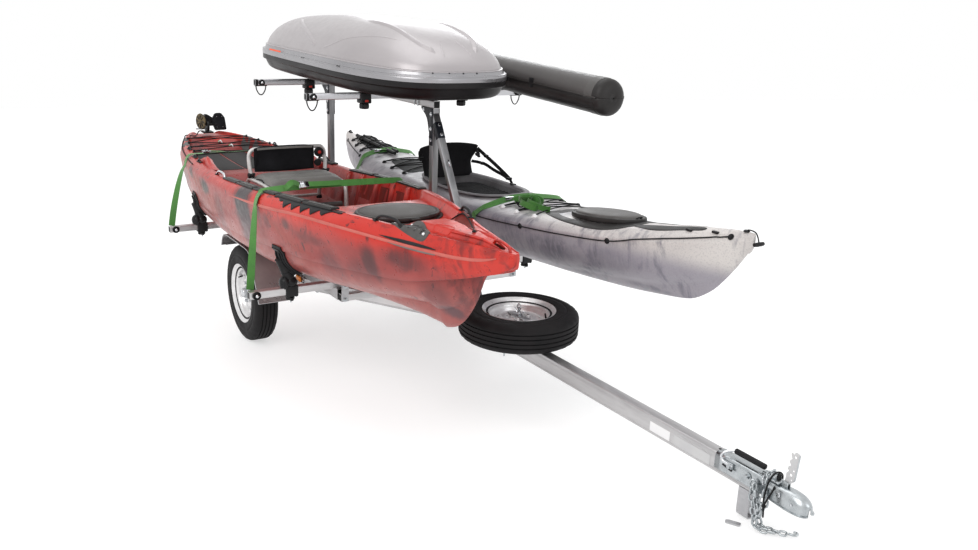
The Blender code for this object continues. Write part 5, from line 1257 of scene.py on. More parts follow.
def rim(tag, c, axis, body, hub=True):
    c, a = Vector(c), Vector(axis).normalized()
    out_ = [(.0365, .0300), (.0380, .0235), (.0430, .0220), (.0500, .0226), (.0560, .0240), (.0640, .0262), (.0760, .0268), (.0840, .0250), (.0960, .0170),
            (.1080, .0105), (.1170, .0098), (.1250, .0120), (.1300, .0200), (.1330, .0300), (.1350, .0380), (.1400, .0430), (.1480, .0462), (.1520, .0475),
            (.1600, .0535), (.1690, .0612), (.1712, .0640), (.1722, .0650), (.1728, .0640), (.1722, .0618), (.1640, .0560), (.1560, .0500), (.1500, .0470), (.1436, .0468)]
    back_ = [(.1436, .030), (.1376, .026), (.1376, -.026), (.1436, -.030), (.1436, -.0468), (.1500, -.0470), (.1560, -.0500), (.1640, -.0560), (.1722, -.0618),
             (.1728, -.0640), (.1712, -.0650), (.1690, -.0612), (.1520, -.0475), (.1400, -.0430), (.1352, -.0380), (.1352, .0000), (.1250, .0042), (.1170, .0020),
             (.1080, .0025), (.0960, .0092), (.0840, .0175), (.0760, .0190), (.0500, .0150), (.0365, .0150)]
    parts = [with_mat(turn(out_ + back_, c, a, 72, closed=True), RIMM)]
    e1 = Vector((0, 0, 1)) if abs(a.z) < .9 else Vector((1, 0, 0))
    e1 = (e1 - a * e1.dot(a)).normalized()
    e2 = a.cross(e1)
    for k in range(5):
        t = 2 * math.pi * k / 5 + .35
        d = e1 * math.cos(t) + e2 * math.sin(t)
        p = c + d * .0570 + a * .0242
        if hub:
            parts.append(with_mat(turn([(.0105, 0), (.0118, .0015), (.0100, .0042)], p, a, 16), ZINC))
            parts.append(with_mat(turn([(.0098, .003), (.0098, .0130), (.0080, .0158), (.0001, .0160)], p, a, 6), CHROME))
        else:
            parts.append(with_mat(turn([(.0085, .0002), (.0105, .0018), (.0120, .0004), (.0120, -.004)], p, a, 16), RIMM))
            parts.append(with_mat(turn([(.0084, .0008), (.0001, .0008)], p, a, 16), BLACK))
    for k in range(10):
        t = 2 * math.pi * (k + .5) / 10 + .35
        d = e1 * math.cos(t) + e2 * math.sin(t)
        parts.append(with_mat(turn([(.0072, -.0004), (.0090, .0012), (.0098, .0004), (.0098, -.003)], c + d * .1015 + a * .0138, a + d * .45, 16), RIMM))
        parts.append(with_mat(turn([(.0072, .0006), (.0001, .0006)], c + d * .1015 + a * .0138, a + d * .45, 16), BLACK))
    t = 1.0
    d = e1 * math.cos(t) + e2 * math.sin(t)
    parts.append(with_mat(rod([c + d * .128 + a * .016, c + d * .1245 + a * .030, c + d * .122 + a * .044], lambda u: .0042 if u < .6 else .0036, 10), BLACK))
    if hub:
        parts.append(with_mat(turn([(.0159, -.030), (.0355, -.030), (.0362, -.010), (.0362, .034), (.0350, .0365), (.0290, .0372), (.0288, .0440), (.0275, .0478),
                                    (.0200, .0480), (.0159, .0480)], c, a, 40, closed=True), ZINC))
        parts.append(with_mat(turn([(.0270, .0440), (.0280, .0470), (.0272, .0560), (.0235, .0600), (.0120, .0620), (.0001, .0625)], c, a, 32), CHROME))
    piece(f"rim_steel_{tag}", parts, body, angle=42, over=(f"wheel_{tag}",))


for side, s in SIDES:
    tyre(side, (0, s * .688, .280), (0, s, 0), f"wheel_{side}")
    rim(side, (0, s * .688, .280), (0, s, 0), f"wheel_{side}")
SX, SZ = 1.722, .5380
tyre("spare", (SX, 0, SZ), (0, 0, 1), "trailer")
rim("spare", (SX, 0, SZ), (0, 0, 1), "trailer", hub=False)

# spare carrier: plate, stud, clamp bar, wing nut and a turned eye
parts = [with_mat(rbox((SX - .075, -.060, TTOP + GAP), (SX + .075, .060, .4755), .002), GALV),
         with_mat(rod([(SX, 0, .4655), (SX, 0, .606)], .0064, 14), ZINC),
         with_mat(rbox((SX - .066, -.020, .5640), (SX + .066, .020, .5695), .002), GALV),
         with_mat(turn([(.0175, 0), (.0175, .0022), (.008, .0024)], (SX, 0, .5695), (0, 0, 1), 24), ZINC),
         with_mat(turn([(.0115, 0), (.0115, .004), (.0095, .012), (.0065, .0135)], (SX, 0, .5725), (0, 0, 1), 20), CHROME)]
for q in (-1, 1):
    parts.append(with_mat(rod(curve_pts([(SX + q * .008, 0, .578), (SX + q * .021, .001, .5835), (SX + q * .033, .001, .592), (SX + q * .037, 0, .599)], 4),
                              lambda u: .0052 - .0018 * u, 10, flat=.55), CHROME))
eye = [(SX + .0135 * math.sin(t), 0, .6105 - .0135 * math.cos(t)) for t in (2 * math.pi * k / 22 for k in range(23))]
parts.append(with_mat(rod(eye, .0034, 10, caps=False), CHROME))
for y in (-.034, .034):
    parts.append(with_mat(rod([(SX - .055, y, .4685), (SX - .055, y, .352 if y < 0 else .372)], .0045, 12), ZINC))
    parts.append(with_mat(hexhead((SX - .055, y, .3795), (0, 0, -1), .0135, .008), ZINC))
    parts.append(with_mat(hexhead((SX - .055, y, .4756), (0, 0, 1), .0135, .007), ZINC))
parts.append(with_mat(rbox((SX - .068, -.046, .3800), (SX - .040, .046, .3857), .0015), GALV))
piece("spare_carrier_set", parts, over=("spare_carrier",))

# ------------------------------------------------------------------ coupler
so = .0254 + GAP + .004
ST = [(3.010, so, .4665, 0), (3.06, so, .4665, 0), (3.12, so, .4665, 0), (3.192, so, .4665, 0), (3.214, .0294, .4659, .15), (3.235, .0290, .4650, .3), (3.262, .0296, .4622, .45),
      (3.290, .0310, .4600, .6), (3.312, .0335, .4622, .75), (3.332, .0352, .4648, .9), (3.350, .0358, .4645, 1), (3.366, .0352, .4622, 1), (3.380, .0328, .4575, 1),
      (3.391, .0285, .4515, 1), (3.399, .0225, .4450, 1), (3.404, .0150, .4385, 1), (3.406, .0070, .4335, 1)]
rings = []
for x, w, zt, dome in ST:
    z0 = .4048
    h = zt - z0
    pts = []
    for k in range(13):
        t = math.pi * k / 12
        # from a flat-topped channel to a round dome
        n = mixf(5.2, 2.3, dome)
        cy, cz = math.cos(t), math.sin(t)
        pts.append((x, -math.copysign(abs(cy) ** (2 / n), cy) * w, z0 + .006 + (h - .006) * abs(cz) ** (2 / n)))
    lip = .0055 * min(1, dome * 1.6)
    ring = [(x + (.004 * dome if x > 3.38 else 0), -w - lip, z0), (x + (.004 * dome if x > 3.38 else 0), -w - lip, z0 + .0030), (x, -w - .0003, z0 + .0042)] + pts \
        + [(x, w + .0003, z0 + .0042), (x + (.004 * dome if x > 3.38 else 0), w + lip, z0 + .0030), (x + (.004 * dome if x > 3.38 else 0), w + lip, z0)]
    rings.append(ring)
v, f = loft(rings, close=False, cap0=False, cap1=False)
cp = piece("coupler_shell", [(v, f, ZINC)], over=("coupler",), angle=48)
md = cp.modifiers.new("wall", "SOLIDIFY")
md.thickness = .0034
md.offset = -1
parts = [with_mat(rod([(3.300, -.0385, .4400), (3.300, .0385, .4400)], .0062, 14), ZINC)]
for s in (-1, 1):
    parts.append(with_mat(rbox((3.288, min(s * .0045, s * .0085), .4560), (3.312, max(s * .0045, s * .0085), .4825), .0012), ZINC))
    parts.append(with_mat(turn([(.0085, 0), (.0085, .003), (.006, .0048), (.0001, .0052)], (3.300, s * .0330, .4400), (0, s, 0), 20), CHROME))
    for x in (3.035, 3.165):
        if s < 0 and x < 3.1:
            continue
        parts.append(with_mat(hexhead((x, s * (so + .0002), .4420), (0, s, 0), .0165, .008, thread=.003), ZINC))
    parts.append(with_mat(turn([(.0048, 0), (.0048, .0018), (.003, .003), (.0001, .0032)], (3.355, s * .0345, .4300), (0, s, 0), 14), CHROME))
parts.append(with_mat(rbox((3.196, -.020, .4648), (3.284, .020, .4700), .0018), ZINC))
parts.append(with_mat(rbox((3.205, -.012, .4690), (3.262, .012, .4775), .0022), ZINC))
parts.append(with_mat(turn([(.0092, 0), (.0092, .006), (.0070, .0125), (.0078, .0165), (.0062, .0205), (.0001, .0212)], (3.262, .0070, .4690), (.1, .1, 1), 18), BLACK))
parts.append(with_mat(rod(curve_pts([(3.222, -.020, .4720), (3.228, -.030, .4690), (3.232, -.0345, .4580), (3.236, -.0350, .4450)], 4), .0032, 10), CHROME))
piece("coupler_fittings", parts)

# latch lever: a drilled and notched plate with a bent flange
lx, lz = 3.300, .4725
outer = [(-.0075, .004), (-.0088, -.0008), (-.0060, -.0060), (0, -.0085), (.0060, -.0060), (.0088, -.0008), (.0110, .0030), (.0290, .0200), (.0315, .0300), (.0345, .0700),
         (.0380, .1180), (.0370, .1215), (.0310, .1235), (.0240, .1245), (.0180, .1215), (.0165, .1130), (.0060, .1180), (.0035, .1120), (.0065, .1020), (.0105, .0960),
         (.0040, .0905), (.0000, .0830), (.0050, .0770), (.0085, .0710), (-.0005, .0655), (-.0030, .0560), (.0030, .0490), (-.0050, .0400), (-.0060, .0200)]
holes = [circle(.0215, .1060, .0048, 12), circle(.0130, .0380, .0050, 12), circle(.0215, .0560, .0036, 10), circle(0, .0008, .0032, 10), circle(.0170, .0205, .0030, 10)]
v, f = plate(outer, holes, ((lx, -.0013, lz), (1, 0, 0), (0, 0, 1)), -.0026)
parts = [(v, f, LABEL2), with_mat(rbox((lx - .0045, -.0034, lz - .0045), (lx + .0045, .0034, lz + .0045), .001), ZINC),
         with_mat(rod([(lx, -.0092, lz), (lx, .0092, lz)], .0028, 12), CHROME)]
flange = [(lx + .0290, 0, lz + .0200), (lx + .0315, 0, lz + .0300), (lx + .0345, 0, lz + .0700), (lx + .0378, 0, lz + .1180)]
parts.append(with_mat(strip(flange, .0068, .0018, (0, 1, 0)), ZINC))
piece("latch_lever", parts, "latch", over=("coupler_latch",), bevel=.0004, segs=1)

# lift handle: bent bright rod along the tongue with a ribbed grip
line = curve_pts([(3.100, -.0370, .4480), (3.078, -.0374, .4490), (3.058, -.0376, .4520), (3.0465, -.0374, .4600), (3.0440, -.0362, .4700), (3.0480, -.0320, .4790), (3.0560, -.0225, .4862),
                  (3.0690, -.0100, .4912), (3.0850, -.0045, .4925), (3.110, -.004, .4925), (3.160, -.004, .4925), (3.208, -.004, .4925)], 5)
parts = [with_mat(rod(line, .0051, 14), CHROME), with_mat(rbox((3.040, -.0385, .4320), (3.100, -.0302, .4572), .003), ZINC)]
prof = []
n = 30
for k in range(n + 1):
    w = k / n * .133
    prof += [(.0104, w), (.0092, w + .0009), (.0092, w + .0022), (.0104, w + .0031)] if k < n else [(.0098, w)]
parts.append(with_mat(turn([(.0056, 0)] + prof[1:] + [(.0072, .1345), (.0001, .1350)], (3.078, -.004, .4925), (1, 0, 0), 22), BLACK))
parts.append(with_mat(hexhead((3.086, -.0385, .4445), (0, -1, 0), .0150, .0075), ZINC))
parts.append(with_mat(rod([(3.056, -.0385, .4400), (3.100, -.0392, .4330)], .0034, 10), BLACK))
piece("lift_handle_rod", parts, over=("lift_handle",))


# ------------------------------------------------------------------- chains
def chain(path, link=.0330, width=.0225, wire=.0040, twist0=0.0):
    P = curve_pts(path, 10)
    L = [0]
    for a, b in zip(P, P[1:]):
        L.append(L[-1] + (b - a).length)
    pitch_ = link - 2 * wire - .0012
    v, f = [], []
    k = 0
    s = link / 2
    F = frames(P)
    while s < L[-1] - link * .35:
        i = max(j for j in range(len(L)) if L[j] <= s)
        t = (s - L[i]) / max(1e-9, L[i + 1] - L[i]) if i + 1 < len(L) else 0
        c = P[i].lerp(P[min(i + 1, len(P) - 1)], t)
        T, a, b = F[i]
        ang = twist0 + (k % 2) * math.pi / 2 + .25 * math.sin(k * 1.7)
        u = a * math.cos(ang) + b * math.sin(ang)
        pts = []
        hl, hw = link / 2 - wire - (width / 2 - wire), width / 2 - wire
        for q in range(7):
            g = -math.pi / 2 + math.pi * q / 6
            pts.append(c + T * (hl + hw * math.cos(g)) + u * (hw * math.sin(g)))
        for q in range(7):
            g = math.pi / 2 + math.pi * q / 6
            pts.append(c + T * (-hl + hw * math.cos(g)) + u * (hw * math.sin(g)))
        pts.append(pts[0])
        q = rod(pts, wire, 8, ref=T.cross(u), caps=False)
        n = len(v)
        v += q[0]
        f += [tuple(j + n for j in g) for g in q[1]]
        s += pitch_
        k += 1
    return v, f


CH = [(3.202, -.0400, .438), (3.213, -.042, .425), (3.222, -.044, .400), (3.228, -.044, .370), (3.233, -.041, .340),
      (3.240, -.036, .312), (3.250, -.032, .2945), (3.266, -.028, .2935), (3.288, -.022, .2956), (3.310, -.014, .2978), (3.332, -.002, .2990)]
parts = [with_mat(chain(CH), ZINC),
         with_mat(chain([(3.204, -.0395, .452), (3.200, -.047, .436), (3.206, -.053, .405), (3.216, -.055, .372), (3.226, -.056, .340), (3.232, -.056, .318),
                         (3.244, -.058, .340), (3.250, -.056, .372), (3.252, -.052, .402), (3.250, -.046, .430), (3.246, -.040, .452)], twist0=.6), ZINC),
         with_mat(chain([(3.206, .036, .440), (3.202, .046, .428), (3.206, .050, .404), (3.220, .052, .380), (3.238, .050, .386), (3.252, .046, .410), (3.256, .038, .436)]), ZINC),
         with_mat(chain([(3.246, -.040, .452), (3.242, -.026, .4765), (3.238, -.006, .4835), (3.234, .014, .4820), (3.230, .030, .470), (3.226, .040, .452)], twist0=.4), ZINC),
         with_mat(chain([(3.236, -.056, .330), (3.242, -.058, .302), (3.256, -.052, .2935), (3.276, -.044, .2945), (3.296, -.034, .2962), (3.318, -.026, .2980)], twist0=.8), ZINC),
         with_mat(chain([(3.214, -.052, .452), (3.222, -.058, .425), (3.232, -.060, .395), (3.240, -.058, .366), (3.246, -.050, .345), (3.252, -.040, .360), (3.256, -.034, .392), (3.254, -.036, .430)], twist0=.3), ZINC)]
# clevis hook and a flat lug on the ground
hook = curve_pts([(3.330, .010, .2960), (3.346, .016, .2975), (3.352, .026, .2985), (3.345, .034, .2985), (3.333, .032, .2975)], 5)
parts.append(with_mat(rod(hook, .0042, 10), ZINC))
gz = lambda x: .08679 * x - .0011
lug = [(-.025, -.009), (-.021, -.0105), (.022, -.0105), (.026, -.007), (.026, .007), (.022, .0105), (-.019, .0105), (-.027, .006), (-.029, 0)]
parts.append(with_mat(prism(lug, ((3.168, -.079, gz(3.168) + .0006), (math.cos(.35), math.sin(.35), .08), (-math.sin(.35), math.cos(.35), 0)), .0055), GALV))
piece("safety_chain_links", parts, over=("safety_chain",), angle=60)


def laid_cord(name, path, dia, mt, body="trailer", sides=12, n=5):
    """A cord: a tube along its line."""
    P = curve_pts(path, n)
    ob = piece(name, [with_mat(rod(P, dia / 2, sides), mt)], body)
    return ob


knot = piece("cable_knot", [with_mat(ball((3.2735, -.0655, .3935), .0072, (0, 0, 1), 1.2), CORDM), with_mat(rod([(3.2735, -.0655, .3880), (3.2745, -.0650, .3700), (3.2750, -.0640, .3520)], .0030, 10), CORDM)])
laid_cord("cable_loop_aft", [(3.2500, .0330, .4350), (3.2520, .0400, .4520), (3.2540, .0360, .4720), (3.2560, .0200, .4870), (3.2580, -.0030, .4935), (3.2600, -.0260, .4870), (3.2620, -.0430, .4690),
                             (3.2640, -.0540, .4450), (3.2670, -.0620, .4200), (3.2720, -.0655, .3990)], .0062, CORDM)
laid_cord("cable_loop_fore", [(3.2860, -.0370, .4560), (3.2890, -.0440, .4660), (3.2900, -.0510, .4560), (3.2860, -.0580, .4380), (3.2800, -.0630, .4180), (3.2755, -.0660, .4000)],
          .0062, CORDM)

# ============================================================== upper tier
from mathutils.bvhtree import BVHTree

POST, POST_FX, POST_RX = .035, .8912, -.424
SPINE_Z0, SPINE = 1.4257, .038
UB, UBAR_Z0, UBAR_HALF, UBAR_XS = .03175, 1.4642, .635, (.0091, .7361)
TUBE_Y, TUBE_R, TUBE_X0, TUBE_X1 = .490, .0873, -.335, 1.704
BX, BY, BL, BW, BRIM = .336, -.036, 1.834 / 2, .835 / 2, 1.572
NAVY = plastic("gusset_paint", (.012, .014, .020), (.030, .034, .044), .24, .40, 260, .15)
GREY_BAND = plastic("tube_band", (.085, .082, .080), (.115, .110, .107), .30, .42, 500, .2, 6)
ORANGE = plastic("plain_patch", (.80, .10, .035), (.86, .14, .05), .35, .5, 400, .05)
INV = TM.inverted()


def field(ob):
    me = ob.data
    return BVHTree.FromPolygons([INV @ v.co for v in me.vertices], [tuple(p.vertices) for p in me.polygons])


def on(tree, p, lift=0.0):
    loc, nor, _, _ = tree.find_nearest(Vector(p))
    if nor.dot(Vector(p) - loc) < -1e-5:
        nor = nor if (Vector(p) - loc).length > 1e9 else nor
    return loc + nor * lift, nor


def drop(tree, x, y, z=1.45, lift=0.0):
    loc, nor, _, _ = tree.ray_cast(Vector((x, y, z)), Vector((0, 0, -1)))
    if loc is None:
        loc, nor, _, _ = tree.find_nearest(Vector((x, y, z - .3)))
    if nor.z < 0:
        nor = -nor
    return loc + nor * lift, nor


def ridge(tree, pts, width, height, n=6, taper=.16, sink=.0012):
    """A raised rib laid on a surface, with tapered ends."""
    P = [on(tree, p) for p in curve_pts(pts, n)]
    rows = []
    m = len(P)
    for i, (c, nor) in enumerate(P):
        t = i / (m - 1)
        k = min(1, t / taper, (1 - t) / taper)
        k = k * k * (3 - 2 * k)
        d = (P[min(i + 1, m - 1)][0] - P[max(i - 1, 0)][0]).normalized()
        a = d.cross(nor).normalized()
        rows.append([c + a * (u * width / 2 * (.35 + .65 * k)) + nor * (-sink + (height + sink) * k * h) for u, h in ((-1, 0), (-.66, .28), (-.3, .86), (0, 1), (.3, .86), (.66, .28), (1, 0))])
    v = [p for r in rows for p in r]
    f = [(i * 7 + j, i * 7 + j + 1, (i + 1) * 7 + j + 1, (i + 1) * 7 + j) for i in range(m - 1) for j in range(6)]
    return v, f


for tag, x, z0 in (("front", POST_FX, CROSS_Z0 + BAR + GAP), ("rear", POST_RX, TTOP + GAP)):
    parts = [with_mat(tube((x, 0, z0 + .004), (x, 0, SPINE_Z0 - GAP), POST, POST, .0028, .0036, ref=(1, 0, 0)), GALV_Z_SHADED),
             with_mat(rbox((x - POST / 2 - .002, -POST / 2 - .014, z0), (x + POST / 2, POST / 2 + .014, z0 + .005), .0015), GALV)]
    h = POST / 2
    prof = [(x - h + .001, SPINE_Z0 - .0006), (x - .105, SPINE_Z0 - .0006), (x - .1035, SPINE_Z0 - .010), (x - .092, SPINE_Z0 - .0195), (x - .074, SPINE_Z0 - .0290), (x - .058, SPINE_Z0 - .0400),
            (x - .045, SPINE_Z0 - .0545), (x - .035, SPINE_Z0 - .0740), (x - .028, SPINE_Z0 - .098), (x - .0225, SPINE_Z0 - .1180), (x - h + .001, SPINE_Z0 - .125)]
    for s in (-1, 1):
        v, f = prism(prof, ((0, s * (h + .0003) if s < 0 else h + .0029, 0), (1, 0, 0), (0, 0, 1)), .0026)
        parts.append((v, f, NAVY))
        lo, hi = sorted((s * (h + .0003), s * (h + .0030)))
        parts.append(with_mat(rbox((x - h - .001, lo, SPINE_Z0 - .190), (x + h, hi, SPINE_Z0 - .0006), .0010), NAVY))
        for bz in (SPINE_Z0 - .030, SPINE_Z0 - .105, SPINE_Z0 - .165):
            parts.append(with_mat(hexhead((x, s * (h + .0028), bz), (0, s, 0), .0125, .0055), CHROME))
        parts.append(with_mat(hexhead((x - .078, s * (h + .0028), SPINE_Z0 - .0135), (0, s, 0), .0105, .0050), CHROME))
        parts.append(with_mat(hexhead((x - .002, s * (h + .008), z0 + .005), (0, 0, 1), .0115, .0055), ZINC))
    inner = [(p, q) for p, q in prof[1:]]
    parts.append(with_mat(strip([(p, 0, q) for p, q in inner], 2 * h + .004, .0022, (0, 1, 0)), NAVY))
    # small side knob below the gusset
    parts.append(with_mat(turn([(.0085, 0), (.0090, .006), (.0060, .009), (.0110, .012), (.0118, .017), (.0090, .0215), (.0001, .022)], (x - h - .001, 0, SPINE_Z0 - .150), (-1, 0, 0), 20), BLACK))
    piece(f"post_tube_{tag}", parts, over=(f"post_{tag}",), angle=40)

parts = [with_mat(tube((-.570, 0, SPINE_Z0 + SPINE / 2), (.912, 0, SPINE_Z0 + SPINE / 2), SPINE, SPINE, .003, .0038), GALV_X)]
for x, g in ((-.570, -1), (.912, 1)):
    lo, hi = sorted((x - g * .005, x - g * .0002))
    parts.append(with_mat(rbox((lo, -.0158, SPINE_Z0 + .0032), (hi, .0158, SPINE_Z0 + SPINE - .0032), .0012), BLACK))
piece("spine_tube", parts, over=("spine",))

bx_ = lambda z: .905 + (1.408 - z) * .5605
drop_a = math.atan(.5605)
hdx = .015 / math.cos(drop_a)
xf_ = POST_FX + POST / 2 + GAP
zc_ = 1.408 - (xf_ + hdx - .905) / .5605
p0, p1 = Vector((xf_, 0, zc_)), Vector((bx_(TTOP + GAP) - hdx, 0, TTOP + GAP))
parts = [with_mat(tube(p0, p1, .038, .030, .0028, .0036, cut0=(1, 0, 0), cut1=(0, 0, 1), ref=(1, 0, .5)), GALV_Z_SHADED)]
d = (p1 - p0).normalized()
nb = Vector((d.z, 0, -d.x)) * -1
parts.append(with_mat(tube(p0 + d * .020, p0 + d * .105, .0402, .0322, .0010, .0036, ref=(1, 0, .5)), NAVY))
for t in (.035, .085):
    parts.append(with_mat(hexhead(p0 + d * t + nb * .0163, nb, .0120, .0055), CHROME))
for t in (-.06,):
    parts.append(with_mat(hexhead(p1 + d * t + nb * .0152, nb, .0140, .0065), ZINC))
c = p0.lerp(p1, .235) + nb * .0150
loop = [c + d * (.019 * math.cos(t)) + nb * (.016 * max(0, math.sin(t))) + Vector((0, .003 * math.cos(2 * t), 0)) for t in (math.pi * k / 12 for k in range(13))]
parts.append(with_mat(rod(loop, .0034, 10), CHROME))
piece("front_brace_tube", parts, over=("front_brace",), angle=40)

for tag, ux in zip(("rear", "front"), UBAR_XS):
    zm = UBAR_Z0 + UB / 2
    parts = [with_mat(tube((ux, -UBAR_HALF, zm), (ux, UBAR_HALF, zm), UB, UB, .0025, .0034), ALU)]
    for s in (-1, 1):
        lo, hi = sorted((s * (UBAR_HALF - .016), s * (UBAR_HALF - .0002)))
        parts.append(with_mat(rbox((ux - UB / 2 - .0007, lo, UBAR_Z0 - .0007), (ux + UB / 2 + .0007, hi, UBAR_Z0 + UB + .0007), .0022), BLACK))
        y = s * .600
        xo = ux + UB / 2
        parts.append(with_mat(turn([(.0001, .001), (.0165, .001), (.0178, .003), (.0165, .008), (.0135, .0095), (.012, .007), (.0001, .0045)], (xo, y, zm), (1, 0, 0), 24), BLACK_GLOSS))
        parts.append(with_mat(ball((xo + .0072, y, zm), .0086), CHROME))
        path = curve_pts([(ux, y - .026, UBAR_Z0 + .0005), (ux, y - .0275, UBAR_Z0 - .008), (ux, y - .0235, UBAR_Z0 - .026), (ux, y - .0120, UBAR_Z0 - .0455), (ux, y, UBAR_Z0 - .0515),
                          (ux, y + .0120, UBAR_Z0 - .0455), (ux, y + .0235, UBAR_Z0 - .026), (ux, y + .0275, UBAR_Z0 - .008), (ux, y + .026, UBAR_Z0 + .0005)], 4)
        parts.append(with_mat(rod(path, .0030, 10, ref=(1, 0, 0)), BLACK_GLOSS))
        parts.append(with_mat(rbox((ux - .0085, y - .034, UBAR_Z0 - .0038), (ux + .0085, y + .034, UBAR_Z0 - .0004), .001), BLACK_GLOSS))
        # box clamp: moulded jaws round the bar with a lobed hand wheel below
        yb = BY + s * .285
        parts.append(with_mat(rbox((ux - .030, yb - .028, UBAR_Z0 - .022), (ux + .030, yb + .028, UBAR_Z0 - .0006), .006, 3), BLACK))
        for g in (-1, 1):
            lo, hi = sorted((ux + g * (UB / 2 + .0006), ux + g * .030))
            parts.append(with_mat(rbox((lo, yb - .0265, UBAR_Z0 - .018), (hi, yb + .0265, UBAR_Z0 + UB - .0012), .004, 3), BLACK))
        wheel_ = []
        for z, k in ((0, .80), (-.003, .94), (-.008, 1.0), (-.021, 1.0), (-.0265, .94), (-.029, .78), (-.0285, .45), (-.0270, .2)):
            wheel_.append([(ux + (.0235 + .0016 * math.cos(7 * t)) * k * math.cos(t), yb + (.0235 + .0016 * math.cos(7 * t)) * k * math.sin(t), UBAR_Z0 - .0212 + z) for t in (2 * math.pi * q / 42 for q in range(42))])
        parts.append(with_mat(loft(wheel_), BLACK_GLOSS))
        parts.append(with_mat(rbox((ux + .0295, yb - .010, UBAR_Z0 - .014), (ux + .0325, yb + .010, UBAR_Z0 - .003), .0012), RUBRED if s < 0 else BLACK))
    # bolts that hold the bar down on the spine
    parts.append(with_mat(rbox((ux - .024, -.0300, UBAR_Z0 + UB + .0002), (ux + .024, .0300, UBAR_Z0 + UB + .0030), .001), GALV))
    for g in (-1, 1):
        for q in (-1, 1):
            parts.append(with_mat(rod([(ux + g * .0192, q * .0235, SPINE_Z0 - .004), (ux + g * .0192, q * .0235, UBAR_Z0 + UB + .003)], .0030, 10), ZINC))
            parts.append(with_mat(hexhead((ux + g * .0192, q * .0235, UBAR_Z0 + UB + .0030), (0, 0, 1), .0100, .0045, washer=False), ZINC))
    # cradle block under the gear tube
    zt = 1.590 - .042 * (ux - .75)
    out_ = [(TUBE_Y + (TUBE_R + .0016) * math.cos(t), zt + (TUBE_R + .0016) * math.sin(t)) for t in (math.radians(-150 + 120 * k / 20) for k in range(21))]
    zb = UBAR_Z0 + UB + .0004
    yl, yr = out_[0][0], out_[-1][0]
    shape = out_ + [(yr + .006, out_[-1][1] + .001), (yr + .007, out_[-1][1] - .012), (yr - .006, zb + .010), (yr + .004, zb + .007), (yr + .004, zb), (yl - .004, zb), (yl - .004, zb + .007),
                    (yl + .006, zb + .010), (yl - .007, out_[0][1] - .012), (yl - .006, out_[0][1] + .001)]
    v, f = prism(shape, ((ux - .018, 0, -.0008), (0, 1, 0), (0, 0, 1)), .036)
    parts.append((v, f, BLACK))
    piece(f"upper_bar_tube_{tag}", parts, over=(f"upper_bar_{tag}",), angle=40)


# ============================================================== cargo box
def plan_ring(a, b, n=112, nf=3.2, nr=6.0):
    r = []
    for i in range(n):
        t = 2 * math.pi * i / n
        c, s = math.cos(t), math.sin(t)
        e = nf if c > 0 else nr
        r.append((math.copysign(abs(c) ** (2 / e), c) * a, math.copysign(abs(s) ** (2 / e), s) * b))
    return r


def lid_rise(x, h):
    u = x / BL
    k = .925 - .11 * max(0.0, -u) ** 1.3 - .36 * max(0.0, (u - .4) / .6) ** 1.5
    return BRIM + min(h, .060) + max(0.0, h - .060) * k - .014 * x


def shells(keys, zfun, dens=4):
    rows = curve_pts(keys, dens)
    rings = [[(BX + x, BY + y, zfun(x, p.z)) for x, y in plan_ring(max(p.x, .02), max(p.y, .012))] for p in rows]
    return loft(rings, cap0=False, cap1=True)


A_, B_ = BL, BW
band = [(A_ - .004, B_ - .004, .0264), (A_ + .0002, B_ + .0002, .0270), (A_ + .0008, B_ + .0008, .0300), (A_ + .0008, B_ + .0008, .0530)]
edge = [(A_ + .0008, B_ + .0008, .0530), (A_ + .0004, B_ + .0004, .0556), (A_ - .0018, B_ - .0018, .0572), (A_ - .0060, B_ - .0060, .0578), (A_ - .0100, B_ - .0100, .0584)]
strp = [(A_ - .0100, B_ - .0100, .0584), (A_ - .0124, B_ - .0122, .0606), (A_ - .0152, B_ - .0146, .0700), (A_ - .0176, B_ - .0166, .0790), (A_ - .0184, B_ - .0172, .0812)]
bead = [(A_ - .0184, B_ - .0172, .0812), (A_ - .0174, B_ - .0162, .0830), (A_ - .0176, B_ - .0164, .0862), (A_ - .0200, B_ - .0186, .0884), (A_ - .0250, B_ - .0228, .0892), (A_ - .0275, B_ - .0248, .0912)]
dome = [(A_ - .0275, B_ - .0248, .0912), (A_ - .0300, B_ - .0270, .1010), (A_ - .0410, B_ - .0370, .1320), (A_ - .0640, B_ - .0570, .1680), (A_ - .0900, B_ - .0790, .1985), (A_ - .1240, B_ - .1080, .2255),
        (A_ - .1640, B_ - .1400, .2480), (A_ - .2150, B_ - .1770, .2660), (A_ - .2900, B_ - .2180, .2800), (A_ - .4000, B_ - .2700, .2905), (A_ * .38, B_ * .24, .2965), (A_ * .18, B_ * .11, .2985), (.03, .02, .2990)]
parts = []
for keys, mt, dens in ((band, SATIN, 2), (edge, SATIN, 3), (strp, SATIN, 3), (bead, SILVER, 3)):
    rows = curve_pts(keys, dens)
    parts.append(with_mat(loft([[(BX + x, BY + y, lid_rise(x, p.z)) for x, y in plan_ring(p.x, p.y)] for p in rows], cap0=False, cap1=False), mt))
dome_q = shells(dome, lid_rise, 4)
parts.append(with_mat(dome_q, SILVER))
lid_ob = piece("cargo_lid_shell", parts, "box_lid", over=("cargo_box_lid",), angle=50)
LIDT = field(lid_ob)
md = lid_ob.modifiers.new("wall", "SOLIDIFY")
md.thickness, md.offset = .0030, -1
parts = []
mir = lambda p: (p[0], 2 * BY - p[1], p[2])
rib1 = [(-.190, -.262, 1.838), (-.089, -.326, 1.813), (.030, -.357, 1.785), (.104, -.375, 1.767), (.229, -.398, 1.736), (.300, -.409, 1.713), (.347, -.418, 1.690)]
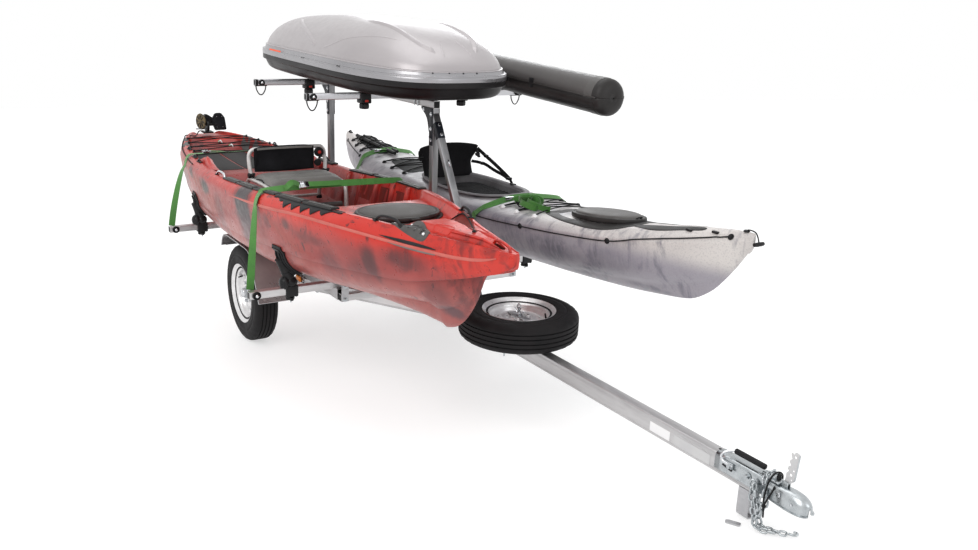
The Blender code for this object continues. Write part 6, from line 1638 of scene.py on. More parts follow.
rib2 = [(.480, -.200, 1.856), (.645, -.218, 1.845), (.852, -.211, 1.821), (.945, -.209, 1.802), (1.018, -.203, 1.782), (1.082, -.187, 1.758), (1.122, -.164, 1.738), (1.160, -.145, 1.708)]
edge3 = [(1.030, -.010, 1.783), (1.097, .020, 1.752), (1.152, .036, 1.718), (1.190, .050, 1.683)]
sline = [(.400, -.423, 1.676), (.450, -.414, 1.694), (.514, -.407, 1.713), (.633, -.377, 1.754), (.760, -.345, 1.773), (.893, -.300, 1.785), (.990, -.262, 1.780), (1.030, -.230, 1.777)]
for k, side_ in ((0, lambda p: p), (1, mir)):
    parts.append(with_mat(ridge(LIDT, [side_(p) for p in rib1], .034, .0095, 6), SILVER))
    parts.append(with_mat(ridge(LIDT, [side_(p) for p in rib2], .038, .0095, 6), SILVER))
    parts.append(with_mat(ridge(LIDT, [side_(p) for p in sline], .020, .0026, 6, .25), SILVER))
for p in (edge3, [mir(q) for q in edge3]):
    parts.append(with_mat(ridge(LIDT, p, .012, .0030, 5, .3), SILVER))
zr = .0700
for x, y in ((-.50, -1), (-.455, -1), (.241, -1), (.266, -1), (.690, -1), (.712, -1), (1.215, -.20), (1.226, -.12), (1.2358, -.045), (1.2358, .030), (-.575, -.25), (-.575, -.21), (.1, 1), (.6, 1)):
    yy = BY + (BW if y > 0 else -BW) if abs(y) == 1 else y
    c, nor = on(LIDT, (x, yy, BRIM + zr - .014 * (x - BX)), .0)
    nor = Vector((nor.x, nor.y, nor.z))
    if nor.dot(c - Vector((BX, BY, 1.60))) < 0:
        nor = -nor
    if abs(y) == 1 and x in (-.50, -.455):
        continue
    parts.append(with_mat(turn([(.0046, -.001), (.0046, .0008), (.0030, .0017), (.0001, .0019)], c, nor, 14), BLACK))
a, n1 = on(LIDT, (-.512, BY - BW, BRIM + zr + .012))
patch = []
for x in (-.262, -.224, -.186, -.148, -.110, -.074):
    c, nor = on(LIDT, (x, BY - BW, BRIM + .0705 - .014 * (x - BX)))
    if nor.y > 0:
        nor = -nor
    patch.append(c + nor * .0006)
parts.append(with_mat(strip(patch, .0155, .0006, (0, .1, 1)), ORANGE))
piece("cargo_lid_ribs", parts, "box_lid", angle=60)

base_keys = [(A_ - .0006, B_ - .0006, .0258), (A_ - .0006, B_ - .0006, .0140), (A_ - .0006, B_ - .0006, .0008), (A_ - .0045, B_ - .0045, -.0016), (A_ - .0125, B_ - .0115, -.0040), (A_ - .0165, B_ - .0150, -.0110),
             (A_ - .0220, B_ - .0195, -.0240), (A_ - .0300, B_ - .0262, -.0390), (A_ - .0450, B_ - .0380, -.0520), (A_ - .0700, B_ - .0580, -.0602), (A_ - .1050, B_ - .0850, -.0638), (A_ - .1500, B_ - .1200, -.0648),
             (A_ * .55, B_ * .5, -.0648), (.05, .03, -.0648)]
zb_ = lambda x, h: BRIM + h - .014 * x
base_ob = piece("cargo_base_shell", [with_mat(shells(base_keys, zb_, 3), BOXBLACK)], over=("cargo_box_base",), angle=50)
md = base_ob.modifiers.new("wall", "SOLIDIFY")
md.thickness, md.offset = .0030, -1
BASET = field(base_ob)
parts = []
for x0, x1, yy in ((-.40, .95, -.24), (-.40, .95, .17), (-.45, 1.02, -.036)):
    parts.append(with_mat(strip([(x0 + (x1 - x0) * k / 12, yy, BRIM - .0650 - .014 * (x0 + (x1 - x0) * k / 12 - BX)) for k in range(13)], .020, .0030, (0, 1, 0)), BOXBLACK))
for x in (-.32, .96):
    y = BY + BW - .001
    parts.append(with_mat(rbox((x - .030, BY + BW - .002, BRIM + .006 - .014 * (x - BX)), (x + .030, BY + BW + .0022, BRIM + .0255 - .014 * (x - BX)), .0012), BLACK))
piece("cargo_base_ribs", parts)

# ============================================================== gear tube
TCX, TL = (TUBE_X0 + TUBE_X1) / 2, (TUBE_X1 - TUBE_X0) / 2


def tube_half(sign, gap):
    st = []
    for g in (-1, 1):
        e = [(TL - .0448 * (1 - math.sin(math.pi / 2 * k / 9)) ** 1.0, max(.04, math.cos(math.pi / 2 * k / 9) ** .62)) for k in range(10)]
        st.append([(g * x, r) for x, r in e])
    left = st[0][::-1]
    mids = [(x, 1.0) for x in (-TL + .0600, -TL + .0612, -TL + .1180, -TL + .1192, *[-TL + .13 + (2 * TL - .26) * k / 20 for k in range(21)], TL - .1192, TL - .1180, TL - .0612, TL - .0600)]
    prof = left + mids + st[1]
    rings, mats = [], []
    for x, r in prof:
        bump_ = .0016 if TL - .1186 < abs(x) < TL - .0606 else 0.0
        zc = 1.590 - .042 * (x + TCX - .75)
        ring = []
        for k in range(33):
            t = math.pi * k / 32
            rr = (TUBE_R + bump_) * r
            if abs(x) > TL - .050:
                rr *= 1 - .016 * abs(math.sin(t * 5)) * (1 - r) * 4 if r > .5 else 1
            ring.append((TCX + x, TUBE_Y + rr * math.cos(t), zc + sign * (gap + (rr - gap) * math.sin(t))))
        rings.append(ring)
    return prof, rings


for sign, nm, body, slot, main, over in ((-1, "gear_tube_base_shell", "trailer", "black_plastic", TUBEBLACK, "gear_tube_base"), (1, "gear_tube_lid_shell", "tube_lid", "grey_shell", GREYSH, "gear_tube_lid")):
    gap = .0004 if sign > 0 else 0.0
    prof, rings = tube_half(sign, gap)
    groups = []
    i = 0
    while i < len(prof) - 1:
        xm = abs((prof[i][0] + prof[i + 1][0]) / 2)
        mt = TUBEBLACK if xm > TL - .0606 else (GREY_BAND if TL - .1186 < xm < TL - .0606 else main) if sign > 0 else TUBEBLACK
        groups.append((i, mt))
        i += 1
    parts = []
    for mt in {id(m): m for _, m in groups}.values():
        v = [p for r in rings for p in r]
        f = []
        for i, m_ in groups:
            if m_ is mt:
                f += [(i * 33 + j, i * 33 + j + 1, (i + 1) * 33 + j + 1, (i + 1) * 33 + j) for j in range(32)]
        used = sorted({q for g in f for q in g})
        idx = {q: k for k, q in enumerate(used)}
        parts.append(([v[q] for q in used], [tuple(idx[q] for q in g) for g in f], mt))
    ob = piece(nm, parts, body, over=(over,), angle=40)
    bm = bmesh.new()
    bm.from_mesh(ob.data)
    bmesh.ops.remove_doubles(bm, verts=bm.verts, dist=1e-6)
    bmesh.ops.recalc_face_normals(bm, faces=bm.faces)
    up = sum((fc.normal.z for fc in bm.faces))
    if up * sign < 0:
        bmesh.ops.reverse_faces(bm, faces=bm.faces)
    bm.to_mesh(ob.data)
    bm.free()
    ob.data.shade_smooth()
    ob.data.set_sharp_from_angle(angle=math.radians(40))
    md = ob.modifiers.new("wall", "SOLIDIFY")
    md.thickness, md.offset = .0028, -1
    parts = []
    for s in (-1, 1):
        zf = lambda x: 1.590 - .042 * (x - .75)
        y = TUBE_Y + s * (TUBE_R + .0002)
        line = [(x, y, zf(x) + sign * .0026 + (.0004 if sign > 0 else 0)) for x in (TUBE_X0 + .030 + (TUBE_X1 - TUBE_X0 - .060) * k / 10 for k in range(11))]
        parts.append(with_mat(strip(line, .0046, .0022, (0, 0, 1)), main))
        for x in ((.10, .72, 1.36) if s > 0 else (.30, 1.16)):
            if s > 0:      # hinge knuckles along the port seam
                if sign > 0:
                    parts.append(with_mat(rod([(x - .020, y + .0024, zf(x) + .0004), (x + .020, y + .0024, zf(x) + .0004)], .0021, 12), BLACK))
            elif sign > 0:
                parts.append(with_mat(rbox((x - .018, y - .0016, zf(x) + .0006), (x + .018, y + .0010, zf(x) + .026), .0008), BLACK))
            else:
                parts.append(with_mat(rbox((x - .013, y - .0016, zf(x) - .022), (x + .013, y + .0010, zf(x) - .0035), .0008), BLACK))
    piece(nm.replace("shell", "seam"), parts, body)

# ================================================== saddles under the hulls
POCKET = plastic("red_pocket", (.14, .016, .012), (.22, .026, .018), .5, .65, 500, .2, 10)
SEAT_TUBE = metal("seat_tube_silver", (.55, .54, .53), (.66, .65, .64), .24, .36, (20, 20, 20), (260, 260, 260), .06, .35)
# lighter red for the sheer bead: a painted highlight
SHEER_HIGHLIGHT_RED = plastic("red_edge_painted_highlight", (.46, .105, .085), (.55, .165, .140), .30, .42, 500, .15, 6)
REDT, WHITET = field(red), field(white)
RED_C, WHITE_C = (-.455, .86), (.45, .84)


def skin_at(tree, p, lift, mid):
    loc, nor, _, _ = tree.find_nearest(Vector(p))
    if nor.dot(loc - Vector((loc.x, mid[0], mid[1]))) < 0:
        nor = -nor
    return loc + nor * lift, nor


def saddle_set(name, tree, mid, xb, run, my, hw=(-.046, .046)):
    P = curve_pts([(xb, y, z) for y, z in run], 8 if len(run) == 3 else 5)
    m = len(P)
    xs_ = [hw[0] + (hw[1] - hw[0]) * q for q in (0, .06, .2, .4, .6, .8, .94, 1)]
    rings, plate_ = [], []
    for i, p in enumerate(P):
        t = i / (m - 1)
        end = min(1, t / .08, (1 - t) / .08)
        inn = [skin_at(tree, (xb + dx, p.y, p.z), .0015, mid)[0] for dx in xs_]
        th = (.0095 + (.0022 if i % 2 else -.0006)) * (.55 + .45 * end)
        out_ = [skin_at(tree, (xb + dx, p.y, p.z), th * (.62 if k in (0, 7) else 1), mid)[0] for k, dx in enumerate(xs_)]
        rings.append(inn + out_[::-1])
        if .06 <= t <= .94:
            w = .72
            a = [skin_at(tree, (xb + dx * w + (hw[0] + hw[1]) * .14, p.y, p.z), .0085, mid)[0] for dx in xs_]
            b = [skin_at(tree, (xb + dx * w + (hw[0] + hw[1]) * .14, p.y, p.z), .0165 - (.003 if k in (0, 7) else 0), mid)[0] for k, dx in enumerate(xs_)]
            plate_.append(a + b[::-1])
    parts = [with_mat(loft(rings), BLACK), with_mat(loft(plate_), BLACK)]
    # two stiffening ribs down the back of the plate
    wid = hw[1] - hw[0]
    for g in (.30, .70):
        line = [skin_at(tree, (xb + hw[0] + wid * g, p.y, p.z), .0195, mid)[0] for p in P[2:-2]]
        parts.append(with_mat(rod(line, .0042, 8), BLACK))
    pm, nor = skin_at(tree, P[len(P) * 2 // 5], .0160, mid)
    zt = BAR_Z0 + BAR
    r = min(.0295, -hw[0], hw[1] + .012)
    xc = xb
    cb = Vector((xc, my, zt + .024))
    top = Vector((min(max(pm.x, xc + hw[0] * .4), xc + hw[1] * .4), pm.y, pm.z))
    d = (top - cb)
    parts.append(with_mat(ball(cb, r * 1.16, (0, 0, 1), .84, 28, 14), BLACK_GLOSS))
    parts.append(with_mat(rod([cb, cb + d * .35, cb + d * .72, top], lambda t: r * (.90 - .22 * t + .28 * max(0, t - .6)), 18), BLACK))
    parts.append(with_mat(turn([(r * .70, 0), (r * .86, .002), (r * .86, .007), (r * .62, .009)], cb + d * .40, d.normalized(), 20), BLACK_GLOSS))
    wx = BAR / 2 + .0058
    parts.append(with_mat(rbox((xb - wx, my - .0320, BAR_Z0 - .0115), (xb + wx, my + .0320, zt + .0078), .0055, 3), BLACK))
    for g in (-1, 1):
        parts.append(with_mat(rbox((xb - wx - .0004, my + g * .0210 - .0045, BAR_Z0 - .0125), (xb + wx + .0004, my + g * .0210 + .0045, zt + .0088), .002), BLACK))
    # wing knob and bolt under the bar
    parts.append(with_mat(rod([(xb, my, BAR_Z0 - .008), (xb, my, BAR_Z0 - .046)], .0038, 12), ZINC))
    knob = []
    for z, k in ((-.0125, .55), (-.0145, .80), (-.020, 1), (-.0285, 1), (-.033, .86), (-.0345, .5)):
        knob.append([(xb + (.0185 + .0068 * math.cos(3 * t)) * k * math.cos(t), my + (.0185 + .0068 * math.cos(3 * t)) * k * math.sin(t), BAR_Z0 + z) for t in (2 * math.pi * q / 36 for q in range(36))])
    parts.append(with_mat(loft(knob), BLACK_GLOSS))
    # side adjuster knob on the ball
    g = -1 if my < mid[0] else 1
    if abs(my + .147) > .02:
        kc = Vector((xb + .004, my + g * .034, zt + .024))
        parts.append(with_mat(ball(kc, .0330, (0, 1, 0), .78, 26, 13), BLACK_GLOSS))
        parts.append(with_mat(turn([(.0335, -.006), (.0352, -.003), (.0352, .003), (.0335, .006)], kc, (0, 1, 0), 26), BLACK))
        parts.append(with_mat(rbox((xb - .014, my + g * .030 - .006, BAR_Z0 + BAR - .001), (xb + .014, my + g * .030 + .006, zt + .010), .003, 2), BLACK))
        parts.append(with_mat(turn([(.010, 0), (.0125, .003), (.0125, .010), (.0105, .0125), (.0001, .013)], (xb + .004, my + g * r * .86, zt + .024), (0, g, 0), 9), BLACK))
    piece(name.replace("saddle", "saddle_arm"), parts, over=(name,), angle=40)


SADDLES = {
    "saddle_red_front_starboard": (0, FRONT_BAR_X, [(-.839, .786), (-.801, .705), (-.728, .638)], -.776, (-.046, .046)),
    "saddle_red_front_port": (0, FRONT_BAR_X, [(-.188, .634), (-.121, .701), (-.106, .736)], -.146, (-.046, .0165)),
    "saddle_red_rear_starboard": (0, REAR_BAR_X, [(-.836, .767), (-.806, .684), (-.761, .627)], -.794, (-.046, .046)),
    "saddle_red_rear_port": (0, REAR_BAR_X, [(-.149, .627), (-.104, .684), (-.093, .714)], -.117, (-.046, .046)),
    "saddle_white_front_port": (1, FRONT_BAR_X, [(.568, .675), (.607, .692), (.676, .730), (.687, .744)], .645, (-.046, .046)),
    "saddle_white_front_starboard": (1, FRONT_BAR_X, [(.213, .744), (.224, .730), (.293, .692), (.332, .675)], .255, (-.046, .046)),
    "saddle_white_rear_port": (1, REAR_BAR_X, [(.522, .699), (.545, .714), (.596, .747), (.604, .758)], .577, (-.046, .046)),
    "saddle_white_rear_starboard": (1, REAR_BAR_X, [(.296, .758), (.304, .747), (.355, .714), (.378, .699)], .323, (-.046, .046)),
}
for nm, (k, xb, run, my, hw) in SADDLES.items():
    saddle_set(nm, (REDT, WHITET)[k], (RED_C, WHITE_C)[k], xb, run, my, hw)


# ============================================================= tie-down straps
def webbing_run(pts, n=5, width=.0370, thick=.0018, face=(1, 0, 0)):
    return with_mat(strip(curve_pts(pts, n), width, thick, face), WEB)


def twist_up(t):
    """From across the bar to along the gunwale."""
    g = math.pi / 2 * min(1.0, t / .86)
    return math.sin(g), math.cos(g), 0


def twist_down(t):
    return twist_up(1 - t)


def bar_wrap(x, y):
    r = BAR / 2 + .0016
    c = Vector((x, y, BAR_Z0 + BAR / 2))
    q = []
    for k in range(25):
        t = 2 * math.pi * k / 24
        ct, st_ = math.cos(t), math.sin(t)
        q.append(c + Vector((0, 0, 0)) + Vector((math.copysign(abs(ct) ** .35, ct) * r, 0, math.copysign(abs(st_) ** .35, st_) * r)))
    return with_mat(strip(q, .0350, .0018, (0, 1, 0)), WEB)


def buckle(c, along, up, tail=None):
    """A pressed cam buckle: body, cheeks, lever and pin."""
    c, a, n = Vector(c), Vector(along).normalized(), Vector(up).normalized()
    b = a.cross(n).normalized()
    R = Matrix((a, b, n)).transposed()
    out_ = []
    for lo, hi, rr, mt in (((-.022, -.0165, .0010), (.016, .0165, .0034), .0008, CHROME), ((-.022, -.0180, .0010), (.016, -.0160, .0155), .0008, CHROME),
                           ((-.022, .0160, .0010), (.016, .0180, .0155), .0008, CHROME), ((-.014, -.0155, .0090), (.030, .0155, .0125), .0014, CHROME)):
        v, f = rbox(lo, hi, rr)
        out_.append(([c + R @ Vector(p) for p in v], f, mt))
    v, f = rod([(-.008, -.0190, .0095), (-.008, .0190, .0095)], .0032, 12)
    out_.append(([c + R @ Vector(p) for p in v], f, CHROME))
    return out_


g_, q_ = lines(RED, .70), lines(RED, -.78)
parts = [webbing_run([(.832, -.9745, .5715), (.806, -.956, .665), (.768, -.930, .800), (.728, -.902, .940), (.7215, -.8975, .967)], 6, face=twist_up),
         webbing_run([(.7215, -.8975, .967), (.712, -.886, .993), (.704, -.869, 1.015), (.700, -.850, 1.0245), (.700, -.800, 1.0275), (.700, -.66, 1.0330), (.700, -.46, 1.0340), (.700, -.26, 1.0310), (.700, -.110, 1.0270),
                      (.700, -.075, 1.0230), (.705, -.055, 1.004), (.7215, -.0395, .967)], 4, face=lambda t: (1, 0, -1.15 * math.sin(math.pi * min(1, max(0, (t - .22) / .62))) ** .6)),
         webbing_run([(.7215, -.0395, .967), (.728, -.036, .940), (.768, -.032, .800), (.806, -.028, .665), (.832, -.0255, .5715)], 6, face=twist_down)]
parts += buckle((.706, -.645, 1.0370), (0, 1, 0), (.75, 0, .66))
parts.append(with_mat(strip(curve_pts([(.712, -.665, 1.0440), (.716, -.685, 1.0560), (.722, -.705, 1.0600), (.726, -.722, 1.0540), (.728, -.735, 1.0420), (.722, -.742, 1.0320)], 5), .0290, .0018, (.6, 0, -.8)), WEB))
parts.append(with_mat(strip(curve_pts([(.712, -.618, 1.0440), (.712, -.560, 1.0420), (.709, -.500, 1.0400), (.706, -.440, 1.0375)], 4), .0290, .0018, (.7, 0, -.8)), WEB))
parts += [bar_wrap(.840, -.0260)]
piece("strap_web_red_front", parts, over=("strap_red_front",), angle=60)

parts = [webbing_run([(-.5895, -.9745, .5715), (-.625, -.948, .665), (-.680, -.905, .780), (-.7300, -.862, .870), (-.7515, -.8325, .909)], 6, face=twist_up),
         webbing_run([(-.7515, -.8325, .909), (-.764, -.822, .935), (-.775, -.806, .958), (-.7805, -.788, .9670), (-.7805, -.745, .9690), (-.7805, -.60, .9680), (-.7805, -.45, .9672), (-.7805, -.30, .9680), (-.7805, -.155, .9690),
                      (-.7805, -.114, .9670), (-.774, -.092, .946), (-.7515, -.0735, .909)], 4),
         webbing_run([(-.7515, -.0735, .909), (-.730, -.067, .870), (-.680, -.053, .780), (-.625, -.042, .665), (-.5895, -.0355, .5715)], 6, face=twist_down)]
parts += buckle((-.7805, -.690, .9705), (0, 1, 0), (0, 0, 1))
parts.append(with_mat(strip(curve_pts([(-.7805, -.662, .9815), (-.778, -.62, .9780), (-.772, -.58, .9745), (-.764, -.545, .960)], 4), .0250, .0018, (1, 0, 0)), WEB))
parts += [bar_wrap(-.5895, -.0360)]
piece("strap_web_red_rear", parts, over=("strap_red_rear",), angle=60)

for tag, xb, xm, xt, ys, zs_, yg, zg_, zc2, buck in (("front", .8525, 1.0625, 1.100, .1565, .9005, .228, .9445, .9675, (1.100, .335)), ("rear", -.5895, -.5130, -.5005, .2345, .8785, .2810, .9450, .9685, (-.5005, .360))):
    y2 = lambda y: .90 - y
    parts = [webbing_run([(xb, .0845, .5715), (mixf(xb, xm, .35), mixf(.0845, ys, .38), mixf(.5715, zs_, .35)), (mixf(xb, xm, .7), mixf(.0845, ys, .74), mixf(.5715, zs_, .7)), (xm, ys, zs_)], 6, face=twist_up),
             webbing_run([(xm, ys, zs_), (mixf(xm, xt, .5), mixf(ys, yg, .42), mixf(zs_, zg_, .66)), (xt, yg, zg_ + .0030), (xt, mixf(yg, .45, .5), mixf(zg_, zc2, .82) + .0060), (xt, .45, zc2 + .0070), (xt, y2(mixf(yg, .45, .5)), mixf(zg_, zc2, .82)),
                          (xt, y2(yg), zg_ + .0030), (mixf(xm, xt, .5), y2(mixf(ys, yg, .42)), mixf(zs_, zg_, .66)), (xm, y2(ys), zs_)], 5, face=lambda t: (1, 0, -.80 * math.sin(math.pi * min(1, max(0, (t - .12) / .76))) ** .7)),
             webbing_run([(xm, y2(ys), zs_), (mixf(xb, xm, .7), y2(mixf(.0845, ys, .74)), mixf(.5715, zs_, .7)), (mixf(xb, xm, .35), y2(mixf(.0845, ys, .38)), mixf(.5715, zs_, .35)), (xb, .8155, .5715)], 6, face=twist_down),
             bar_wrap(xb, .0850), bar_wrap(xb, .8150)]
    z = mixf(zg_, zc2, .80) + .0035
    parts += buckle((buck[0], buck[1], z), (0, 1, .09), (0, -.09, 1))
    if tag == "front":
        kn = [(xt + 0.068, 0.330, z + 0.008), (xt + 0.100, 0.345, z + 0.023), (xt + 0.142, 0.375, z + 0.035), (xt + 0.180, 0.410, z + 0.031), (xt + 0.210, 0.405, z + 0.013), (xt + 0.189, 0.365, z + 0.011), (xt + 0.147, 0.330, z + 0.018),
              (xt + 0.167, 0.298, z + 0.023), (xt + 0.223, 0.298, z + 0.018), (xt + 0.266, 0.325, z + 0.006), (xt + 0.245, 0.365, z + 0.012), (xt + 0.201, 0.382, z + 0.031), (xt + 0.167, 0.360, z + 0.039), (xt + 0.189, 0.325, z + 0.032),
              (xt + 0.240, 0.315, z + 0.028), (xt + 0.285, 0.350, z + 0.011), (xt + 0.310, 0.382, z + 0.005)]
        parts.append(with_mat(strip(curve_pts(kn, 5), .0300, .0018, (.35, .15, .9)), WEB))
        kn = [(xt + 0.077, 0.352, z + 0.013), (xt + 0.113, 0.325, z + 0.028), (xt + 0.158, 0.310, z + 0.036), (xt + 0.187, 0.340, z + 0.039), (xt + 0.158, 0.375, z + 0.023), (xt + 0.113, 0.392, z + 0.012), (xt + 0.124, 0.420, z + 0.008), (xt + 0.178, 0.432, z + 0.012)]
        parts.append(with_mat(strip(curve_pts(kn, 5), .0300, .0018, (.5, -.3, .8)), WEB))
    else:
        parts.append(with_mat(strip(curve_pts([(xt, .388, z + .010), (xt + .004, .43, z + .010), (xt + .010, .47, z + .006)], 5), .0235, .0018, (1, 0, 0)), WEB))
    piece(f"strap_web_white_{tag}", parts, over=(f"strap_white_{tag}",), angle=60)


# ===================================================== fishing kayak's outfit
def rail_mid(x, side, k=.5):
    yc, hb, zk, fc, zc, zs, fg, zg = lines(RED, x)
    g = fg * hb
    rim_ = max(g - .045, g * .88)
    return Vector((x, yc + side * mixf(rim_, g, k), zg + .0045))


def rail_piece(x0, x1, side, w=.034, th=.0070, mt=None, k=.42, n=8):
    pts = [rail_mid(x0 + (x1 - x0) * i / n, side, k) + Vector((0, 0, th / 2)) for i in range(n + 1)]
    v, f = strip(pts, w, th, (0, 1, 0))
    return v, f, mt or GREYRUB2


parts = []
for a, b in ((.075, .300), (.315, .560), (.575, .830), (.845, 1.100), (1.115, 1.340)):
    parts.append(rail_piece(a, b, -1, .046, .0078, GREYRUB2))
    parts.append(rail_piece(a + .012, b - .012, -1, .016, .0096, GREYRUB))
    for x in (a + .020, b - .020):
        p = rail_mid(x, -1, .42 + .25)
        parts.append(with_mat(turn([(.0042, .0070), (.0040, .0088), (.0001, .0092)], p, (0, 0, 1), 12), BLACK))
for a, b in ((-.40, -.16), (.10, .40), (.43, .70), (.73, 1.02)):
    parts.append(rail_piece(a, b, 1, .046, .0078, GREYRUB2))
    parts.append(rail_piece(a + .012, b - .012, 1, .016, .0096, GREYRUB))
    for x in (a + .020, b - .020):
        p = rail_mid(x, 1, .42 + .25)
        parts.append(with_mat(turn([(.0042, .0070), (.0040, .0088), (.0001, .0092)], p, (0, 0, 1), 12), BLACK))
piece("gear_tracks", parts, angle=40)

# saw-edged trim under the starboard track
v, f = [], []
xsz = [.845 + .0075 * k for k in range(78)]
for i, x in enumerate(xsz):
    yc, hb, zk, fc, zc, zs, fg, zg = lines(RED, x)
    tri = abs(((x - .92) / .080) % 1 - .5) * 2
    fade = max(.16, min(1, (x - .90) / .06, (1.40 - x) / .10))
    g0 = fg * hb
    for t in (-.42, 0, .5, 1):
        t2 = t if t < 0 else t * (.20 + .52 * tri) * fade
        p, nn = skin_at(REDT, (x, yc - mixf(g0 + .002, hb + .002, max(0, t2)), mixf(zg + .006, zs, max(0, t2))), .0015, RED_C)
        if t < 0:
            p = drop(REDT, x, yc - g0 + .016)[0] + Vector((0, 0, .0015))
        v.append(p)
    if i:
        for k in (0, 1, 2):
            f.append(((i - 1) * 4 + k, i * 4 + k, i * 4 + k + 1, (i - 1) * 4 + k + 1))
trim = piece("saw_trim", [(v, f, BLACK)], angle=60)
md = trim.modifiers.new("wall", "SOLIDIFY")
md.thickness, md.offset = .0012, 0

# stern pads and cleats, then the carry handles
parts = []


def deck_pad(x0, x1, y0, y1, mt, th=.004, tree=REDT, zc=1.2, nx=6, ny=4, bevel_=.003):
    rings = []
    g, h = [], []
    for i in range(nx + 1):
        for j in range(ny + 1):
            x, y = x0 + (x1 - x0) * i / nx, y0 + (y1 - y0) * j / ny
            p, _ = drop(tree, x, y, zc)
            edge_ = min(i, nx - i, j, ny - j) == 0
            g.append(p + Vector((0, 0, -.001)))
            h.append(p + Vector((0, 0, th - (bevel_ if edge_ else 0))))
    n = len(g)
    v, f = g + h, []
    w = ny + 1
    for i in range(nx):
        for j in range(ny):
            a = i * w + j
            f.append((n + a, n + a + 1, n + a + w + 1, n + a + w))
    edge_ids = [j for j in range(w)] + [i * w + ny for i in range(1, nx + 1)] + [nx * w + j for j in range(ny - 1, -1, -1)] + [i * w for i in range(nx - 1, 0, -1)]
    for a, b in zip(edge_ids, edge_ids[1:] + edge_ids[:1]):
        f.append((a, b, n + b, n + a))
    return v, f, mt


for x0, x1 in ((-1.375, -1.275), (-1.235, -1.125)):
    m0 = rail_mid((x0 + x1) / 2, -1, .5)
    parts.append(deck_pad(x0, x1, m0.y - .030, m0.y + .040, EVA, .0055))
    m0 = rail_mid((x0 + x1) / 2, 1, .5)
    parts.append(deck_pad(x0, x1, m0.y - .040, m0.y + .030, EVA, .0055))
for side in (-1, 1):
    for x in (-.99, -.70, -.545):
        p = rail_mid(x, side, .5)
        parts.append(with_mat(rbox((p.x - .030, p.y - .010, p.z - .002), (p.x + .030, p.y + .010, p.z + .006), .003, 3), BLACK))
        parts.append(with_mat(rod(curve_pts([(p.x - .022, p.y, p.z + .005), (p.x - .012, p.y, p.z + .0155), (p.x + .012, p.y, p.z + .0155), (p.x + .022, p.y, p.z + .005)], 4), .0045, 10), BLACK_GLOSS))
        for g in (-1, 1):
            parts.append(with_mat(turn([(.0036, .004), (.0034, .0070), (.0001, .0074)], (p.x + g * .024, p.y, p.z), (0, 0, 1), 10), CHROME))
piece("stern_pads", parts, angle=45)

parts = []
for side, x0 in ((-1, -.080), (1, -.40), (-1, 1.62), (1, 1.60)):
    a, b = x0, x0 + .150
    pts = [rail_mid(a + (b - a) * t, side, .62) + Vector((0, 0, h)) for t, h in ((0, .002), (.06, .012), (.22, .0235), (.5, .0270), (.78, .0235), (.94, .012), (1, .002))]
    parts.append(with_mat(rod(curve_pts(pts, 4), .0062, 12), CHROME if (side, x0) == (-1, -.080) else BLACK))
    for x in (a, b):
        p = rail_mid(x, side, .62)
        parts.append(with_mat(rbox((p.x - .013, p.y - .010, p.z - .003), (p.x + .013, p.y + .010, p.z + .005), .003), BLACK))
piece("carry_handles", parts, angle=45)

# control cord along the stern edge, ending in the drive
ctl = [skin_at(REDT, p, .0036, RED_C)[0] for p in ((-1.520, -.545, 1.00), (-1.47, -.625, 1.00), (-1.40, -.682, .99), (-1.28, -.735, .98), (-1.14, -.775, .972), (-1.00, -.801, .968), (-.86, -.826, .965), (-.70, -.845, .962), (-.56, -.858, .962))]
piece("control_cord", [with_mat(rod(curve_pts([Vector((-1.556, -.487, .9935)), Vector((-1.540, -.515, .9935))] + ctl, 4), .0034, 10), CORDM)])

# tank well: mat, crossed bungees and their hooks
parts = [deck_pad(-1.345 + .002, -.740, -.455 - .175, -.455 - .006, EVAD, .005, nx=14, ny=6), deck_pad(-1.345, -.740, -.455 + .006, -.455 + .175, EVAD, .005, nx=14, ny=6)]
piece("tank_well_mat", parts, angle=45)
hooks = {}
for i, x in enumerate((-1.33, -1.18, -1.03, -.88, -.74)):
    for side in (-1, 1):
        hooks[(i, side)] = rail_mid(x, side, .10) + Vector((0, 0, .004))
parts = []
for p in hooks.values():
    parts.append(with_mat(turn([(.0085, -.003), (.0090, .001), (.0060, .004), (.0042, .005), (.0068, .0095), (.0052, .0120), (.0001, .0126)], p, (0, 0, 1), 16), BLACK))
cords = []
for (i, s0), (j, s1) in (((0, -1), (1, 1)), ((0, 1), (1, -1)), ((1, -1), (2, 1)), ((1, 1), (2, -1)), ((2, -1), (3, 1)), ((2, 1), (3, -1)), ((3, -1), (4, 1)), ((3, 1), (4, -1)), ((0, -1), (0, 1)), ((4, -1), (4, 1))):
    a, b = hooks[(i, s0)] + Vector((0, 0, .005)), hooks[(j, s1)] + Vector((0, 0, .005))
    mid_ = (a + b) / 2 + Vector((0, 0, .006 if (i + s0) % 2 else -.002))
    cords.append(with_mat(rod(curve_pts([a, a.lerp(mid_, .5) + Vector((0, 0, .001)), mid_, mid_.lerp(b, .5) + Vector((0, 0, .001)), b], 4), .0030, 8), CORDM))
for a in [hooks[(1, -1)].lerp(hooks[(2, 1)], .36), hooks[(2, -1)].lerp(hooks[(3, 1)], .42)]:
    c = a + Vector((.01, .0, .012))
    cords.append(with_mat(rod(curve_pts([c, c + Vector((.010, .008, .012)), c + Vector((.024, .010, .006)), c + Vector((.020, .016, -.003)), c + Vector((.008, .014, .001))], 4), .0038, 10), LABEL))
    cords.append(with_mat(ball(c + Vector((-.004, .002, .003)), .0075), WEB))
piece("tank_well_bungees", parts + cords, angle=50)

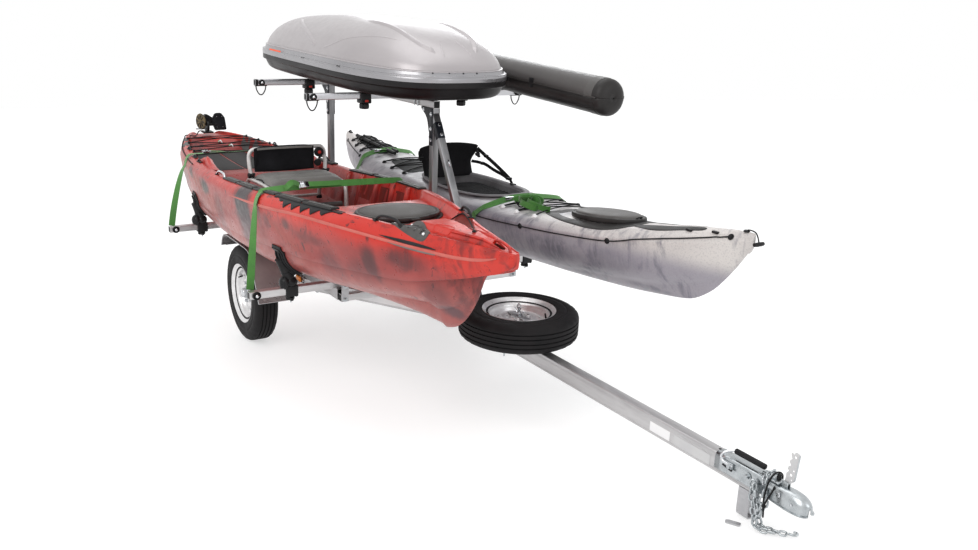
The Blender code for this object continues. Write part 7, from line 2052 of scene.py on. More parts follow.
# hump beside the seat on the starboard side and its twin
parts = []
for side in (-1, 1):
    rings = []
    for x, h in ((-.66, .0), (-.60, .012), (-.52, .036), (-.470, .048), (-.44, .046), (-.40, .026), (-.33, .010), (-.26, 0)):
        yc, hb, zk, fc, zc, zs, fg, zg = lines(RED, x)
        g = fg * hb
        rim_ = max(g - .045, g * .88)
        a, b = rim_ + .006, rim_ - .040
        rings.append([(x, yc + side * (a - .000), zg - .030), (x, yc + side * (a + .004), zg + .001), (x, yc + side * (a - .006), zg + .002 + h * .92), (x, yc + side * (a - .020), zg + .002 + h), (x, yc + side * (b + .006), zg - .002 + h * .7),
                      (x, yc + side * b, zg - .030)])
    parts.append(with_mat(loft(rings), RED_M))
piece("seat_humps", parts, angle=50)

# ---------------------------------------------------------- stand-up seat
SY0, SY1 = -.690, -.250
parts = []
for y in (SY0, SY1):
    q = curve_pts([(.360, y, .800), (.358, y, .860), (.352, y, .915), (.334, y, .9445), (.300, y, .9560), (.180, y, .9580), (.060, y, .9545), (.022, y, .9440), (-.008, y, .9150), (-.024, y, .860), (-.030, y, .802)], 5)
    parts.append(with_mat(rod(q, .0118, 16), SEAT_TUBE))
    for x in (.360, -.030):
        parts.append(with_mat(turn([(.0165, -.001), (.0170, .004), (.0150, .016), (.0122, .020)], (x, y, .799), (0, 0, 1), 18), BLACK))
    parts.append(with_mat(rod([(.052, y, .9555), (.110, y, .9900), (.114, y, .9960)], .0070, 10), BLACK))
    parts.append(with_mat(turn([(.0001, -.016), (.014, -.016), (.0155, -.012), (.0155, .012), (.014, .016), (.0001, .016)], (.062, y, .9765), (0, 1, 0), 20), BLACK))
for x, z in ((.360, .8180), (-.030, .8180)):
    parts.append(with_mat(rod([(x, SY0, z), (x, SY1, z)], .0090, 14), SEAT_TUBE))
for x in (.118, .322):
    parts.append(with_mat(rod([(x, SY0, .9545), (x, SY1, .9545)], .0098, 14), SEAT_TUBE))
parts.append(with_mat(rod([(.362, SY0 + .03, .8460), (.362, SY1 - .03, .8460)], .0135, 16), GREYRUB))
piece("seat_frame", parts, over=("red_seat",), angle=45)


def pillow(x0, x1, y0, y1, zlo, zhi, sag=.0, nx=26, ny=44, folds=(), exp=3.2, lean=None):
    """A stuffed cushion: closed, rounded at the rim, with stitched folds."""
    top, bot = [], []
    for i in range(nx + 1):
        for j in range(ny + 1):
            u, w = -1 + 2 * i / nx, -1 + 2 * j / ny
            e = max(0.0, (1 - abs(u) ** exp)) ** .5 * max(0.0, (1 - abs(w) ** (exp * 2))) ** .5
            x, y = mixf(x0, x1, (u + 1) / 2), mixf(y0, y1, (w + 1) / 2)
            zc = (zlo + zhi) / 2
            h = (zhi - zlo) / 2 * e
            d_ = 0.0
            for fx, depth, width, wob in folds:
                xx = fx + wob * math.sin(w * 3.1 + fx * 40)
                d_ += depth * math.exp(-((u - xx) / width) ** 2) * (1 - .5 * abs(w))
            d_ += .0011 * math.sin(u * 9 + w * 14) * math.cos(w * 23 - u * 5) * e + .0008 * math.sin(w * 47 + u * 11) * e
            top.append((x, y, zc + h - d_ * e - sag * e * (1 - w * w) * (1 - u * u)))
            bot.append((x, y, zc - h))
    n = len(top)
    w_ = ny + 1
    v = top + bot
    f = []
    for i in range(nx):
        for j in range(ny):
            a = i * w_ + j
            f.append((a, a + 1, a + w_ + 1, a + w_))
            f.append((n + a, n + a + w_, n + a + w_ + 1, n + a + 1))
    rim_ids = list(range(w_)) + [i * w_ + ny for i in range(1, nx + 1)] + [nx * w_ + j for j in range(ny - 1, -1, -1)] + [i * w_ for i in range(nx - 1, 0, -1)]
    for a, b in zip(rim_ids, rim_ids[1:] + rim_ids[:1]):
        f.append((a, n + a, n + b, b))
    return v, f


apron = [(.128, .9680), (.118, .9715), (.108, .9755), (.099, .9790)]
piece("seat_apron", [with_mat(strip([(x, -.470, z) for x, z in apron], .400, .0022, (0, 1, 0)), CUSHION)], angle=60)
cush = piece("seat_cushion", [with_mat(pillow(.078, .350, -.682, -.258, .9260, 1.0075, .004, folds=((-.55, .006, .10, .03), (.05, .004, .14, .05), (.62, .0085, .09, .04))), CUSHION)], angle=60)
parts = []
for x in (.105, .330):
    q = [(x, y, .9420) for y in (-.676, -.60, -.5, -.4, -.3, -.264)]
    parts.append(with_mat(rod(q, .0042, 8), CUSHION))
for y in (-.640, -.560, -.380, -.300):
    parts.append(with_mat(strip([(.100, y, .9395), (.180, y, .9370), (.260, y, .9370), (.335, y, .9395)], .022, .0018, (0, 1, 0)), CORDURA))
for y in (-.690, -.250):
    parts.append(with_mat(rod(curve_pts([(.150, y, .9700), (.200, y + (.010 if y < -.4 else -.010), .9760), (.262, y, .9700)], 4), .0030, 8), CORDM))
piece("seat_sling", parts, angle=45)

# folding back: tube hoop, stretched mesh panel with a padded top seam
hoop = curve_pts([(.062, -.690, .9800), (.054, -.694, 1.020), (.044, -.694, 1.066), (.043, -.690, 1.094), (.044, -.676, 1.1130), (.046, -.650, 1.1190), (.047, -.560, 1.1195), (.047, -.470, 1.1195), (.047, -.380, 1.1195),
                  (.046, -.290, 1.1190), (.044, -.264, 1.1130), (.043, -.250, 1.094), (.044, -.246, 1.066), (.054, -.246, 1.020), (.062, -.250, .9800)], 5)
parts = [with_mat(rod(hoop, .0112, 16), SEAT_TUBE)]


def back_panel(y0, y1, nx=30, nz=18):
    v = []
    for side in (0, 1):
        for i in range(nx + 1):
            for j in range(nz + 1):
                w, t = -1 + 2 * i / nx, j / nz
                y = mixf(y0, y1, i / nx)
                lo, hi = .9900 + .006 * abs(w) ** 2, 1.1350 - .010 * abs(w) ** 6
                z = mixf(lo, hi, t)
                edge_ = max(0.0, 1 - abs(w) ** 8) ** .5 * max(0.0, 1 - abs(2 * t - 1) ** 7) ** .5
                x = .052 - .010 * math.sin(math.pi * t * .9) - .006 * (1 - w * w)
                th = .0125 * edge_ + .0012 * math.sin(w * 17 + t * 5) * edge_ + (.0022 * math.exp(-((t - .80) / .05) ** 2) * -1 + .0015 * math.exp(-((t - .30) / .12) ** 2)) * edge_
                v.append((x + (th + .0015 if side else -th * .55 - .0015) + .010, y, z))
    n = (nx + 1) * (nz + 1)
    w_ = nz + 1
    f = []
    for i in range(nx):
        for j in range(nz):
            a = i * w_ + j
            f.append((a, a + w_, a + w_ + 1, a + 1))
            f.append((n + a, n + a + 1, n + a + w_ + 1, n + a + w_))
    ids = list(range(w_)) + [i * w_ + nz for i in range(1, nx + 1)] + [nx * w_ + j for j in range(nz - 1, -1, -1)] + [i * w_ for i in range(nx - 1, 0, -1)]
    for a, b in zip(ids, ids[1:] + ids[:1]):
        f.append((a, b, n + b, n + a))
    return v, f


hoop_ob = piece("seat_back_hoop", parts + [with_mat(turn([(.0001, -.010), (.0250, -.010), (.0270, -.007), (.0270, .007), (.0240, .0105), (.0120, .0110), (.0110, .0090), (.0001, .0090)], (.074, -.292, 1.090), (1, 0, 0), 28), BLACK),
                                           with_mat(turn([(.0001, .009), (.0095, .009), (.0100, .0125), (.0070, .0145), (.0001, .0150)], (.074, -.292, 1.090), (1, 0, 0), 20), RUBRED),
                                           with_mat(turn([(.0001, -.010), (.0190, -.010), (.0200, -.007), (.0200, .006), (.0001, .0075)], (.074, -.300, 1.030), (1, 0, 0), 24), BLACK)],
                "seat_back", over=("red_seat_back",), angle=45)
bp = piece("seat_back_pad", [with_mat(back_panel(-.668, -.318), MESHB)], "seat_back", angle=60)
parts = [with_mat(strip(curve_pts([(.0725, -.655, 1.1225), (.0760, -.58, 1.1250), (.0775, -.49, 1.1255), (.0760, -.40, 1.1250), (.0725, -.33, 1.1225)], 5), .012, .0020, (0, 0, 1)), CUSHION)]
for y in (-.660, -.326):
    parts.append(with_mat(strip([(.060, y, 1.015), (.068, y, 1.045), (.069, y, 1.080), (.066, y, 1.110)], .012, .0020, (0, 1, 0)), CORDURA))
piece("seat_back_seams", parts, "seat_back", angle=60)

# ------------------------------------------------- oval bow hatch, its rim
z0, _ = drop(REDT, HATCH[0] - .185, HATCH[1])
z1, _ = drop(REDT, HATCH[0] + .185, HATCH[1])
zl = lambda x: mixf(z0.z, z1.z, (x - z0.x) / (z1.x - z0.x))
cad_hi, cad_lo = [], []
hat = [INV @ (NODE["red_bow_hatch"].matrix_world @ v.co) for v in NODE["red_bow_hatch"].data.vertices]
hx = [p for p in hat]
slope = ((sum(p.z for p in hx if p.x > HATCH[0] + .08) / max(1, len([p for p in hx if p.x > HATCH[0] + .08]))) - (sum(p.z for p in hx if p.x < HATCH[0] - .08) / max(1, len([p for p in hx if p.x < HATCH[0] - .08])))) / .25
low = min(p.z - slope * (p.x - HATCH[0]) for p in hx)
high = max(p.z - slope * (p.x - HATCH[0]) for p in hx)


def oval(cx, cy, a, b, rows, base, slope_, n=64, e=2.0, dent=None):
    rings = []
    for k, h in rows:
        r = []
        for i in range(n):
            t = 2 * math.pi * i / n
            c, s = math.cos(t), math.sin(t)
            kk = k * (1 - (.035 if dent and k > .8 and any(abs((t - d0 + math.pi) % (2 * math.pi) - math.pi) < .05 for d0 in dent) else 0))
            x = cx + math.copysign(abs(c) ** (2 / e), c) * a * kk
            y = cy + math.copysign(abs(s) ** (2 / e), s) * b * kk
            r.append((x, y, base + h + slope_ * (x - cx)))
        rings.append(r)
    return loft(rings)


T_ = high - low
rows = [(.955, .002), (.990, .003), (1.000, .006), (1.000, T_ * .62), (.994, T_ * .74), (.972, T_ * .82)]
rows2 = [(.972, T_ * .82), (.940, T_ * .84), (.925, T_ * .80), (.905, T_ * .80), (.890, T_ * .86), (.860, T_ * .92), (.60, T_ * .98), (.30, T_ * 1.0), (.03, T_ * 1.0)]
a_, b_ = .165, .200
hatch_parts = [with_mat(oval(HATCH[0], HATCH[1], a_, b_, rows, low, slope, dent=(1.9, 1.2, .5)), GREYRUB2), with_mat(oval(HATCH[0], HATCH[1], a_, b_, rows2, low, slope, dent=(1.9, 1.2, .5)), GREYRUB)]
zt_ = low + T_
hatch_parts.append(with_mat(rbox((HATCH[0] + .150, HATCH[1] - .022, low + T_ * .35 + slope * .16), (HATCH[0] + .182, HATCH[1] + .022, low + T_ * .78 + slope * .16), .004, 3), GREYRUB2))
piece("bow_hatch_lid", hatch_parts, "fishing_hatch", over=("red_bow_hatch",), angle=35)
rows = [(1.0, -.012), (1.075, -.012), (1.085, -.002), (1.075, .0030), (1.045, .0042), (1.020, .0036), (.965, .0010), (.955, -.010)]
rimp = oval(HATCH[0], HATCH[1], a_, b_, rows, low - .0035, slope)
v, f = rimp
n = 64
f = [q for q in f if len(q) == 4] + [(7 * n + i, 7 * n + (i + 1) % n, (i + 1) % n, i) for i in range(n)]
piece("bow_hatch_rim", [(v, f, GREYRUB2)], angle=35)

parts = []
for side in (-1, 1):
    for x, w in ((.12, .030), (.30, .034), (.50, .036), (.70, .036), (.90, .034)):
        rings = []
        for dx, k in ((-w / 2, .25), (-w / 2 + .008, .85), (0, 1.0), (w / 2 - .008, .85), (w / 2, .25)):
            yc, hb, zk, fc, zc, zs, fg, zg = lines(RED, x + dx)
            g = fg * hb
            rim_ = max(g - .045, g * .88)
            zf = fair(x + dx, FLOOR_X, FLOOR_Z)
            foot = min(fair(x + dx, FLOOR_X, FLOOR_W) * g, rim_ - .004)
            pts = []
            for t, o_ in ((0, .012), (.06, .024), (.35, .030), (.72, .024), (.98, .016)):
                yy = mixf(rim_, foot, t ** 1.15) - o_ * k
                pts.append((x + dx, yc + side * yy, mixf(zg + .002, zf, t)))
            for t in (.98, .5, 0):
                pts.append((x + dx, yc + side * (mixf(rim_, foot, t ** 1.15) + .010), mixf(zg - .004, zf, t)))
            rings.append(pts)
        parts.append(with_mat(loft(rings), RED_M))
    for x0, x1 in ((.335, .462), (.540, .660), (.742, .860)):
        v, f = [], []
        for i in range(9):
            x = mixf(x0, x1, i / 8)
            yc, hb, zk, fc, zc, zs, fg, zg = lines(RED, x)
            g = fg * hb
            rim_ = max(g - .045, g * .88)
            zf = fair(x, FLOOR_X, FLOOR_Z)
            foot = min(fair(x, FLOOR_X, FLOOR_W) * g, rim_ - .004)
            for t in (.16, .30, .45, .58):
                p, nn = skin_at(REDT, (x, yc + side * (mixf(rim_, foot, t ** 1.1) - .012), mixf(zg, zf, t)), 0, RED_C)
                v.append(Vector((p.x, p.y - side * .0016, p.z)))
        f = [(i * 4 + j, i * 4 + j + 1, (i + 1) * 4 + j + 1, (i + 1) * 4 + j) for i in range(8) for j in range(3)]
        parts.append((v, f, POCKET))
piece("cockpit_ribs", parts, angle=60)

# the moulded sheer bead along both sides, coloured a lighter red as a painted highlight
parts = []
SHEER = [(.30, -.894, .928), (.483, -.894, .945), (.659, -.891, .958), (.795, -.884, .968), (.942, -.873, .982), (1.072, -.859, .994), (1.268, -.827, 1.005), (1.458, -.787, 1.009),
         (1.619, -.741, 1.009), (1.751, -.700, 1.008), (1.910, -.647, 1.008), (2.067, -.601, 1.012), (2.160, -.573, 1.020), (2.240, -.547, 1.034), (2.300, -.524, 1.052)]
for side in (-1, 1):
    run = []
    for p in curve_pts(SHEER, 5):
        yc = lines(RED, p.x)[0]
        run.append(skin_at(REDT, (p.x, yc + side * (yc - p.y), p.z), -.0004, RED_C)[0])
    parts.append(with_mat(strip(run, .0150, .0008, (0, 0, 1), camber=-.0034 * side, taper=lambda t: .30 + .70 * min(1, t / .12, (1 - t) / .08)), SHEER_HIGHLIGHT_RED))
piece("sheer_bead", parts, angle=60)

# ======================================================= bow of the red kayak
def side_patch(tree, mid, xs0, zs_of, y_out, lift=.0012, rows=3):
    v, f = [], []
    for i, x in enumerate(xs0):
        z0_, z1_ = zs_of(x)
        for k in range(rows):
            p, _ = skin_at(tree, (x, y_out(x), mixf(z0_, z1_, k / (rows - 1))), lift, mid)
            v.append(p)
        if i:
            for k in range(rows - 1):
                f.append(((i - 1) * rows + k, i * rows + k, i * rows + k + 1, (i - 1) * rows + k + 1))
    return v, f


def deck_shape(tree, outline, mt, th=.004, lift=.0, dome_=.0, inset=.12, up=1.45):
    """A flat shape laid on a deck: outline of (x, y), rounded at its rim."""
    cx = sum(p[0] for p in outline) / len(outline)
    cy = sum(p[1] for p in outline) / len(outline)
    rings = []
    for k, h in ((1.0, -.002), (1.0, th * .6), (1 - inset * .25, th * .92), (1 - inset * .6, th), (.62, th + dome_ * .6), (.30, th + dome_ * .9), (.04, th + dome_)):
        rings.append([drop(tree, cx + (x - cx) * k, cy + (y - cy) * k, up)[0] + Vector((0, 0, h + lift)) for x, y in outline])
    v, f = loft(rings)
    return v, f, mt


def soft_poly(pts, n=5):
    P = curve_pts([(x, y, 0) for x, y in pts + pts[:1]], n)
    return [(p.x, p.y) for p in P[:-1]]


parts = []
tri = soft_poly([(1.690, -.640), (1.700, -.590), (1.722, -.556), (1.770, -.545), (1.850, -.566), (1.925, -.596), (1.932, -.620), (1.905, -.636), (1.800, -.655), (1.715, -.660)], 4)
parts.append(deck_shape(REDT, tri, GREYRUB, .0060, .0, .0015, .10))
for a, b in (((1.735, -.640), (1.730, -.575)), ((1.775, -.643), (1.772, -.566)), ((1.815, -.640), (1.815, -.575)), ((1.855, -.634), (1.857, -.584)), ((1.893, -.627), (1.895, -.600))):
    q = [drop(REDT, mixf(a[0], b[0], t), mixf(a[1], b[1], t))[0] + Vector((0, 0, .0070)) for t in (0, .25, .5, .75, 1)]
    parts.append(with_mat(rod(q, .0016, 6), GREYRUB2))
for x, y in ((1.712, -.646), (1.728, -.570), (1.912, -.617)):
    p, nn = drop(REDT, x, y)
    parts.append(with_mat(turn([(.0062, .004), (.0058, .0082), (.0030, .0094), (.0001, .0094)], p, nn, 14), LABEL))
piece("bow_vent_hatch", parts, angle=40)

# dark slot, and a pale patch beside it along the ridge, which is a painted highlight
parts = []
yo = lambda x: lines(RED, x)[0] - lines(RED, x)[1] - .01
v, f = side_patch(REDT, RED_C, [1.700 + .014 * k for k in range(23)],
                  lambda x: (1.034 - .018 * (x - 1.70) - .0100 * math.sin(math.pi * min(1, (x - 1.70) / .31)) ** .6 - .001, 1.034 - .018 * (x - 1.70) + .0060 * math.sin(math.pi * min(1, (x - 1.70) / .31)) ** .6 + .001), yo, .0012)
parts.append((v, f, BLACK))
v, f = side_patch(REDT, RED_C, [1.745 + .014 * k for k in range(20)],
                  lambda x: (1.012 - .020 * (x - 1.745) - .0095 * math.sin(math.pi * min(1, (x - 1.745) / .27)) ** .5, 1.012 - .020 * (x - 1.745) + .0080 * math.sin(math.pi * min(1, (x - 1.745) / .27)) ** .5 + .001), yo, .0010)
RIDGE_HIGHLIGHT = plastic("pale_ridge_painted_highlight", (.17, .14, .135), (.25, .21, .20), .45, .6, 500, .2, 10)
parts.append((v, f, RIDGE_HIGHLIGHT))
sl = piece("bow_side_patches", parts, angle=50)
md = sl.modifiers.new("wall", "SOLIDIFY")
md.thickness, md.offset = .0012, 0

# port pocket with its bungee, circular imprint and the moulded ridges
parts = []
pk = soft_poly([(1.600, -.285), (1.640, -.255), (1.760, -.300), (1.900, -.372), (2.030, -.440), (2.045, -.458), (1.990, -.452), (1.850, -.405), (1.720, -.350), (1.630, -.312)], 4)
parts.append(deck_shape(REDT, pk, POCKET, .0012, 0, 0, .3))
q = [drop(REDT, x, y)[0] + Vector((0, 0, .006)) for x, y in ((1.585, -.300), (1.66, -.290), (1.76, -.320), (1.90, -.385), (2.050, -.470))]
parts.append(with_mat(rod(curve_pts(q, 4), .0030, 8), CORDM))
for x, y in ((1.585, -.300), (2.050, -.470)):
    p, nn = drop(REDT, x, y)
    parts.append(with_mat(turn([(.0085, -.001), (.0085, .003), (.0050, .0085), (.0001, .009)], p, nn, 16), BLACK))
piece("bow_pocket", parts, angle=50)
parts = []
ring_ = [drop(REDT, 1.915 + .058 * math.cos(t), -.530 + .036 * math.sin(t))[0] + Vector((0, 0, .0002)) for t in (2 * math.pi * k / 40 for k in range(41))]
parts.append(with_mat(rod(ring_, .0020, 6, caps=False), RED_M))
for ys_ in (-1, 1):
    q = []
    for k in range(13):
        x = 1.98 + .30 * k / 12
        yc = lines(RED, x)[0]
        q.append(drop(REDT, x, yc + ys_ * mixf(.052, .012, k / 12))[0] + Vector((0, 0, .0010)))
    parts.append(with_mat(rod(q, lambda t: .0060 * math.sin(math.pi * min(1, max(.04, t))) ** .5 + .0008, 8), RED_M))
piece("bow_ridges", parts, angle=60)
parts = []
hx_ = [2.215, 2.330]
hp = [drop(REDT, x, lines(RED, x)[0])[0] for x in hx_]
parts.append(with_mat(rod(curve_pts([hp[0] + Vector((0, 0, -.002)), hp[0].lerp(hp[1], .12) + Vector((0, 0, .014)), hp[0].lerp(hp[1], .5) + Vector((0, 0, .020)), hp[0].lerp(hp[1], .88) + Vector((0, 0, .014)), hp[1] + Vector((0, 0, -.002))], 5), .0062, 12), RED_M))
piece("bow_grip", parts, angle=60)

# stern drive, seen from ahead: turned guard disc, yoke, plate and shaft
parts = [with_mat(rbox((-1.575, -.490, .9815), (-1.505, -.420, .9930), .003, 3), BLACK)]
for x in (-1.566, -1.514):
    for y in (-.481, -.429):
        parts.append(with_mat(turn([(.0042, 0), (.0040, .0022), (.0001, .0026)], (x, y, .9930), (0, 0, 1), 12), CHROME))
piece("drive_plate", parts, over=("drive_mount",), angle=40)
ax = Vector((.30, -.954, 0)).normalized()
c = Vector((-1.566, -.490, 1.058))
parts = [with_mat(turn([(.0001, -.0050), (.030, -.0052), (.046, -.0050), (.0540, -.0044), (.0562, -.0020), (.0562, .0020), (.0545, .0042), (.0500, .0050), (.0470, .0040), (.0300, .0036), (.0160, .0052), (.0120, .0088),
                        (.0070, .0098), (.0001, .0100)], c, ax, 48), DRIVE_M)]
side_v = ax.cross(Vector((0, 0, 1))).normalized()
for k in range(8):
    t = 2 * math.pi * k / 8
    d = side_v * math.cos(t) + Vector((0, 0, 1)) * math.sin(t)
    parts.append(with_mat(rod([c + ax * .0044 + d * .017, c + ax * .0048 + d * .034, c + ax * .0046 + d * .047], lambda u: .0036 - .0014 * u, 8), BLACK))
yk = [(-1.578, .9985), (-1.568, .9965), (-1.520, .9965), (-1.508, 1.010), (-1.505, 1.026), (-1.509, 1.046), (-1.518, 1.060), (-1.530, 1.066), (-1.556, 1.069), (-1.566, 1.066), (-1.574, 1.046), (-1.579, 1.018)]
v, f = prism(yk, ((0, -.4625, 0), (1, 0, 0), (0, 0, 1)), -.015)
parts.append((v, f, BLACK))
parts.append(with_mat(rod([(-1.564, -.487, 1.052), (-1.556, -.468, 1.048), (-1.548, -.450, 1.045)], .0118, 16), BLACK))
parts.append(with_mat(rod(curve_pts([(-1.538, -.458, 1.036), (-1.531, -.430, 1.040), (-1.5245, -.395, 1.040)], 4), .0098, 14), BLACK))
pl = [(-.4270, 1.060), (-.4215, 1.084), (-.4085, 1.110), (-.4010, 1.1165), (-.3900, 1.1195), (-.3640, 1.1200), (-.3560, 1.1150), (-.3370, 1.0900), (-.3335, 1.0800), (-.3245, 1.0080), (-.3290, 1.0020), (-.3400, 1.0005), (-.4000, .9995), (-.4060, 1.0030)]
v, f = prism(pl, ((-1.531, 0, 0), (0, 1, 0), (0, 0, 1)), .0130)
parts.append((v, f, BLACKP))
for q in ([(-.412, 1.062), (-.395, 1.106), (-.366, 1.110), (-.346, 1.080), (-.337, 1.012), (-.400, 1.010), (-.412, 1.062)],):
    parts.append(with_mat(rod([(-1.5178, y, z) for y, z in q], .0013, 6, ref=(1, 0, 0), caps=False), BLACK_GLOSS))
for y, z in ((-.392, 1.095), (-.356, 1.095), (-.392, 1.022), (-.350, 1.022)):
    parts.append(with_mat(turn([(.0040, 0), (.0036, .0018), (.0001, .0022)], (-1.5180, y, z), (1, 0, 0), 12), ZINC))
parts.append(with_mat(rod([(-1.550, -.458, 1.008), (-1.550, -.532, 1.010)], .0040, 12), ZINC))
parts.append(with_mat(turn([(.0125, -.0008), (.0135, .002), (.0125, .0050), (.0001, .0055)], (-1.545, -.455, .9935), (0, 0, 1), 20), BLACK_GLOSS))
# housing between the disc and the plate, its top sloping to the plate
hs = [(-.474, 1.104), (-.462, 1.112), (-.448, 1.108), (-.426, 1.092), (-.412, 1.086), (-.412, 1.048), (-.430, 1.036), (-.462, 1.032), (-.474, 1.040)]
v, f = prism(hs, ((-1.562, 0, 0), (0, 1, 0), (0, 0, 1)), .036)
parts.append((v, f, BLACK))
parts.append(with_mat(rod([(-1.5250, -.468, 1.088), (-1.5250, -.440, 1.080), (-1.5250, -.418, 1.070)], .0022, 8), BLACK_GLOSS))
piece("stern_drive_unit", parts, "drive", over=("stern_drive",), angle=40, bevel=0)

# footwell fittings
parts = []
for side in (-1, 1):
    y = lines(RED, .80)[0] + side * .165
    p, _ = drop(REDT, .80, y, .99)
    parts.append(with_mat(rbox((.70, y - .012, p.z + .0005), (.98, y + .012, p.z + .0125), .003, 2), BLACK))
    pts = [(.79, y - .040, p.z + .014), (.835, y - .040, p.z + .095)]
    parts.append(with_mat(prism([(0, 0), (.050, 0), (.085, .080), (.078, .100), (.060, .100), (.030, .055)], ((.785, y - .045, p.z + .012), (1, 0, 0), (0, 0, 1)), -.090), BLACK))
p, _ = drop(REDT, .62, -.455, .99)
parts.append(with_mat(turn([(.034, -.001), (.034, .003), (.028, .0045), (.026, .003), (.0001, .003)], p, (0, 0, 1), 28), GREYRUB2))
for x, y in ((.20, -.64), (.20, -.27), (.50, -.66), (.50, -.25)):
    p, _ = drop(REDT, x, y, .95)
    parts.append(with_mat(turn([(.013, -.002), (.013, .001), (.010, .002), (.0001, -.004)], p, (0, 0, 1), 18), BLACK))
piece("foot_braces", parts, angle=40)

# ======================================================== touring kayak's kit
def coaming(cx, cy, a, b, n, count=96):
    v = []
    prof = [(-.006, -.040), (-.0065, -.004), (-.004, .010), (.002, .0165), (.012, .0185), (.024, .0165), (.0275, .0120), (.0250, .0085), (.0130, .0080), (.0075, .0030), (.0060, -.006)]
    m = len(prof)
    for i in range(count):
        t = 2 * math.pi * i / count
        c, s = math.cos(t), math.sin(t)
        px, py = cx + math.copysign(abs(c) ** (2 / n), c) * a, cy + math.copysign(abs(s) ** (2 / n), s) * b
        d = Vector((math.copysign(abs(c) ** (2 - 2 / n), c) / a, math.copysign(abs(s) ** (2 - 2 / n), s) / b, 0)).normalized()
        z = white_deck_z(px + d.x * .012, py + d.y * .012)
        for o_, h in prof:
            v.append((px + d.x * o_, py + d.y * o_, z + h))
    f = [(i * m + j, ((i + 1) % count) * m + j, ((i + 1) % count) * m + (j + 1) % m, i * m + (j + 1) % m) for i in range(count) for j in range(m)]
    return v, f


piece("cockpit_coaming", [with_mat(coaming(COCK[0], COCK[1], COCK[2], COCK[3], 2.5), INWHITE)], angle=50)

pad = piece("cockpit_seat", [with_mat(pillow(.296, .806, .272, .628, .852, .916, .016, folds=((-.35, .004, .05, .02), (.30, .004, .05, .02), (.72, -.003, .10, .0)), exp=2.6), CORDURA)], over=("white_seat",), angle=60)
parts = []
for yy in (.335, .450, .565):
    parts.append(with_mat(rod([(x, yy, .905 - .016 * (1 - ((x - .55) / .25) ** 2) * (1 - ((yy - .45) / .18) ** 2)) for x in (.36, .44, .52, .60, .68, .74)], .0014, 6), CORDM))
piece("seat_piping", parts)


def backrest(nx=40, nz=30):
    v = []
    for side in (0, 1):
        for i in range(nx + 1):
            w = -1 + 2 * i / nx
            y = .45 + .192 * w
            for j in range(nz + 1):
                t = j / nz
                lo = .930 + .006 * w * w
                hi = 1.1290 - .014 * abs(w) ** 3 + .003 * math.cos(w * 2.2)
                z = mixf(lo, hi, t)
                wid = .865 + .180 * sstep(t, .42, .84)
                yy = .45 + (y - .45) * wid
                rim_ = max(0.0, 1 - abs(w) ** 9) ** .5 * max(0.0, 1 - abs(2 * t - 1) ** 10) ** .5
                x = .272 - .040 * math.sin(math.pi * t * .82) + .016 * t + .024 * w * w
                quilt = .0035 * math.exp(-((t - .42) / .012) ** 2) + .0035 * math.exp(-((t - .72) / .012) ** 2) + .0030 * math.exp(-((abs(w) - .62) / .014) ** 2)
                crease = .0010 * math.sin(w * 21 + t * 7) * math.sin(t * 13 + w * 3)
                th = (.0135 - quilt + crease) * rim_
                v.append((x + (th + .001 if side else -th * .7 - .001), yy, z))
    n = (nx + 1) * (nz + 1)
    w_ = nz + 1
    f = []
    for i in range(nx):
        for j in range(nz):
            a = i * w_ + j
            f.append((a, a + w_, a + w_ + 1, a + 1))
            f.append((n + a, n + a + 1, n + a + w_ + 1, n + a + w_))
    ids = list(range(w_)) + [i * w_ + nz for i in range(1, nx + 1)] + [nx * w_ + j for j in range(nz - 1, -1, -1)] + [i * w_ for i in range(nx - 1, 0, -1)]
    for a, b in zip(ids, ids[1:] + ids[:1]):
        f.append((a, b, n + b, n + a))
    return v, f


br = piece("cockpit_backrest_pad", [with_mat(backrest(), CORDURA)], "cockpit_backrest", over=("white_backrest",), angle=60)
parts = []
for s in (-1, 1):
    y = .45 + s * .196
    q = curve_pts([(.276, y - s * .004, 1.092), (.286, y + s * .002, 1.080), (.294, y + s * .004, 1.066), (.298, y + s * .002, 1.054), (.296, y - s * .002, 1.046)], 4)
    parts.append(with_mat(strip(q, .020, .0018, (0, 1, 0)), CORDURA))
    parts.append(with_mat(rbox((.288, y - .014, 1.052), (.303, y + .014, 1.068), .003, 3), BLACK_GLOSS))
    parts.append(with_mat(rbox((.286, y - .012, 1.072), (.297, y + .012, 1.078), .002), BLACK_GLOSS))
    q = curve_pts([(.300, y + s * .002, 1.056), (.308, y + s * .004, 1.048), (.306, y + s * .004, 1.042)], 4)
    parts.append(with_mat(strip(q, .018, .0016, (0, 1, 0)), CORDURA))
edge_q = [(.272 - .040 * math.sin(math.pi * .82) + .016 + .024 * w * w + .002, .45 + .192 * w * 1.035, 1.1290 - .014 * abs(w) ** 3 + .003 * math.cos(w * 2.2)) for w in [-.96 + 1.92 * k / 24 for k in range(25)]]
parts.append(with_mat(rod(edge_q, .0038, 8), CORDM))
piece("backrest_straps", parts, "cockpit_backrest", angle=50)
parts = []
q = curve_pts([(.258, .667, 1.090), (.320, .674, 1.064), (.450, .672, 1.024), (.560, .662, .994), (.640, .652, .972)], 5)
parts.append(with_mat(strip(q, .020, .0018, (0, .5, .8)), CORDURA))
q = curve_pts([(.252, .632, 1.012), (.300, .656, 1.010), (.360, .666, 1.006), (.450, .668, .988), (.560, .660, .978), (.632, .652, .968)], 5)
parts.append(with_mat(strip(q, .018, .0018, (0, .5, .8)), CORDURA))
for x, y, z in ((.350, .674, 1.055), (.330, .662, 1.009)):
    parts.append(with_mat(rbox((x - .013, y - .010, z - .009), (x + .013, y + .010, z + .009), .003, 2), BLACK_GLOSS))
parts.append(with_mat(rbox((.618, .640, .962), (.652, .666, .978), .004, 3), BLACK_GLOSS))
q = curve_pts([(.646, .652, .970), (.672, .645, .958), (.692, .640, .949)], 4)
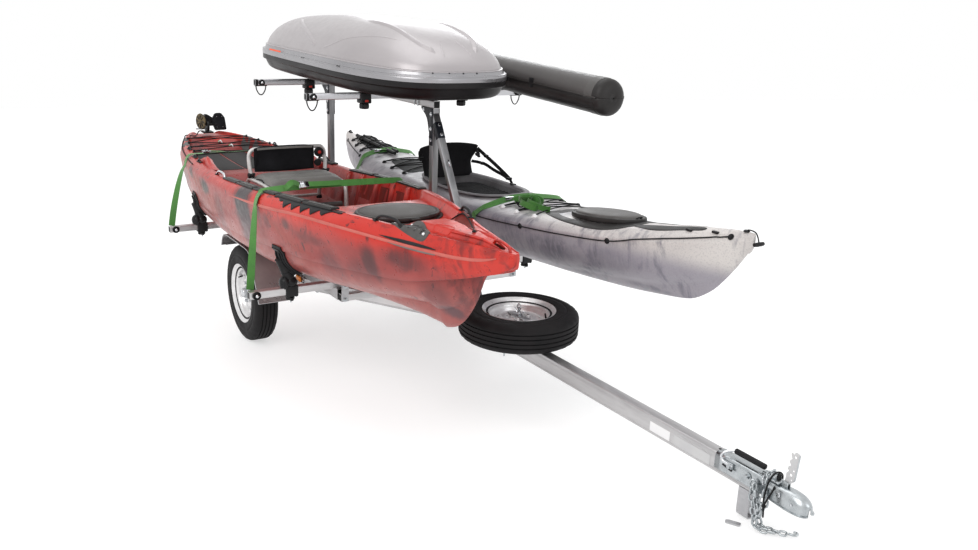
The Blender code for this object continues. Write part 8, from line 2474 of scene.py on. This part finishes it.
parts.append(with_mat(strip(q, .014, .0022, (0, .5, .8)), CORDURA))
parts.append(with_mat(rbox((.682, .628, .9455), (.716, .652, .9535), .0025, 2), BLACK_GLOSS))
side = piece("backrest_side_straps", parts, angle=50)
bpy.context.view_layer.update()
world_ = side.matrix_world.copy()
side.parent = None
side.matrix_world = world_
if "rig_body" in side:
    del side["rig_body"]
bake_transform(side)

# bow hatch: thick rim, raised oval lid
hat = [INV @ (NODE["white_bow_hatch"].matrix_world @ v.co) for v in NODE["white_bow_hatch"].data.vertices]
WCX, WCY = 1.775, .45
fr_, bk_ = [p.z for p in hat if p.x > WCX + .10], [p.z for p in hat if p.x < WCX - .10]
sl2 = (sum(fr_) / len(fr_) - sum(bk_) / len(bk_)) / .34
low2 = min(p.z - sl2 * (p.x - WCX) for p in hat)
hi2 = max(p.z - sl2 * (p.x - WCX) for p in hat)
T2 = hi2 - low2
rows = [(.93, .001), (.985, .002), (1.0, .006), (1.0, T2 * .50), (.990, T2 * .62), (.955, T2 * .68), (.930, T2 * .66), (.915, T2 * .60)]
rows2 = [(.915, T2 * .60), (.895, T2 * .62), (.880, T2 * .74), (.850, T2 * .86), (.80, T2 * .93), (.55, T2 * .98), (.25, T2), (.03, T2)]
parts = [with_mat(oval(WCX, WCY, .235, .118, rows, low2, sl2, 72), GREYRUB2), with_mat(oval(WCX, WCY, .235, .118, rows2, low2, sl2, 72), GREYRUB)]
parts.append(with_mat(rod(curve_pts([(WCX + .205, WCY - .012, low2 + T2 * .60 + sl2 * .205), (WCX + .222, WCY - .010, low2 + T2 * .85 + sl2 * .22), (WCX + .222, WCY + .010, low2 + T2 * .85 + sl2 * .22), (WCX + .205, WCY + .012, low2 + T2 * .60 + sl2 * .205)], 4), .0030, 8), BLACK))
piece("touring_hatch_cover", parts, "touring_hatch", over=("white_bow_hatch",), angle=35)
rows = [(1.0, -.012), (1.05, -.012), (1.056, -.002), (1.050, .0026), (1.030, .0034), (1.012, .0028), (.95, .0006), (.94, -.010)]
v, f = oval(WCX, WCY, .235, .118, rows, low2 - .0038, sl2, 72)
f = [q for q in f if len(q) == 4] + [(7 * 72 + i, 7 * 72 + (i + 1) % 72, (i + 1) % 72, i) for i in range(72)]
piece("touring_hatch_rim", [(v, f, GREYRUB2)], angle=35)

# perimeter line on both sheers with its recessed fittings
sheer = [(.987, .161, .884), (1.200, .178, .893), (1.413, .200, .906), (1.685, .240, .925), (1.968, .288, .954), (2.143, .323, 1.001), (2.429, .388, 1.069), (2.559, .420, 1.102)]
parts = []
for s in (0, 1):
    fx = (lambda p: p) if not s else (lambda p: (p[0], .90 - p[1], p[2]))
    q = [skin_at(WHITET, fx(p), .0030, WHITE_C)[0] for p in curve_pts(sheer, 5)]
    parts.append(with_mat(rod(q, .0028, 8), CORDM))
    for p in (sheer[2], sheer[4], sheer[7]):
        c, nn = skin_at(WHITET, fx(p), .0, WHITE_C)
        parts.append(with_mat(turn([(.0135, -.001), (.0138, .002), (.0110, .0048), (.0085, .0040), (.0070, .0072), (.0001, .0078)], c, nn, 20), BLACK_GLOSS))
    aft = [(-1.04, .385, .965), (-.90, .340, .955), (-.72, .295, .945), (-.62, .272, .940)]
    q = [skin_at(WHITET, fx(p), .0030, WHITE_C)[0] for p in curve_pts(aft, 4)]
    parts.append(with_mat(rod(q, .0028, 8), CORDM))
    for p in (aft[0], aft[-1]):
        c, nn = skin_at(WHITET, fx(p), .0, WHITE_C)
        parts.append(with_mat(turn([(.0125, -.001), (.0128, .002), (.0100, .0045), (.0070, .0065), (.0001, .007)], c, nn, 20), BLACK_GLOSS))
piece("perimeter_lines", parts, angle=45)

# deck pads, bungees and fittings fore and aft
parts = []
ann = []
for k, h in ((1.0, -.0015), (1.0, .0012), (.985, .0024), (.93, .0026), (.84, .0026), (.765, .0026), (.755, -.002)):
    ring = []
    for i in range(96):
        t = 2 * math.pi * i / 96
        c, s = math.cos(t), math.sin(t)
        e_ = 2.3
        x = 1.735 + math.copysign(abs(c) ** (2 / e_), c) * .325 * k + (-.045 * abs(math.sin(2 * t)) * (c < 0) * k)
        y = .45 + math.copysign(abs(s) ** (2 / e_), s) * .166 * k
        ring.append(drop(WHITET, x, y, 1.3)[0] + Vector((0, 0, h)))
    ann.append(ring)
v, f = loft(ann, cap0=False, cap1=False)
parts.append((v, f, GREYRUB2))
parts.append(deck_shape(WHITET, soft_poly([(2.045, .375), (2.150, .370), (2.300, .398), (2.410, .420), (2.400, .440), (2.250, .428), (2.110, .412), (2.050, .400)], 4), GREYRUB2, .0026, 0, .001, .14))
parts.append(deck_shape(WHITET, soft_poly([(2.045, .525), (2.150, .530), (2.300, .502), (2.410, .480), (2.400, .460), (2.250, .472), (2.110, .488), (2.050, .500)], 4), GREYRUB2, .0026, 0, .001, .14))
parts.append(deck_shape(WHITET, soft_poly([(-.26, .345), (-.05, .300), (.085, .305), (.095, .45), (.085, .595), (-.05, .600), (-.26, .555), (-.30, .45)], 4), EVAD, .0035, 0, .001, .12))
parts.append(deck_shape(WHITET, soft_poly([(-.90, .415), (-.70, .385), (-.52, .370), (-.50, .45), (-.52, .530), (-.70, .515), (-.90, .485), (-.93, .45)], 4), EVAD, .0045, 0, .001, .12))
piece("touring_deck_pads", parts, angle=45)


def fitting(x, y, up_=1.3):
    p, nn = drop(WHITET, x, y, up_)
    v, f = turn([(.0150, -.001), (.0150, .003), (.0110, .0050), (.0095, .0100), (.0060, .0125), (.0001, .0130)], p, nn, 18)
    return (v, f), p + nn * .0085


parts = []
nets = [((1.165, .262), (1.165, .638), (1.300, .255), (1.300, .645)), ((1.300, .255), (1.300, .645), (1.445, .262), (1.445, .638)),
        ((-.27, .300), (-.27, .600), (-.10, .268), (-.10, .632)), ((-.10, .268), (-.10, .632), (.075, .262), (.075, .638)),
        ((-.93, .388), (-.93, .512), (-.80, .352), (-.80, .548)), ((-.80, .352), (-.80, .548), (-.66, .322), (-.66, .578)), ((-.66, .322), (-.66, .578), (-.53, .300), (-.53, .600))]
done = {}
for net in nets:
    for x, y in net:
        if (x, y) not in done:
            q, top = fitting(x, y)
            parts.append((q[0], q[1], LABEL if x > 1 and y < .5 else BLACK))
            done[(x, y)] = top
    a, b, c, d = (done[k] for k in net)
    for p, q, lift in ((a, d, .010), (b, c, .004), (a, b, .006)):
        m = (p + q) / 2
        hz = drop(WHITET, m.x, m.y, 1.3)[0].z
        m.z = max(m.z, hz + .0055) + lift * .6
        pts = []
        for t in (0, .25, .5, .75, 1):
            w = p.lerp(q, t)
            z_ = drop(WHITET, w.x, w.y, 1.3)[0].z + .0062 + lift * math.sin(math.pi * t)
            pts.append(Vector((w.x, w.y, max(z_, w.z if t in (0, 1) else z_))))
        parts.append(with_mat(rod(curve_pts(pts, 5), .0031, 8), CORDM))
for x0, y0 in ((1.225, .330), (1.255, .395)):
    c = drop(WHITET, x0, y0, 1.3)[0] + Vector((0, 0, .016))
    lp = [c + Vector((.030 * math.cos(t), .020 * math.sin(t), .010 * math.sin(2 * t))) for t in (2 * math.pi * k / 18 for k in range(19))]
    parts.append(with_mat(rod(lp, .0030, 8, caps=False), CORDM))
# lashed stack on the stern deck: two dark poles and a folded cover
for y0, r_, dz, x0, x1 in ((.428, .0125, .016, -.955, -.395), (.470, .0110, .016, -.930, -.440)):
    q = [drop(WHITET, x0 + (x1 - x0) * k / 10, y0 + .010 * k / 10, 1.3)[0] + Vector((0, 0, dz + .004)) for k in range(11)]
    parts.append(with_mat(rod(q, r_, 14), BLACK))
    parts.append(with_mat(rod([q[1] + Vector((0, 0, 0)), q[2]], r_ + .0022, 14), GREYRUB2))
q = [drop(WHITET, -.90 + .36 * k / 8, .500, 1.3)[0] + Vector((0, 0, .014 + .006 * math.sin(k * 1.3))) for k in range(9)]
parts.append(with_mat(rod(curve_pts(q, 3), lambda t: .017 + .006 * math.sin(t * 9) ** 2, 14, flat=.7), CORDURA))
for x in (-.86, -.72, -.58):
    q = [Vector((x, y, drop(WHITET, x, y, 1.3)[0].z + h)) for y, h in ((.388, .004), (.405, .026), (.430, .037), (.470, .036), (.500, .034), (.522, .018), (.535, .004))]
    parts.append(with_mat(rod(curve_pts(q, 4), .0032, 8), CORDM))
piece("touring_deck_rigging", parts, angle=50)

# side fittings, bow eye and grab toggle
parts = []
for s in (0, 1):
    fx = (lambda p: p) if not s else (lambda p: (p[0], .90 - p[1], p[2]))
    for p in ((2.350, .4050, 1.075), (2.480, .4210, 1.095)):
        c, nn = skin_at(WHITET, fx(p), .0, (.45, .9))
        parts.append(with_mat(rbox((c.x - .016, c.y - .0075, c.z - .001), (c.x + .016, c.y + .0075, c.z + .0085), .003, 3), BLACK))
c, nn = drop(WHITET, 2.615, .45, 1.4)
parts.append(with_mat(turn([(.0130, -.001), (.0132, .003), (.0100, .006), (.0001, .0065)], c, (0, 0, 1), 18), BLACK))
eye_p = c + Vector((.006, 0, .008))
piece("bow_fittings", parts, angle=45)
tip = drop(WHITET, 2.655, .45, 1.4)[0]
tg = piece("grab_toggle", [with_mat(rod([(2.682, .424, tip.z - .038), (2.683, .437, tip.z - .038), (2.683, .463, tip.z - .038), (2.682, .476, tip.z - .038)], lambda t: .0075 + .0014 * math.sin(math.pi * t), 14), BLACK)])
laid_cord("toggle_line", [eye_p, (2.640, .4485, tip.z + .0085), (2.662, .4490, tip.z + .0040), (2.6745, .4495, tip.z - .012), (2.6815, .450, tip.z - .030)], .0052, CORDM)
c, nn = drop(WHITET, -1.10, .45, 1.4)
parts = [with_mat(turn([(.0120, -.002), (.0122, .003), (.0095, .006), (.0001, .0065)], c, (0, 0, 1), 18), BLACK),
         with_mat(rod(curve_pts([c + Vector((0, 0, .006)), c + Vector((-.016, .004, .014)), c + Vector((-.030, 0, .008)), c + Vector((-.022, -.008, .004)), c + Vector((-.004, -.004, .007))], 5), .0034, 8), CORDM)]
piece("stern_fittings", parts, angle=45)

# ============================================================ stage and light
def floor_material():
    m = Mat("studio_floor", (.42, .42, .42), .7)
    tinted(m, m.noise(1.3, 3, .5), (.41, .41, .41), (.43, .43, .43))
    m.rough(m.noise(3, 3, .5), .6, .7)
    m.set("Emission Color", (1, 1, 1, 1))
    m.set("Emission Strength", .60)
    return m.m


me = bpy.data.meshes.new("floor")
n_ = 24
ring = [(9 * math.cos(2 * math.pi * k / n_) * r, 9 * math.sin(2 * math.pi * k / n_) * r, -.0006) for r in (1, 4.5) for k in range(n_)]
me.from_pydata([(0, 0, -.0006)] + ring, [], [(0, k + 1, (k + 1) % n_ + 1) for k in range(n_)]
               + [(k + 1, k + 1 + n_, (k + 1) % n_ + 1 + n_, (k + 1) % n_ + 1) for k in range(n_)])
floor = bpy.data.objects.new("floor", me)
me.materials.append(floor_material())
bpy.context.scene.collection.objects.link(floor)

bpy.context.scene.view_settings.view_transform = "Standard"
bpy.context.scene.view_settings.gamma = .88
world = bpy.data.worlds.new("studio")
bpy.context.scene.world = world
world.use_nodes = True
bg = world.node_tree.nodes["Background"]
bg.inputs["Color"].default_value = (1, 1, 1, 1)
bg.inputs["Strength"].default_value = 1.0


def area(name, loc, aim, size, power, colour=(1, 1, 1), size_y=None):
    d = bpy.data.lights.new(name, "AREA")
    d.shape = "RECTANGLE"
    d.size = size
    d.size_y = size_y or size
    d.energy = power
    d.color = colour
    ob = bpy.data.objects.new(name, d)
    bpy.context.scene.collection.objects.link(ob)
    ob.location = loc
    ob.rotation_euler = (Vector(aim) - Vector(loc)).to_track_quat("-Z", "Y").to_euler()
    return ob


area("key", (2.6, -4.8, 5.2), (-.3, -.2, .7), 4.4, 138, (1, .985, .97))
area("top", (-.5, .3, 6.0), (-.4, 0, 0), 4.2, 60, (1, 1, 1))
area("rim", (-5.0, 3.4, 3.6), (-.4, 0, .9), 2.8, 50, (.96, .98, 1))
area("bow", (6.2, 1.2, 2.6), (.6, 0, .7), 2.4, 28, (.96, .98, 1))
